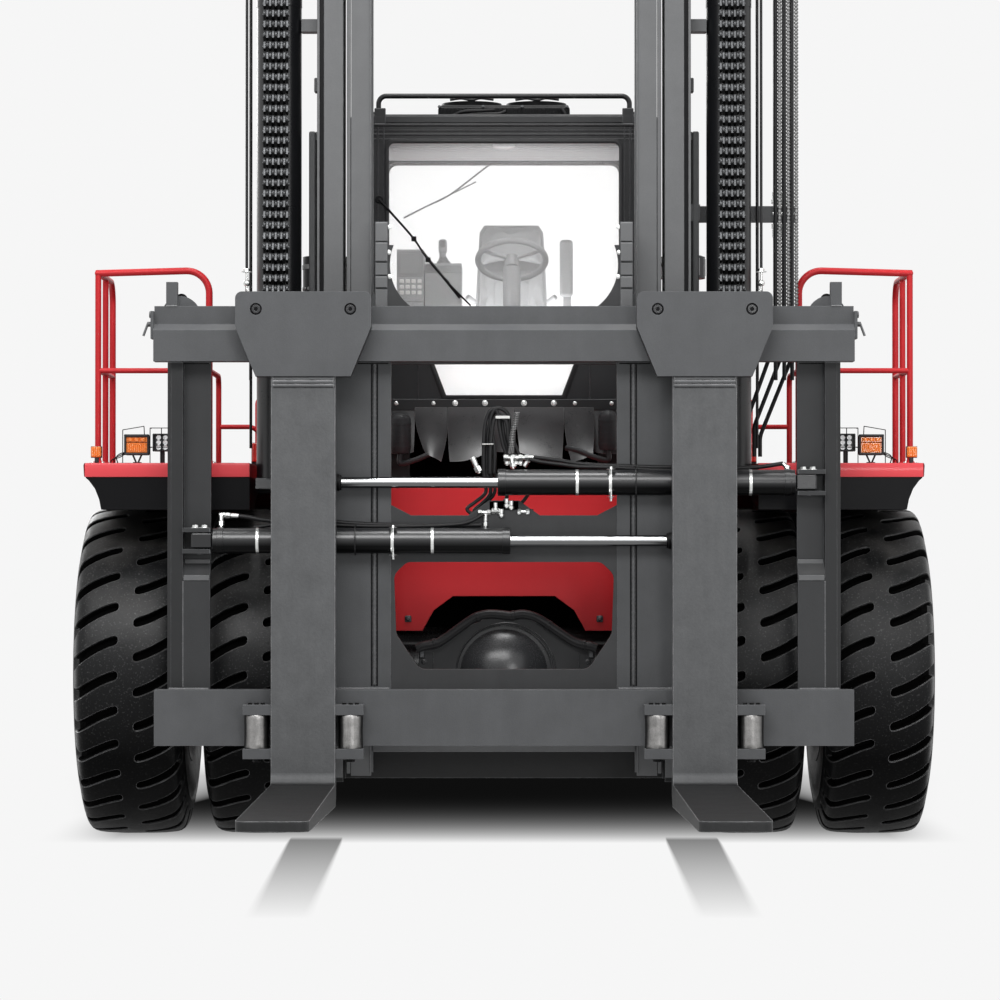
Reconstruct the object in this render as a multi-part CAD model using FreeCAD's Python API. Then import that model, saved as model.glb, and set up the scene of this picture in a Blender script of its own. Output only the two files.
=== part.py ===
import FreeCAD, Part
import math
import os
from FreeCAD import Vector

# Heavy counterbalance forklift, millimetres, +Z up, forks toward -Y, the truck's left side at +X.
# Every sub-part is drawn from the drive axle: Y = 0 is the axle's centre and Z = 0 is the ground.
# save() then moves it so that the part's origin is below the middle of the whole truck.

# ---- driving dimensions -------------------------------------------------------------------
DRIVE_AXLE_Y = -1200.0        # the drive axle, seen from the part's origin
WHEELBASE = 4750.0
TAIL_Y = 6080.0               # rear face of the counterweight
OVERALL_WIDTH = 4150.0

TYRE_R = 807.5
TYRE_W = 530.0
TREAD_W = 450.0
RIM_R = 317.5
RIM_WALL = 27.5
RIM_FLANGE_R = 352.0
DRIVE_INNER_X = 1190.0
DRIVE_OUTER_X = OVERALL_WIDTH / 2 - TYRE_W / 2
STEER_X = 1370.0
KINGPIN_X = 1130.0
HUB_R = 150.0

MAST_FRONT = -820.0
MAST_REAR = -500.0
FLANGE_T = 30.0
OUTER_IN_X = 768.0
OUTER_OUT_X = 893.0
OUTER_WEB = 38.0
OUTER_TOP = 4400.0
INNER_IN_X = 634.0
INNER_OUT_X = 730.0
INNER_WEB = 30.0
INNER_TOP = 4500.0
MAST_FOOT = 300.0
PIVOT_Y = -380.0
PIVOT_Z = 780.0

LIFT_X = 1083.0
LIFT_Y = -660.0
LIFT_BARREL_R = 108.0
LIFT_ROD_R = 75.0
LIFT_FOOT = 1750.0
LIFT_GLAND = 4080.0
SHEAVE_Z = 4420.0
SHEAVE_ROOT_R = 134.0
SHEAVE_FLANGE_R = 172.0
CHAIN_X = 1090.0
CHAIN_W = 122.0
CHAIN_T = 48.0
CHAIN_R = SHEAVE_ROOT_R + CHAIN_T / 2
CROSSHEAD_TOP = 4630.0
HOSE_X = (1318.0, 1360.0, 1398.0)
HOSE_R = 10.0
CABLE_X = 1230.0
CABLE_R = 7.0
HOSE_WHEEL_R = 140.0

PLATE_FRONT = -1000.0         # carriage side plates, behind the fork bars
PLATE_REAR = -950.0
BAR_FRONT = -1120.0
SIDE_IN_X = 534.0
SIDE_OUT_X = 850.0
TOP_BAR_X = 1648.0
TOP_BAR_Z0 = 2293.0
TOP_BAR_SHELF = 2470.0
SHELF_Y = -1060.0
TOP_BAR_Z1 = 2556.0
LOW_BAR_X = 1643.0
LOW_BAR_Z0 = 487.0
LOW_BAR_Z1 = 750.0
POST_IN_X = 1385.0
POST_MID_X = 1512.0
POST_OUT_X = 1587.0

FORK_X = 937.0
FORK_HALF_W = 150.0
FORK_FRONT = -1240.0
FORK_REAR = -1130.0
FORK_TIP = -3680.0
FORK_TOP_Z = 312.0
FORK_HEEL_Z = 205.0
HEAD_HALF_W = 317.0
HEAD_Z0 = 2216.0
HEAD_Z1 = 2612.0
HEAD_FRONT = -1260.0
ROLLER_OFFSET = 220.0
POSITIONER_Y = -1064.0
UPPER_CYL_Z = 1724.0
LOWER_CYL_Z = 1450.0
POSITIONER_R = 60.0
POSITIONER_ROD_R = 26.0
BARREL_INNER_END = 30.0       # how far a positioner barrel reaches past the truck's centre
BARREL_OUTER_END = 1370.0

DECK_Z = 1823.0
FENDER_FRONT = -740.0
FENDER_REAR = 1150.0
FENDER_OUT_X = 2010.0
FENDER_IN_X = 1220.0
ARCH_R = 885.0

FRAME_X = 640.0
FRAME_T = 50.0
CAB_X = 780.0
CAB_FRONT = 250.0
CAB_REAR = 1950.0
CAB_FLOOR_Z = 2100.0
CAB_ROOF_Z = 3613.0
CAB_WALL_Z = 3550.0           # top of the cab's walls, under the roof
SCREEN_Z0 = 2560.0
SCREEN_Z1 = 3470.0            # windscreen's upper edge
REAR_PANE_Z1 = 3530.0         # rear window's upper edge
CAB_T = 60.0
STACK_X = 990.0               # exhaust silencer at the right, air cleaner at the left
STACK_Y = 2160.0
STACK_R = 125.0
STACK_TOP = 3030.0
DOOR_Y0 = 370.0
DOOR_Y1 = 1350.0
DOOR_Z0 = 2170.0
DOOR_Z1 = 3470.0
HINGE_X = 793.0
HINGE_Y = 1356.0
HINGE_R = 11.0
HINGE_Z = (2350.0, 3200.0)

TILT_X = 860.0
TILT_ROD_Y = -400.0
TILT_ROD_Z = 2050.0
TILT_BASE_Y = 1650.0
TILT_BASE_Z = 1350.0
TILT_BARREL_R = 88.0
TILT_ROD_R = 45.0
PIN_R = 40.0

HOOD_X = 740.0
HOOD_FRONT = 2050.0
HOOD_REAR = 3980.0
HOOD_Z0 = 2050.0
HOOD_Z1 = 2330.0
CW_X = 1500.0
CW_TOP = 2350.0
STEER_Y = WHEELBASE
SHAFT_Z = 1080.0
SHAFT_R = 140.0


# ---- small builders -----------------------------------------------------------------------
def box(x0, x1, y0, y1, z0, z1):
    return Part.makeBox(x1 - x0, y1 - y0, z1 - z0, Vector(x0, y0, z0))


def rod(start, end, radius):
    way = Vector(*end) - Vector(*start)
    return Part.makeCylinder(radius, way.Length, Vector(*start), way)


def ring(start, end, outer, inner):
    return rod(start, end, outer).cut(rod(start, end, inner))


def polygon(points):
    return Part.Face(Part.makePolygon([Vector(*p) for p in points + points[:1]]))


def plate_x(outline, x0, x1):
    """Outline is (y, z) points."""
    return polygon([(x0, y, z) for y, z in outline]).extrude(Vector(x1 - x0, 0, 0))


def plate_y(outline, y0, y1):
    """Outline is (x, z) points."""
    return polygon([(x, y0, z) for x, z in outline]).extrude(Vector(0, y1 - y0, 0))


def plate_z(outline, z0, z1):
    """Outline is (x, y) points."""
    return polygon([(x, y, z0) for x, y in outline]).extrude(Vector(0, 0, z1 - z0))


def mirrored(shape):
    return shape.mirror(Vector(0, 0, 0), Vector(1, 0, 0))


def both_sides(shape):
    return Part.makeCompound([shape, mirrored(shape)])


def joined(shapes):
    return shapes[0].fuse(shapes[1:]).removeSplitter()


def revolved_x(outline, x_axis_y, x_axis_z):
    """Outline is (x, radius) points, turned about a line along X."""
    face = polygon([(x, x_axis_y, x_axis_z + r) for x, r in outline])
    return face.revolve(Vector(0, x_axis_y, x_axis_z), Vector(1, 0, 0), 360)


def along(edges, place):
    """The edges of a wire's run, kept where place(centre) is true."""
    return [e for e in edges if place(e.CenterOfMass)]


def rounded(shape, radius, place):
    chosen = along(shape.Edges, place)
    return shape.makeFillet(radius, chosen) if chosen else shape


def bent_wire(points, radius):
    """Straight runs joined by tangent arcs of one radius, or less where a run is short."""
    corners = [Vector(*p) for p in points]
    edges = []
    start = corners[0]
    for before, corner, after in zip(corners, corners[1:], corners[2:]):
        a = (before - corner).normalize()
        b = (after - corner).normalize()
        half = a.getAngle(b) / 2
        room = 0.45 * min((before - corner).Length, (after - corner).Length)
        reach = min(radius / math.tan(half), room)
        bend = reach * math.tan(half)
        middle = corner + (a + b).normalize() * (bend / math.sin(half) - bend)
        edges.append(Part.LineSegment(start, corner + a * reach).toShape())
        edges.append(Part.Arc(corner + a * reach, middle, corner + b * reach).toShape())
        start = corner + b * reach
    edges.append(Part.LineSegment(start, corners[-1]).toShape())
    return Part.Wire(edges)


def tube(points, pipe_r, bend_r):
    spine = bent_wire(points, bend_r)
    first = spine.Edges[0]
    circle = Part.Wire(Part.Circle(first.Vertexes[0].Point, first.tangentAt(first.FirstParameter),
                                   pipe_r).toShape())
    return spine.makePipeShell([circle], True, False)


def save(name, shape):
    moved = shape.copy()
    moved.translate(Vector(0, DRIVE_AXLE_Y, 0))
    moved.exportStep(f"parts/{name}.step")


# ---- wheels -------------------------------------------------------------------------------
def tyre(x, y):
    shoulder = TREAD_W / 2
    wide = TYRE_W / 2
    bead = 215.0
    outline = [(-bead, RIM_R), (-wide + 12, 430.0), (-wide, 560.0), (-wide + 8, 690.0),
               (-shoulder, 785.0), (-shoulder + 45, 802.0), (0, TYRE_R),
               (shoulder - 45, 802.0), (shoulder, 785.0), (wide - 8, 690.0), (wide, 560.0),
               (wide - 12, 430.0), (bead, RIM_R)]
    return revolved_x([(x + dx, r) for dx, r in outline], y, TYRE_R)


def rim(x, y, disc_x):
    """A barrel with a flange at each edge and a disc at disc_x from its middle."""
    half = 225.0
    inner = RIM_R - RIM_WALL
    flange = 22.0
    profile = [(-half, inner), (half, inner), (half, RIM_R - 0.5), (half - 6, RIM_R - 0.5),
               (-half + 6, RIM_R - 0.5), (-half, RIM_R - 0.5)]
    barrel = revolved_x([(x + dx, r) for dx, r in profile], y, TYRE_R)
    parts = [barrel]
    for side in (-1, 1):
        edge = x + side * (half + flange / 2)
        parts.append(ring((edge - flange / 2, y, TYRE_R), (edge + flange / 2, y, TYRE_R),
                          RIM_R - 2.0, inner))
    disc = ring((x + disc_x - 15, y, TYRE_R), (x + disc_x + 15, y, TYRE_R), inner + 1, HUB_R + 1)
    for n in range(12):
        a = 2 * math.pi * n / 12
        hole = rod((x + disc_x - 40, y + 225 * math.cos(a), TYRE_R + 225 * math.sin(a)),
                   (x + disc_x + 40, y + 225 * math.cos(a), TYRE_R + 225 * math.sin(a)), 26)
        disc = disc.cut(hole)
    parts.append(disc)
    return joined(parts)


def drive_rims():
    """Twin rims on one hub, with the planetary cap on its outer end."""
    inner = rim(DRIVE_INNER_X, 0, 150.0)
    outer = rim(DRIVE_OUTER_X, 0, -150.0)
    hub = rod((DRIVE_INNER_X + 40, 0, TYRE_R), (DRIVE_OUTER_X + 90, 0, TYRE_R), HUB_R + 2)
    spacer = ring((DRIVE_INNER_X + 130, 0, TYRE_R), (DRIVE_OUTER_X - 130, 0, TYRE_R), 262, 230)
    flange = rod((DRIVE_OUTER_X - 118, 0, TYRE_R), (DRIVE_OUTER_X - 90, 0, TYRE_R), 205)
    cap = rod((DRIVE_OUTER_X + 88, 0, TYRE_R), (DRIVE_OUTER_X + 140, 0, TYRE_R), 105)
    bore = rod((DRIVE_INNER_X - 100, 0, TYRE_R), (DRIVE_INNER_X + 90, 0, TYRE_R), 110.3)
    return joined([inner, outer, hub, spacer, flange, cap]).cut(bore)


def drive_tyres():
    return Part.makeCompound([tyre(DRIVE_INNER_X, 0), tyre(DRIVE_OUTER_X, 0)])


def steer_tyre():
    return tyre(STEER_X, STEER_Y)


def steer_rim():
    body = rim(STEER_X, STEER_Y, 70.0)
    hub = rod((STEER_X - 60, STEER_Y, TYRE_R), (STEER_X + 160, STEER_Y, TYRE_R), HUB_R + 2)
    cap = rod((STEER_X + 158, STEER_Y, TYRE_R), (STEER_X + 195, STEER_Y, TYRE_R), 92)
    bore = rod((STEER_X - 61, STEER_Y, TYRE_R), (STEER_X + 100, STEER_Y, TYRE_R), 70.3)
    return joined([body, hub, cap]).cut(bore)


# ---- axles --------------------------------------------------------------------------------
def drive_axle():
    """Rigid housing, differential with its round cover toward the front, wheel spindles."""
    casing = box(-900, 900, -170, 170, TYRE_R - 190, TYRE_R + 190)
    casing = rounded(casing, 60, lambda c: abs(c.x) < 1)
    spindles = rod((-DRIVE_INNER_X - 80, 0, TYRE_R), (DRIVE_INNER_X + 80, 0, TYRE_R), 110)
    flanges = rod((-925, 0, TYRE_R), (925, 0, TYRE_R), 215)
    bowl = rod((0, -420, TYRE_R), (0, 260, TYRE_R), 228)
    dome = Part.makeSphere(300, Vector(0, -215, TYRE_R))
    dome = dome.common(rod((0, -600, TYRE_R), (0, -419, TYRE_R), 212))
    neck = Part.makeCone(200, 110, 260, Vector(0, 250, TYRE_R), Vector(0, 1, 0))
    return joined([casing, spindles, flanges, bowl, dome, neck])


def steer_axle():
    """Box beam that carries a fork-shaped end round each knuckle; the kingpins are part of it."""
    beam = box(-1000, 1000, STEER_Y - 100, STEER_Y + 100, TYRE_R - 200, TYRE_R + 200)
    middle = box(-520, 520, STEER_Y - 190, STEER_Y + 190, TYRE_R - 215, TYRE_R + 215)
    parts = [rounded(beam, 20, lambda c: abs(c.x) < 1), middle]
    for side in (-1, 1):
        pin_x = side * KINGPIN_X
        for z0 in (TYRE_R - 200, TYRE_R + 140):
            x0, x1 = sorted((side * 900, pin_x))
            parts.append(box(x0, x1, STEER_Y - 80, STEER_Y + 80, z0, z0 + 60))
            parts.append(rod((pin_x, STEER_Y, z0), (pin_x, STEER_Y, z0 + 60), 80))
        parts.append(rod((pin_x, STEER_Y, TYRE_R - 215), (pin_x, STEER_Y, TYRE_R + 215), PIN_R))
    parts.append(rod((0, STEER_Y - 420, TYRE_R + 60), (0, STEER_Y + 420, TYRE_R + 60), 95))
    return joined(parts)


def knuckle():
    """Left knuckle: boss round the kingpin, wheel spindle and steering arm."""
    boss = rod((KINGPIN_X, STEER_Y, TYRE_R - 134), (KINGPIN_X, STEER_Y, TYRE_R + 134), 80)
    root = rod((KINGPIN_X + 20, STEER_Y, TYRE_R), (STEER_X - 65, STEER_Y, TYRE_R), 125)
    spindle = rod((KINGPIN_X, STEER_Y, TYRE_R), (STEER_X + 90, STEER_Y, TYRE_R), 70)
    bore = rod((KINGPIN_X, STEER_Y, TYRE_R - 140), (KINGPIN_X, STEER_Y, TYRE_R + 140), PIN_R + 0.05)
    return joined([boss, root, spindle]).cut(bore)


# ---- chassis ------------------------------------------------------------------------------
def mast_pins():
    """Lugs and pins on the drive axle's front, which the mast hangs on."""
    lug = [(-120, TYRE_R - 130), (-120, TYRE_R + 130), (PIVOT_Y, PIVOT_Z + 85),
           (PIVOT_Y - 74, PIVOT_Z + 43), (PIVOT_Y - 85, PIVOT_Z), (PIVOT_Y - 74, PIVOT_Z - 43),
           (PIVOT_Y, PIVOT_Z - 85)]
    inner = plate_x(lug, 700, 762)
    outer = plate_x(lug, 899, 925)
    pin = rod((690, PIVOT_Y, PIVOT_Z), (935, PIVOT_Y, PIVOT_Z), PIN_R)
    return joined([inner, outer, pin])


def side_frame():
    """The left side plate, from the front plate to the front of the steering arch."""
    outline = [(-290, 1710), (-290, 1010), (-240, 1010), (-240, 1110), (250, 1110),
               (330, 600), (3650, 560), (3780, 690), (3780, 1650), (2000, 1650), (1960, 1710)]
    return plate_x(outline, FRAME_X, FRAME_X + FRAME_T)


def tilt_base():
    """Bracket and pin at the foot of the left tilt cylinder."""
    block = box(FRAME_X + FRAME_T, TILT_X - TILT_BARREL_R - 8, TILT_BASE_Y - 110,
                TILT_BASE_Y + 110, TILT_BASE_Z - 110, TILT_BASE_Z + 110)
    start = TILT_X - TILT_BARREL_R - 10
    pin = rod((start, TILT_BASE_Y, TILT_BASE_Z), (TILT_X + 70, TILT_BASE_Y, TILT_BASE_Z), PIN_R)
    collar = rod((start, TILT_BASE_Y, TILT_BASE_Z), (TILT_X - 60, TILT_BASE_Y, TILT_BASE_Z), 56)
    cap = rod((TILT_X + 60, TILT_BASE_Y, TILT_BASE_Z), (TILT_X + 76, TILT_BASE_Y, TILT_BASE_Z), 60)
    return joined([block, pin, collar, cap])


def main_frame():
    """Two deep side plates, the arched front plate, cross members and the rear box."""
    side = joined([side_frame(), tilt_base()])
    arch = [(-FRAME_X, 1010), (-400, 1010), (-345, 1110), (-250, 1180), (250, 1180),
            (345, 1110), (400, 1010), (FRAME_X, 1010), (FRAME_X, 1710), (-FRAME_X, 1710)]
    parts = [side, mirrored(side), plate_y(arch, -290, -262)]
    parts.append(box(-FRAME_X, FRAME_X, -262, 300, 1682, 1710))
    parts.append(box(-FRAME_X, FRAME_X, 560, 600, 640, 1500))
    bulkhead = box(-FRAME_X, FRAME_X, 1960, 2000, 640, 1640)
    parts.append(bulkhead.cut(rod((0, 1950, SHAFT_Z), (0, 2010, SHAFT_Z), SHAFT_R + 40)))
    parts.append(box(-FRAME_X - FRAME_T, FRAME_X + FRAME_T, 3740, 3780, 640, 1650))
    tail = box(-430, 430, 3780, 5700, 1150, 1650)
    tail = tail.cut(box(-380, 380, 3830, 5650, 1100, 1600))
    parts.append(tail)
    for y in (STEER_Y - 400, STEER_Y + 340):
        lug = plate_y([(-150, 750), (150, 750), (260, 1160), (-260, 1160)], y, y + 60)
        parts.append(lug.cut(rod((0, y - 5, TYRE_R + 60), (0, y + 65, TYRE_R + 60), 95.3)))
    for side_of in (-1, 1):
        x0, x1 = sorted((side_of * (FRAME_X + FRAME_T), side_of * (FRAME_X + 100)))
        parts.append(box(x0, x1, 330, 3700, 1560, 1640))
        a0, a1 = sorted((side_of * (FRAME_X + FRAME_T), side_of * 984))
        parts.append(box(a0, a1, -60, 60, 1640, 1700))
        parts.append(box(a0, a1, 1080, 1140, 1700, 1757))
    return joined(parts)


def engine_block():
    """Engine and gearbox as one plain mass on the centre line."""
    gearbox = box(-300, 300, 620, 1930, 760, 1400)
    engine = box(-420, 420, 2080, 3650, 780, 1900)
    shaft = rod((0, 1930, SHAFT_Z), (0, 2080, SHAFT_Z), SHAFT_R)
    return joined([gearbox, engine, shaft])


def fender_profile():
    """Front view of the left fender slab: flat top, outer edge flaring in under the lip."""
    return [(FENDER_IN_X, 1600), (FENDER_OUT_X - 78, 1600), (FENDER_OUT_X - 68, 1650),
            (FENDER_OUT_X - 48, 1700), (FENDER_OUT_X - 20, 1738), (FENDER_OUT_X - 4, 1752),
            (FENDER_OUT_X - 4, 1757), (FENDER_IN_X, 1757)]


def fender_deck():
    deck = box(FENDER_IN_X, FENDER_OUT_X, FENDER_FRONT, FENDER_REAR, 1757, DECK_Z)
    inner = box(975, FENDER_IN_X, -120, FENDER_REAR, 1757, DECK_Z)
    return joined([deck, inner])


def fender_liner():
    slab = plate_y(fender_profile(), FENDER_FRONT + 6, FENDER_REAR - 6)
    inner = box(985, FENDER_IN_X + 1, -100, FENDER_REAR - 6, 1600, 1757)
    arch = rod((800, 0, TYRE_R), (2200, 0, TYRE_R), ARCH_R)
    flap = box(1290, FENDER_OUT_X - 120, FENDER_REAR - 40, FENDER_REAR - 20, 1050, 1601)
    return joined([joined([slab, inner]).cut(arch), flap])


def handrail():
    """Left handrail: outer posts, a front rail, an inner rail and the short rail to the cab."""
    r = 17.0
    top = 2775.0
    fall = 16.0
    middle = 2283.0
    out_x = 1985.0
    in_x = 1442.0
    front = -370.0
    rear = 330.0
    parts = [tube([(in_x, front, DECK_Z), (in_x, front, top), (out_x + 12, front, top - fall)],
                  r, 110)]
    parts.append(tube([(out_x, front - 12, top - fall), (out_x, rear, top - fall),
                       (out_x, rear, DECK_Z)], r - 1, 110))
    for y in (front, -20):
        parts.append(rod((out_x, y, DECK_Z), (out_x, y, top - fall - 2), r - 2))
    parts.append(rod((out_x + 4, front, middle), (in_x, front, middle), r - 4))
    parts.append(rod((out_x, front, middle), (out_x, rear, middle), r - 4))
    parts.append(tube([(in_x, front, middle), (in_x, 262, middle), (in_x, 262, DECK_Z)],
                      r - 3, 60))
    parts.append(tube([(in_x, 262, 2028), (1232, 262, 2028), (1232, 262, DECK_Z)], r - 5, 60))
    return joined(parts)


def side_tank():
    """Left tank between the wheels, under the side deck."""
    outline = [(1260, 700), (3560, 700), (3640, 780), (3640, 1560), (1260, 1560)]
    tank = plate_x(outline, 960, 1560)
    tank = rounded(tank, 60, lambda c: abs(c.x - 1560) < 1 and c.z < 1500)
    mount = box(FRAME_X + FRAME_T, 960, 1900, 3500, 620, 700 + 120)
    return joined([tank, mount])


def side_deck():
    """Walkway on top of the left tank, with the steps cut into its front corner."""
    deck = box(FRAME_X + 100, 1700, FENDER_REAR + 20, 3700, 1770, DECK_Z)
    apron = box(1660, 1700, 1900, 3700, 1600, 1771)
    legs = [box(1000, 1060, y, y + 60, 1560, 1771) for y in (1900, 3500)]
    return joined([deck, apron] + legs)


def steps():
    """Three treads hung outside the left tank."""
    sides = [box(1562, 1760, y, y + 12, 430, 1770) for y in (1300, 1838)]
    treads = [box(1562, 1760, 1311, 1839, z, z + 30) for z in (430, 830, 1230)]
    return joined(sides + treads)


def counterweight():
    """Cast block behind and over the steered wheels, arched for their full lock."""
    top = [(-CW_X, 4030), (CW_X, 4030), (CW_X, 5650), (1250, TAIL_Y), (-1250, TAIL_Y),
           (-CW_X, 5650)]
    upper = plate_z(top, 1720, CW_TOP)
    low = [(-CW_X, 5760), (CW_X, 5760), (1250, TAIL_Y), (-1250, TAIL_Y)]
    lower = plate_z(low, 720, 1730)
    body = joined([upper, lower])
    body = rounded(body, 70, lambda c: abs(c.z - CW_TOP) < 1 and c.y > 4100)
    grille = box(-520, 520, TAIL_Y - 60, TAIL_Y + 1, 1250, 1950)
    hitch = box(-130, 130, TAIL_Y - 140, TAIL_Y + 1, 850, 1010)
    body = body.cut(grille).cut(hitch)
    pin = rod((0, TAIL_Y - 70, 800), (0, TAIL_Y - 70, 1060), 24)
    return joined([body, pin])


def bay_panels():
    """Fixed side panels of the engine bay, under the hood."""
    side = box(HOOD_X - 12, HOOD_X, HOOD_FRONT, HOOD_REAR, 1650, HOOD_Z0 - 6)
    bulkhead = box(-HOOD_X + 12, HOOD_X - 12, HOOD_FRONT, HOOD_FRONT + 12, 1650, HOOD_Z0 - 6)
    rear = box(-HOOD_X + 12, HOOD_X - 12, HOOD_REAR, HOOD_REAR + 12, 1652, HOOD_Z1 - 60)
    return joined([side, mirrored(side), bulkhead, rear])


def engine_hood():
    outer = box(-HOOD_X, HOOD_X, HOOD_FRONT, HOOD_REAR - 8, HOOD_Z0, HOOD_Z1)
    outer = rounded(outer, 70, lambda c: abs(abs(c.x) - HOOD_X) < 1 and abs(c.z - HOOD_Z1) < 1)
    inner = box(-HOOD_X + 30, HOOD_X - 30, HOOD_FRONT + 30, HOOD_REAR - 38, HOOD_Z0 - 1,
                HOOD_Z1 - 40)
    knuckles = [rod((x, HOOD_REAR, HOOD_Z1), (x + 90, HOOD_REAR, HOOD_Z1), 18)
                for x in (-560, 470)]
    leaves = [box(x, x + 90, HOOD_REAR - 60, HOOD_REAR, HOOD_Z1 - 8, HOOD_Z1 + 14)
              for x in (-560, 470)]
    return joined([outer.cut(inner)] + knuckles + leaves)


def exhaust_stack():
    silencer = rod((-STACK_X, STACK_Y, DECK_Z), (-STACK_X, STACK_Y, STACK_TOP), STACK_R)
    tip = tube([(-STACK_X, STACK_Y, STACK_TOP - 20), (-STACK_X, STACK_Y, STACK_TOP + 220),
                (-STACK_X, STACK_Y + 170, STACK_TOP + 290)], 52, 90)
    return joined([silencer, tip])


def air_cleaner():
    drum = rod((STACK_X, STACK_Y, DECK_Z), (STACK_X, STACK_Y, STACK_TOP - 280), STACK_R - 20)
    neck = rod((STACK_X, STACK_Y, STACK_TOP - 290), (STACK_X, STACK_Y, STACK_TOP - 110), 55)
    cap = rod((STACK_X, STACK_Y, STACK_TOP - 120), (STACK_X, STACK_Y, STACK_TOP), STACK_R)
    return joined([drum, neck, cap])


def lamps():
    """Indicator, side marker and work lamp on each fender, and the rear lamps."""
    y = FENDER_FRONT
    marker = joined([box(1935, 1988, y + 30, y + 80, 1850, 1905),
                     box(1950, 1966, y + 45, y + 60, DECK_Z, 1851)])
    indicator = joined([box(1705, 1825, y + 30, y + 110, 1862, 1962),
                        box(1755, 1775, y + 60, y + 75, DECK_Z, 1863)])
    work = joined([box(1600, 1690, y + 50, y + 120, 1880, 1966),
                   box(1636, 1654, y + 80, y + 95, DECK_Z, 1881)])
    small = box(1216, 1270, 120, 200, DECK_Z, 1946)
    rear = box(1130, 1330, 5560, 5660, CW_TOP, CW_TOP + 110)
    shapes = [marker, indicator, work, small, rear]
    return Part.makeCompound([s for base in shapes for s in (base, mirrored(base))])


# ---- cab ----------------------------------------------------------------------------------
def cab_floor():
    floor = box(-CAB_X, CAB_X, CAB_FRONT, CAB_REAR, CAB_FLOOR_Z, CAB_FLOOR_Z + 50)
    feet = [box(x, x + 120, y, y + 120, 1715, CAB_FLOOR_Z) for x in (-600, 480)
            for y in (420, 1700)]
    flange = box(-620, 620, CAB_FRONT - 12, CAB_FRONT, CAB_FLOOR_Z + 10, CAB_FLOOR_Z + 62)
    return joined([floor, flange] + feet)


def cab_front_wall():
    """Front frame with the large windscreen opening and the tapered lower window."""
    wall = box(-CAB_X, CAB_X, CAB_FRONT, CAB_FRONT + CAB_T, CAB_FLOOR_Z + 50,
               CAB_WALL_Z)
    screen = [(-590, SCREEN_Z0), (590, SCREEN_Z0), (590, SCREEN_Z1), (-590, SCREEN_Z1)]
    lower = [(-300, 2180), (300, 2180), (420, 2500), (-420, 2500)]
    y0, y1 = CAB_FRONT - 1, CAB_FRONT + CAB_T + 1
    wall = wall.cut(rounded(plate_y(screen, y0, y1), 35, lambda c: abs(c.y - (y0 + y1) / 2) < 1))
    return wall.cut(plate_y(lower, y0, y1))


def cab_rear_wall():
    wall = box(-CAB_X, CAB_X, CAB_REAR - CAB_T, CAB_REAR, CAB_FLOOR_Z + 50, CAB_WALL_Z)
    y0, y1 = CAB_REAR - CAB_T - 1, CAB_REAR + 1
    window = box(-640, 640, y0, y1, SCREEN_Z0, REAR_PANE_Z1)
    return wall.cut(rounded(window, 55, lambda c: abs(c.y - (y0 + y1) / 2) < 1))


def cab_side():
    """Left side: sill, front post, rear post and the fixed rear quarter with its window."""
    y0, y1 = CAB_FRONT + CAB_T, CAB_REAR - CAB_T
    wall = box(CAB_X - CAB_T, CAB_X, y0, y1, CAB_FLOOR_Z + 50, CAB_WALL_Z)
    door = box(CAB_X - CAB_T - 1, CAB_X + 1, DOOR_Y0 - 9, DOOR_Y1 + 9, DOOR_Z0 - 9, DOOR_Z1 + 9)
    quarter = box(CAB_X - CAB_T - 1, CAB_X + 1, 1450, 1850, SCREEN_Z0, SCREEN_Z1)
    quarter = rounded(quarter, 60, lambda c: abs(c.x - (CAB_X - CAB_T / 2)) < 1)
    hinges = []
    for z in HINGE_Z:
        hinges.append(rod((HINGE_X, HINGE_Y, z + 62), (HINGE_X, HINGE_Y, z + 122), HINGE_R))
        hinges.append(box(CAB_X - 1, HINGE_X, HINGE_Y + 4, HINGE_Y + 34, z + 66, z + 118))
        hinges.append(box(HINGE_X - 6, HINGE_X, HINGE_Y, HINGE_Y + 6, z + 66, z + 118))
    return joined([wall.cut(door).cut(quarter)] + hinges)


def cab_shell():
    side = cab_side()
    return joined([cab_front_wall(), cab_rear_wall(), side, mirrored(side)])


def cab_roof():
    """Roof with a window over the driver, a deep front beam and side gutters."""
    deck = box(-CAB_X, CAB_X, CAB_FRONT, CAB_REAR, CAB_WALL_Z, CAB_ROOF_Z)
    deck = rounded(deck, 40, lambda c: abs(c.z - CAB_ROOF_Z) < 1)
    return deck.cut(box(-470, 470, 420, 860, CAB_WALL_Z - 1, CAB_ROOF_Z + 1))


def cab_glass():
    """Windscreen, lower screen, rear, quarter and roof panes, each set in its opening."""
    middle = CAB_FRONT + 26
    screen = box(-588.5, 588.5, middle, middle + 8, SCREEN_Z0 + 1.5, SCREEN_Z1 - 1.5)
    screen = rounded(screen, 33.5, lambda c: abs(c.y - middle - 4) < 1)
    lower = plate_y([(-297, 2182), (297, 2182), (417, 2498), (-417, 2498)], middle, middle + 8)
    back = CAB_REAR - 34
    rear = box(-638.5, 638.5, back, back + 8, SCREEN_Z0 + 1.5, REAR_PANE_Z1 - 1.5)
    rear = rounded(rear, 53.5, lambda c: abs(c.y - back - 4) < 1)
    side_x = CAB_X - 34
    quarter = box(side_x, side_x + 8, 1451.5, 1848.5, SCREEN_Z0 + 1.5, SCREEN_Z1 - 1.5)
    quarter = rounded(quarter, 58.5, lambda c: abs(c.x - side_x - 4) < 1)
    roof = box(-468.5, 468.5, 421.5, 858.5, 3574, 3582)
    return Part.makeCompound([screen, lower, rear, roof, quarter, mirrored(quarter)])


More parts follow.
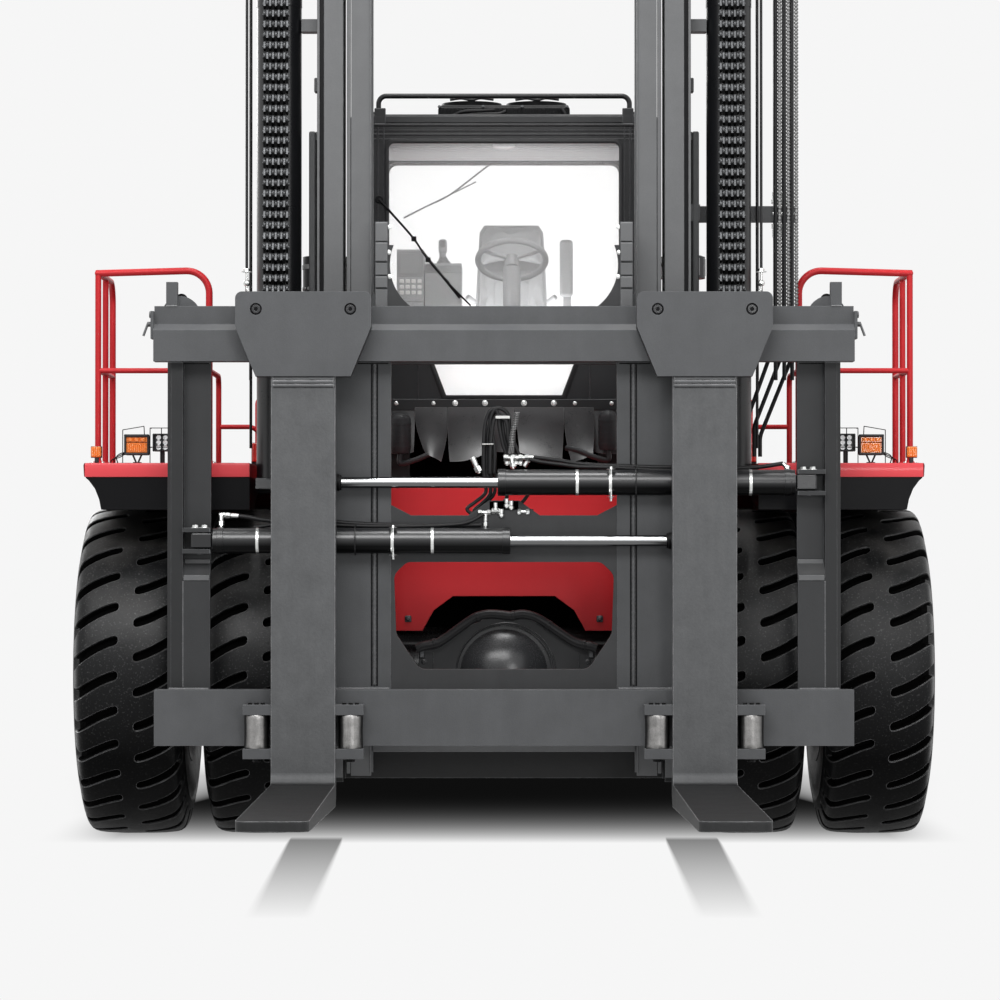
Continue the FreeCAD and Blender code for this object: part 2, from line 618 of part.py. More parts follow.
def door():
    """Left door: a frame round two panes, hinged at its rear edge, with a grab handle."""
    x0, x1 = CAB_X - 50, CAB_X - 6
    leaf = box(x0, x1, DOOR_Y0, DOOR_Y1, DOOR_Z0, DOOR_Z1)
    upper = box(x0 - 1, x1 + 1, DOOR_Y0 + 70, DOOR_Y1 - 70, 2720, DOOR_Z1 - 60)
    lower = box(x0 - 1, x1 + 1, DOOR_Y0 + 70, DOOR_Y1 - 70, DOOR_Z0 + 70, 2640)
    for pane in (upper, lower):
        leaf = leaf.cut(rounded(pane, 60, lambda c: abs(c.x - (x0 + x1) / 2) < 1))
    handle = tube([(x1 - 2, DOOR_Y0 + 34, 2560), (x1 + 55, DOOR_Y0 + 34, 2560),
                   (x1 + 55, DOOR_Y0 + 34, 2860), (x1 - 2, DOOR_Y0 + 34, 2860)], 11, 30)
    hinges = []
    for z in HINGE_Z:
        hinges.append(rod((HINGE_X, HINGE_Y, z), (HINGE_X, HINGE_Y, z + 60), HINGE_R))
        hinges.append(box(x1 - 1, HINGE_X, HINGE_Y - 34, HINGE_Y, z + 4, z + 56))
    return joined([leaf, handle] + hinges)


def seat():
    """Pedestal, cushion, tapering back and head section of the driver's seat."""
    x = 40.0
    base = box(x - 190, x + 190, 1120, 1560, CAB_FLOOR_Z + 50, 2420)
    cushion = rounded(box(x - 250, x + 250, 1020, 1560, 2420, 2560), 50, lambda c: True)
    back = plate_y([(x - 200, 2560), (x + 200, 2560), (x + 170, 3160), (x - 170, 3160)],
                   1480, 1600)
    back = rounded(back, 50, lambda c: True)
    link = box(x - 120, x + 120, 1540, 1600, 2500, 2620)
    return joined([base, cushion, back, link])


def console():
    """Control box at the driver's right, the stick on it and the armrest at the left."""
    cabinet = box(-560, -420, 900, 1400, CAB_FLOOR_Z + 50, 2975)
    desk = box(-415, -222, 1000, 1420, CAB_FLOOR_Z + 50, 2910)
    stick = Part.makeCone(22, 16, 70, Vector(-318, 1100, 2905), Vector(-0.1, -0.1, 1))
    grip = rounded(box(-345, -300, 1075, 1120, 2965, 3045), 18, lambda c: True)
    arm = rounded(box(296, 366, 1235, 1305, 2750, 3055), 22, lambda c: True)
    post = box(316, 356, 1255, 1330, CAB_FLOOR_Z + 50, 2760)
    return Part.makeCompound([cabinet, joined([desk, stick, grip]), joined([arm, post])])


def steering_wheel():
    column = rod((40, 500, CAB_FLOOR_Z + 70), (40, 620, 2860), 45)
    hub = Vector(40, 622, 2866)
    tilt = Vector(0, 0.50, 0.866)
    wheel = Part.makeTorus(175, 15, hub + tilt * 40, tilt)
    boss = Part.makeCylinder(38, 62, hub - tilt * 8, tilt)
    spokes = []
    for n in range(3):
        a = math.radians(90 + 120 * n)
        out = Vector(math.cos(a), math.sin(a) * 0.866, -math.sin(a) * 0.50)
        spokes.append(Part.makeCylinder(10, 165, hub + tilt * 40, out))
    return joined([column, boss, wheel] + spokes)


def roof_cooler():
    """Flat housing with two round fans."""
    case = rounded(box(-345, 345, 960, 1560, CAB_ROOF_Z, 3740), 30,
                   lambda c: abs(c.z - 3740) < 1)
    fans = [ring((x, 1260, 3739), (x, 1260, 3775), 160, 135) for x in (-172, 172)]
    hubs = [rod((x, 1260, 3730), (x, 1260, 3768), 45) for x in (-172, 172)]
    bars = [box(x - 150, x + 150, 1250, 1270, 3740, 3760) for x in (-172, 172)]
    return joined([case] + fans + hubs + bars)


def roof_rail():
    points = [(-640, 430, CAB_ROOF_Z), (-640, 430, 3722), (640, 430, 3722),
              (640, 430, CAB_ROOF_Z)]
    return tube(points, 13, 40)


def front_flaps():
    """Overlapping rubber flaps hung under the front of the cab."""
    flaps = []
    for n, (x0, x1) in enumerate([(-600, -300), (-296, -4), (4, 296), (300, 600)]):
        y = CAB_FRONT - 30 + 8 * (n % 2)
        flaps.append(box(x0, x1, y, y + 8, 1820, CAB_FLOOR_Z + 40))
    return Part.makeCompound(flaps)


# ---- mast ---------------------------------------------------------------------------------
def channel(x_in, x_out, web, z0, z1):
    """Left-hand upright: a web at its outer side with a flange at front and rear."""
    outline = [(x_in, MAST_FRONT), (x_out, MAST_FRONT), (x_out, MAST_REAR), (x_in, MAST_REAR),
               (x_in, MAST_REAR - FLANGE_T), (x_out - web, MAST_REAR - FLANGE_T),
               (x_out - web, MAST_FRONT + FLANGE_T), (x_in, MAST_FRONT + FLANGE_T)]
    return plate_z(outline, z0, z1)


def outer_upright():
    """Left outer upright with its pivot lug, tilt lugs and lift-cylinder brackets."""
    rail = channel(OUTER_IN_X, OUTER_OUT_X, OUTER_WEB, MAST_FOOT, OUTER_TOP)
    lug = plate_x([(MAST_REAR - 1, 600), (PIVOT_Y, PIVOT_Z - 85), (PIVOT_Y, PIVOT_Z + 85),
                   (MAST_REAR - 1, 960)], OUTER_IN_X + 2, OUTER_OUT_X - 2)
    eye = rod((OUTER_IN_X + 2, PIVOT_Y, PIVOT_Z), (OUTER_OUT_X - 2, PIVOT_Y, PIVOT_Z), 85)
    bore = rod((OUTER_IN_X, PIVOT_Y, PIVOT_Z), (OUTER_OUT_X, PIVOT_Y, PIVOT_Z), PIN_R + 0.05)
    foot = box(OUTER_OUT_X, LIFT_X + 107, LIFT_Y - 90, LIFT_Y + 100, LIFT_FOOT - 50, LIFT_FOOT)
    gusset = plate_y([(OUTER_OUT_X, 1480), (LIFT_X, LIFT_FOOT - 50), (OUTER_OUT_X, LIFT_FOOT - 50)],
                     LIFT_Y - 20, LIFT_Y + 20)
    parts = [joined([rail, lug, eye]).cut(bore), foot, gusset]
    for x0 in (TILT_X - 60, TILT_X + 38):
        cheek = plate_x([(MAST_REAR, TILT_ROD_Z - 110), (TILT_ROD_Y + 20, TILT_ROD_Z - 60),
                         (TILT_ROD_Y + 40, TILT_ROD_Z - 20), (TILT_ROD_Y + 40, TILT_ROD_Z + 20),
                         (TILT_ROD_Y + 20, TILT_ROD_Z + 60), (MAST_REAR, TILT_ROD_Z + 110)],
                        x0, x0 + 22)
        parts.append(cheek)
    parts.append(box(TILT_X - 60, TILT_X + 60, MAST_REAR, MAST_REAR + 14, TILT_ROD_Z - 130,
                     TILT_ROD_Z + 130))
    parts.append(rod((TILT_X - 66, TILT_ROD_Y, TILT_ROD_Z), (TILT_X + 66, TILT_ROD_Y, TILT_ROD_Z),
                     34))
    for z in (2300, 3900):
        parts.append(box(OUTER_OUT_X, LIFT_X - LIFT_BARREL_R - 0.5, LIFT_Y - 45, LIFT_Y + 45, z,
                         z + 60))
    return joined(parts)


def outer_crossmembers():
    y0, y1 = MAST_REAR, MAST_REAR + 60
    bottom = box(-OUTER_OUT_X, OUTER_OUT_X, y0, y1, MAST_FOOT, MAST_FOOT + 180)
    middle = box(-OUTER_OUT_X, OUTER_OUT_X, y0, y1, 2310, 2520)
    top = box(-OUTER_OUT_X, OUTER_OUT_X, y0, y1, 4180, 4370)
    return Part.makeCompound([bottom, middle, top])


def lift_barrel():
    outer = rod((LIFT_X, LIFT_Y, LIFT_FOOT), (LIFT_X, LIFT_Y, LIFT_GLAND), LIFT_BARREL_R)
    gland = rod((LIFT_X, LIFT_Y, LIFT_GLAND - 60), (LIFT_X, LIFT_Y, LIFT_GLAND),
                LIFT_BARREL_R + 2)
    bore = rod((LIFT_X, LIFT_Y, LIFT_FOOT + 40), (LIFT_X, LIFT_Y, LIFT_GLAND + 1),
               LIFT_ROD_R + 3)
    collar = ring((LIFT_X, LIFT_Y, LIFT_GLAND - 60), (LIFT_X, LIFT_Y, LIFT_GLAND),
                  LIFT_BARREL_R, LIFT_ROD_R + 0.05)
    return joined([joined([outer, gland]).cut(bore), collar])


def inner_upright():
    """Left inner upright with the two rollers that run in the outer one."""
    rail = channel(INNER_IN_X, INNER_OUT_X, INNER_WEB, MAST_FOOT + 30, INNER_TOP)
    roller_y = (MAST_FRONT + MAST_REAR) / 2
    rollers = []
    for z in (520, 1100):
        rollers.append(rod((INNER_OUT_X - 2, roller_y, z), (INNER_OUT_X + 8, roller_y, z), 50))
        rollers.append(rod((INNER_OUT_X + 7, roller_y, z), (OUTER_OUT_X - OUTER_WEB - 6, roller_y, z),
                           124))
    return joined([rail] + rollers)


def inner_crosshead():
    """Cross members behind the inner uprights and the arms out to the lift rods."""
    y0, y1 = MAST_REAR - 60, MAST_REAR - 24
    members = [box(-INNER_IN_X, INNER_IN_X, y0, y1, z0, z1)
               for z0, z1 in ((430, 560), (2340, 2500), (4280, 4480))]
    arms = []
    for side in (-1, 1):
        a0, a1 = sorted((side * INNER_IN_X, side * 1024))
        arms.append(box(a0, a1, LIFT_Y - 100, LIFT_Y + 100, INNER_TOP, INNER_TOP + 90))
        for c0 in (1004, 1156):
            p0, p1 = sorted((side * c0, side * (c0 + 20)))
            arms.append(box(p0, p1, LIFT_Y - 60, LIFT_Y + 60, 4195, CROSSHEAD_TOP))
        b0, b1 = sorted((side * 1004, side * 1176))
        arms.append(box(b0, b1, LIFT_Y - 60, LIFT_Y + 60, 4612, CROSSHEAD_TOP))
        arms.append(box(b0, b1, LIFT_Y - 75, LIFT_Y + 75, 4195, 4230))
        w0, w1 = sorted((side * 1000, side * (1420 if side > 0 else 1262)))
        arms.append(rod((w0, LIFT_Y, SHEAVE_Z), (w1, LIFT_Y, SHEAVE_Z), 30))
    beam = box(-INNER_IN_X, INNER_IN_X, LIFT_Y + 60, LIFT_Y + 100, INNER_TOP, INNER_TOP + 90)
    return Part.makeCompound(members + [joined([beam] + arms)])


def sheave(x0, x1, root, flange):
    body = ring((x0, LIFT_Y, SHEAVE_Z), (x1, LIFT_Y, SHEAVE_Z), root, 30.2)
    lips = [ring((x, LIFT_Y, SHEAVE_Z), (x + 4, LIFT_Y, SHEAVE_Z), flange, 31) for x in
            (x0, x1 - 4)]
    return joined([body] + lips)


def chain_sheaves():
    """Chain sheaves over the lift rods, cable wheels outside them and the wide hose wheel."""
    x0, x1 = CHAIN_X - CHAIN_W / 2 - 5, CHAIN_X + CHAIN_W / 2 + 5
    chain = sheave(x0, x1, SHEAVE_ROOT_R - 0.5, SHEAVE_FLANGE_R)
    cable = sheave(CABLE_X - 16, CABLE_X + 16, HOSE_WHEEL_R - CABLE_R, HOSE_WHEEL_R + 12)
    hoses = sheave(HOSE_X[0] - 20, HOSE_X[2] + 20, HOSE_WHEEL_R - HOSE_R, HOSE_WHEEL_R + 16)
    return Part.makeCompound([chain, mirrored(chain), cable, mirrored(cable), hoses])


def lift_rod():
    return rod((LIFT_X, LIFT_Y, LIFT_FOOT + 135), (LIFT_X, LIFT_Y, 4195), LIFT_ROD_R)


def chain_front():
    """Strand from the sheave's front down to the anchor eye on the carriage."""
    y = LIFT_Y - CHAIN_R
    half = CHAIN_W / 2
    strand = box(CHAIN_X - half, CHAIN_X + half, y - CHAIN_T / 2, y + CHAIN_T / 2, 2400, SHEAVE_Z)
    eye = rod((CHAIN_X, y, 2340), (CHAIN_X, y, 2401), 20)
    return joined([strand, eye])


def over_wheel(x0, x1, inner, outer):
    """Half turn over the top of a wheel."""
    turn = ring((x0, LIFT_Y, SHEAVE_Z), (x1, LIFT_Y, SHEAVE_Z), outer, inner)
    return turn.cut(box(x0 - 1, x1 + 1, LIFT_Y - 300, LIFT_Y + 300, SHEAVE_Z - 300, SHEAVE_Z))


def chain_strips(first, z0, z1):
    """Every other row of plates of the rear strand, four or five thin strips side by side."""
    y = LIFT_Y + CHAIN_R
    pitch = CHAIN_W / 9
    x0 = CHAIN_X - CHAIN_W / 2
    return [box(x0 + n * pitch + 1.5, x0 + (n + 1) * pitch - 1.5, y - CHAIN_T / 2,
                y + CHAIN_T / 2, z0, z1) for n in range(first, 9, 2)]


def chain_over():
    """The chain over its sheave and the plates of the rear strand that travel with it."""
    half = CHAIN_W / 2
    turn = over_wheel(CHAIN_X - half, CHAIN_X + half, SHEAVE_ROOT_R, SHEAVE_ROOT_R + CHAIN_T)
    return joined([turn] + chain_strips(0, 2200, SHEAVE_Z + 1))


def chain_rear():
    """The plates of the rear strand that stay on the outer mast, up from their anchor."""
    y = LIFT_Y + CHAIN_R
    anchor = box(CHAIN_X - 70, CHAIN_X + 70, y - 30, y + 30, LIFT_FOOT, LIFT_FOOT + 60)
    bracket = box(OUTER_OUT_X, CHAIN_X + 70, y - 30, y + 30, LIFT_FOOT - 40, LIFT_FOOT)
    return joined([anchor, bracket] + chain_strips(1, LIFT_FOOT + 59, LIFT_GLAND + 20))


def line_places():
    """Every hose and cable over the mast: x place and radius."""
    hoses = [(x, HOSE_R) for x in HOSE_X]
    return hoses + [(CABLE_X, CABLE_R), (-CABLE_X, CABLE_R)]


def hoses_front():
    y = LIFT_Y - HOSE_WHEEL_R
    return Part.makeCompound([rod((x, y, 2330), (x, y, SHEAVE_Z), r) for x, r in line_places()])


def hoses_over():
    """Half turns over the wheels and the rear runs that travel with the inner mast."""
    shapes = []
    y = LIFT_Y + HOSE_WHEEL_R
    for x, r in line_places():
        turn = Part.makeTorus(HOSE_WHEEL_R, r, Vector(x, LIFT_Y, SHEAVE_Z), Vector(1, 0, 0))
        turn = turn.cut(box(x - 50, x + 50, LIFT_Y - 300, LIFT_Y + 300, SHEAVE_Z - 300, SHEAVE_Z))
        shapes.append(joined([turn, rod((x, y, 2230), (x, y, SHEAVE_Z), r)]))
    return Part.makeCompound(shapes)


def hoses_rear():
    """Fixed runs up from the bracket on the outer mast, and the feeds below it."""
    y = LIFT_Y + HOSE_WHEEL_R + 26
    shapes = []
    for n, x in enumerate(HOSE_X):
        low_x = 1190 + 28 * n
        shapes.append(rod((x, y, 3080), (x, y, LIFT_GLAND + 20), HOSE_R))
        shapes.append(tube([(x, y, 3000), (x, y, 2420 - 40 * n), (low_x, y + 34, 2060 - 50 * n),
                            (low_x, y + 34, 1860)], HOSE_R, 120))
    for x in (CABLE_X, -CABLE_X):
        shapes.append(rod((x, y, 1900), (x, y, LIFT_GLAND + 20), CABLE_R))
    return Part.makeCompound(shapes)


def hose_bracket():
    y = LIFT_Y + HOSE_WHEEL_R + 26
    arm = box(OUTER_OUT_X, 1432, y + 24, y + 44, 3000, 3080)
    foot = box(OUTER_OUT_X, 950, MAST_REAR - 60, y + 25, 3000, 3080)
    blocks = [box(x - 15, x + 15, y + 10, y + 25, 3005, 3075) for x in HOSE_X]
    return joined([arm, foot] + blocks)


# ---- carriage -----------------------------------------------------------------------------
def carriage_top_bar():
    """Upper fork bar: thick below, with a bevelled shelf, and a set-back band above it."""
    outline = [(BAR_FRONT, TOP_BAR_Z0), (PLATE_FRONT, TOP_BAR_Z0), (PLATE_FRONT, TOP_BAR_Z1),
               (SHELF_Y, TOP_BAR_Z1), (SHELF_Y, TOP_BAR_SHELF),
               (BAR_FRONT, TOP_BAR_SHELF - 30)]
    bar = plate_x(outline, -TOP_BAR_X, TOP_BAR_X)
    parts = [bar]
    for side in (-1, 1):
        x0, x1 = sorted((side * 1540, side * 1593))
        parts.append(box(x0, x1, SHELF_Y + 2, PLATE_FRONT, TOP_BAR_Z1 - 1, TOP_BAR_Z1 + 114))
        eye = rod((side * 1527, PLATE_FRONT - 24, TOP_BAR_Z1 - 40),
                  (side * 1527, PLATE_FRONT - 2, TOP_BAR_Z1 - 40), 89)
        parts.append(eye)
        x0, x1 = sorted((side * TOP_BAR_X, side * (TOP_BAR_X + 14)))
        parts.append(box(x0, x1, BAR_FRONT + 10, PLATE_FRONT - 10, 2400, 2530))
    return joined(parts)


def carriage_low_bar():
    return box(-LOW_BAR_X, LOW_BAR_X, BAR_FRONT, PLATE_FRONT, LOW_BAR_Z0, LOW_BAR_Z1)


def end_post():
    """Left end post: a stepped plate beside a folded outer member, between the two bars."""
    z0, z1 = LOW_BAR_Z1, TOP_BAR_Z0
    stepped = [(-1060, z0), (-1025, z0), (-1025, 1262), (-965, 1342), (-965, z1), (-1000, z1),
               (-1000, 1356), (-1060, 1276)]
    plate = plate_x(stepped, POST_IN_X, POST_MID_X + 1)
    fold = plate_z([(POST_MID_X, -1060), (POST_OUT_X - 18, -1060), (POST_OUT_X, -1040),
                    (POST_OUT_X, -1000), (POST_MID_X, -1000)], z0, z1)
    return joined([plate, fold])


def cylinder_clevis(z):
    """Two jaws and their pin on the left post, for a positioner barrel at height z."""
    jaws = [box(POST_IN_X - 5, POST_MID_X, POSITIONER_Y - 42, PLATE_FRONT + 2, z0, z0 + 20)
            for z0 in (z - 60, z + 40)]
    pin = rod((1430, POSITIONER_Y, z - 64), (1430, POSITIONER_Y, z + 64), 16)
    return joined(jaws + [pin])


def carriage_posts():
    left = joined([end_post(), cylinder_clevis(UPPER_CYL_Z)])
    right = mirrored(joined([end_post(), cylinder_clevis(LOWER_CYL_Z)]))
    return Part.makeCompound([left, right])


def side_plate():
    """Left carriage plate with its web back to the rollers and the column over the top bar."""
    plate = box(SIDE_IN_X, SIDE_OUT_X, PLATE_FRONT, PLATE_REAR, 620, TOP_BAR_Z1 - 20)
    web = box(572, 624, PLATE_REAR - 1, LIFT_Y + 90, 640, 2620)
    column = box(549, 611, PLATE_FRONT + 8, PLATE_REAR, TOP_BAR_Z1 - 21, 2960)
    bracket = box(CHAIN_X - 90, CHAIN_X + 90, PLATE_REAR - 10, LIFT_Y - 118, 2320, 2385)
    arm = box(SIDE_OUT_X - 60, CHAIN_X + 90, PLATE_FRONT, PLATE_REAR, 2300, 2420)
    y = LIFT_Y - CHAIN_R
    hole = rod((CHAIN_X, y, 2300), (CHAIN_X, y, 2400), 24)
    return joined([plate, web, column, joined([bracket, arm]).cut(hole)])


def carriage_side_plates():
    left = side_plate()
    return Part.makeCompound([left, mirrored(left)])


def gusset(side):
    """Concave plate between the column and the top bar, on the inner side."""
    x0 = side * 549
    corner = Vector(side * 437, PLATE_FRONT + 10, TOP_BAR_Z1 - 1)
    top = Vector(side * 523, PLATE_FRONT + 10, 2850)
    belly = Vector(side * 502, PLATE_FRONT + 10, 2625)
    arc = Part.Arc(corner, belly, top).toShape()
    a = Vector(x0, PLATE_FRONT + 10, 2850)
    b = Vector(x0, PLATE_FRONT + 10, TOP_BAR_Z1 - 1)
    edges = [arc, Part.LineSegment(top, a).toShape(), Part.LineSegment(a, b).toShape(),
             Part.LineSegment(b, corner).toShape()]
    return Part.Face(Part.Wire(edges)).extrude(Vector(0, 30, 0))


def cross_plate():
    """Plate between the side plates, dipped along its top, with a tapered window."""
    x = SIDE_IN_X
    plate = box(-x, x, PLATE_FRONT, PLATE_REAR, 620, 1640)
    y0, y1 = PLATE_FRONT - 1, PLATE_REAR + 1
    window = plate_y([(-400, 843), (400, 843), (510, 1010), (520, 1290), (460, 1349), (-460, 1349),
                      (-520, 1290), (-510, 1010)], y0, y1)
    plate = plate.cut(rounded(window, 55, lambda c: abs(c.y - (y0 + y1) / 2) < 1))
    for side in (-1, 1):
        dip = plate_y([(side * 70, 1641), (side * 170, 1570), (side * 440, 1570),
                       (side * (x + 1), 1620), (side * (x + 1), 1641)], y0, y1)
        plate = plate.cut(dip)
    return plate


def carriage_cross_plate():
    return Part.makeCompound([cross_plate(), gusset(-1), gusset(1)])


def carriage_rollers():
    """Main rollers inside the inner uprights."""
    rollers = []
    y = (MAST_FRONT + MAST_REAR) / 2
    for side in (-1, 1):
        for z in (800, 1500, 2480):
            rollers.append(joined([rod((side * 640, y, z), (side * 694, y, z), 124),
                                   rod((side * 624, y, z), (side * 641, y, z), 60)]))
    return Part.makeCompound(rollers)


def positioner_barrel(side, z):
    """Barrel with its eye at the outer end; side is +1 when the eye is at the left post."""
    y = POSITIONER_Y
    body = rod((-side * BARREL_INNER_END, y, z), (side * BARREL_OUTER_END, y, z), POSITIONER_R)
    gland = rod((-side * BARREL_INNER_END, y, z), (-side * (BARREL_INNER_END - 28), y, z),
                POSITIONER_R + 0.5)
    bore = rod((-side * (BARREL_INNER_END + 1), y, z), (side * (BARREL_OUTER_END - 40), y, z),
               POSITIONER_ROD_R + 0.05)
    neck = box(min(side * 1368, side * 1432), max(side * 1368, side * 1432), y - 32, y + 32,
               z - 36, z + 36)
    eye = rod((side * 1430, y, z - 36), (side * 1430, y, z + 36), 34)
    pin = rod((side * 1430, y, z - 37), (side * 1430, y, z + 37), 16.05)
    return joined([body, gland, neck, eye]).cut(bore).cut(pin)


def positioner_barrels():
    return Part.makeCompound([positioner_barrel(1, UPPER_CYL_Z), positioner_barrel(-1, LOWER_CYL_Z)])


def positioner_feeds():
    """Three hoses from behind the top bar, down and along the upper barrel."""
    shapes = []
    y = LIFT_Y - HOSE_WHEEL_R
    for n, x in enumerate(HOSE_X):
        off = 25 * (n - 1)
        route = [(x, y, 2328), (x, y - 10, 2180), (x - 60, y - 110 + off, 2010 - 12 * n),
                 (x - 130, y - 220 + off, 1875 - 12 * n), (x - 230, POSITIONER_Y + off, 1806),
                 (900, POSITIONER_Y + off, 1799),
                 (120 + 30 * n, POSITIONER_Y + off, 1799)]
        shapes.append(tube(route, HOSE_R, 160))
    return shapes


def hose_loops():
    """Nested loops in the middle, up from behind the manifold and over to the upper barrel."""
    shapes = []
    for n in range(3):
        left = -100 + 24 * n
        right = 52 - 24 * n
        top = 2086 - 24 * n
        route = [(left - 40, -1012, 1650), (left, -1012, 1770), (left, -1040, top - 80),
                 (left + 30, -1048, top), (right - 20, -1048, top), (right, -1052, top - 90),
                 (right, -1056, 1790)]
        shapes.append(tube(route, HOSE_R, 45))
    shapes.append(tube([(86, -1006, 2040), (82, -1040, 2034), (80, -1056, 1900),
                        (80, -1056, 1830)], HOSE_R, 40))
    return shapes


def carriage_hoses():
    """Hoses of the fork positioners."""
    shapes = positioner_feeds() + hose_loops()
    for n, y in enumerate((POSITIONER_Y - 14, POSITIONER_Y + 14)):
        route = [(-20 + 20 * n, y, 1576), (-90, y, 1545), (-220, y, 1527), (-800, y, 1526),
                 (-1240, y, 1526)]
        shapes.append(tube(route, HOSE_R, 120))
    return Part.makeCompound(shapes)


def hose_manifold():
    """Steel block with ports on the cross plate, between the two barrels."""
    block = box(-70, 70, -1090, PLATE_FRONT, 1590, 1640)
    return rounded(block, 4, lambda c: True)


# ---- forks --------------------------------------------------------------------------------
def fork():
    """Left fork: upright shank and tapering blade, drawn at its place."""
    outline = [(FORK_REAR, HEAD_Z0 + 10), (FORK_REAR, FORK_HEEL_Z), (FORK_TIP, 268),
               (FORK_TIP, FORK_TOP_Z), (FORK_FRONT, FORK_TOP_Z), (FORK_FRONT, HEAD_Z0 + 10)]
    blank = plate_x(outline, FORK_X - FORK_HALF_W, FORK_X + FORK_HALF_W)
    heel = lambda c: abs(c.y - FORK_REAR) < 1 and abs(c.z - FORK_HEEL_Z) < 1
    blank = rounded(blank, 80, heel)
    inside = lambda c: abs(c.y - FORK_FRONT) < 1 and abs(c.z - FORK_TOP_Z) < 1
    blank = rounded(blank, 55, inside)
    tip = lambda c: abs(c.y - FORK_TIP) < 1 and abs(abs(c.x - FORK_X) - FORK_HALF_W) < 1
    return rounded(blank, 50, tip)


def fork_hanger():
    """Left head plate, its rollers on the top bar and the guides in front of the lower bar."""
    w = HEAD_HALF_W
    outline = [(-w, 2447), (-222, HEAD_Z0), (222, HEAD_Z0), (w, 2447), (w, HEAD_Z1), (-w, HEAD_Z1)]
    plate = plate_y([(FORK_X + x, z) for x, z in outline], HEAD_FRONT, FORK_REAR)
    plate = rounded(plate, 32, lambda c: abs(c.z - HEAD_Z1) < 1 and
                    abs(abs(c.x - FORK_X) - w) < 1)
    plate = plate.cut(box(FORK_X - FORK_HALF_W, FORK_X + FORK_HALF_W, FORK_FRONT - 0.1,
                          FORK_REAR + 1, HEAD_Z0 - 1, HEAD_Z0 + 10.1))
    parts = [plate]
    for side in (-1, 1):
        x = FORK_X + side * ROLLER_OFFSET
        plate_hole = rod((x, HEAD_FRONT - 1, 2530), (x, HEAD_FRONT + 26, 2530), 28)
        parts[0] = parts[0].cut(plate_hole)
        parts.append(rod((x, FORK_REAR - 1, 2530), (x, FORK_REAR + 60, 2530), 55))
    head = joined(parts)
    guides = []
    for side in (-1, 1):
        x = FORK_X + side * ROLLER_OFFSET
        x0, x1 = sorted((FORK_X + side * FORK_HALF_W, FORK_X + side * 282))
        for z0, z1 in ((431, 478), (636, 684)):
            guides.append(box(x0, x1, FORK_FRONT + 6, BAR_FRONT - 10, z0, z1))
        guides.append(rod((x, -1179, 477), (x, -1179, 637), 56))
    lower = [joined(guides[:3]), joined(guides[3:])]
    return Part.makeCompound([head] + lower)


def fork_left_rod():
    """Chromed rod of the lower positioner and its lug behind the left fork's shank."""
    z = LOWER_CYL_Z
    bar = rod((-550, POSITIONER_Y, z), (FORK_X - FORK_HALF_W + 14, POSITIONER_Y, z),
              POSITIONER_ROD_R)
    lug = box(FORK_X - FORK_HALF_W, FORK_X - FORK_HALF_W + 40, FORK_REAR, POSITIONER_Y + 36,
              z - 44, z + 44)
    return joined([bar, lug])


def fork_right_rod():
    lifted = fork_left_rod()
    lifted.translate(Vector(0, 0, UPPER_CYL_Z - LOWER_CYL_Z))
    return mirrored(lifted)


# ---- tilt cylinders -----------------------------------------------------------------------
def tilt_frame():
    """Start, direction and length from the base pin to the pin on the mast."""
    base = Vector(TILT_X, TILT_BASE_Y, TILT_BASE_Z)
    head = Vector(TILT_X, TILT_ROD_Y, TILT_ROD_Z)
    way = head - base
    return base, way.normalize(), head.distanceToPoint(base)


def tilt_barrel():
    base, way, _ = tilt_frame()
    eye = rod((TILT_X - 55, base.y, base.z), (TILT_X + 55, base.y, base.z), 78)
    body = Part.makeCylinder(TILT_BARREL_R, 1130, base + way * 70, way)
    bore = Part.makeCylinder(TILT_ROD_R + 0.05, 1100, base + way * 170, way)
    pin = rod((TILT_X - 56, base.y, base.z), (TILT_X + 56, base.y, base.z), PIN_R + 0.05)
    gland = Part.makeCylinder(TILT_BARREL_R + 8, 50, base + way * 1150, way)
    return joined([eye, body, gland]).cut(bore).cut(pin)


def tilt_rod():
    base, way, length = tilt_frame()
    bar = Part.makeCylinder(TILT_ROD_R, length - 620, base + way * 560, way)
    eye = rod((TILT_X - 36, TILT_ROD_Y, TILT_ROD_Z), (TILT_X + 36, TILT_ROD_Y, TILT_ROD_Z), 76)
    bore = rod((TILT_X - 37, TILT_ROD_Y, TILT_ROD_Z), (TILT_X + 37, TILT_ROD_Y, TILT_ROD_Z), 42)
    return joined([bar, eye]).cut(bore)


# ---- the whole truck ----------------------------------------------------------------------
def outer_mast():
    upright = outer_upright()
    return Part.makeCompound([upright, mirrored(upright), outer_crossmembers(), hose_bracket()])


def inner_mast():
    upright = inner_upright()
    return Part.makeCompound([upright, mirrored(upright), inner_crosshead()])


def carriage_frame():
    return Part.makeCompound([carriage_top_bar(), carriage_low_bar(), carriage_posts()])


def carriage_plates():
    return Part.makeCompound([carriage_side_plates(), carriage_rollers()])


def frame_and_bay():
    return Part.makeCompound([main_frame(), bay_panels()])


def axle_and_pins():
    pins = mast_pins()
    return joined([drive_axle(), pins, mirrored(pins)])


def hoses_on_carriage():
    return Part.makeCompound([carriage_hoses(), hose_manifold()])


def left_and_right_steps():
    return both_sides(joined([side_deck(), steps()]))


def controls():
    return Part.makeCompound([console(), steering_wheel()])


def roof():
    return Part.makeCompound([cab_roof(), roof_rail()])


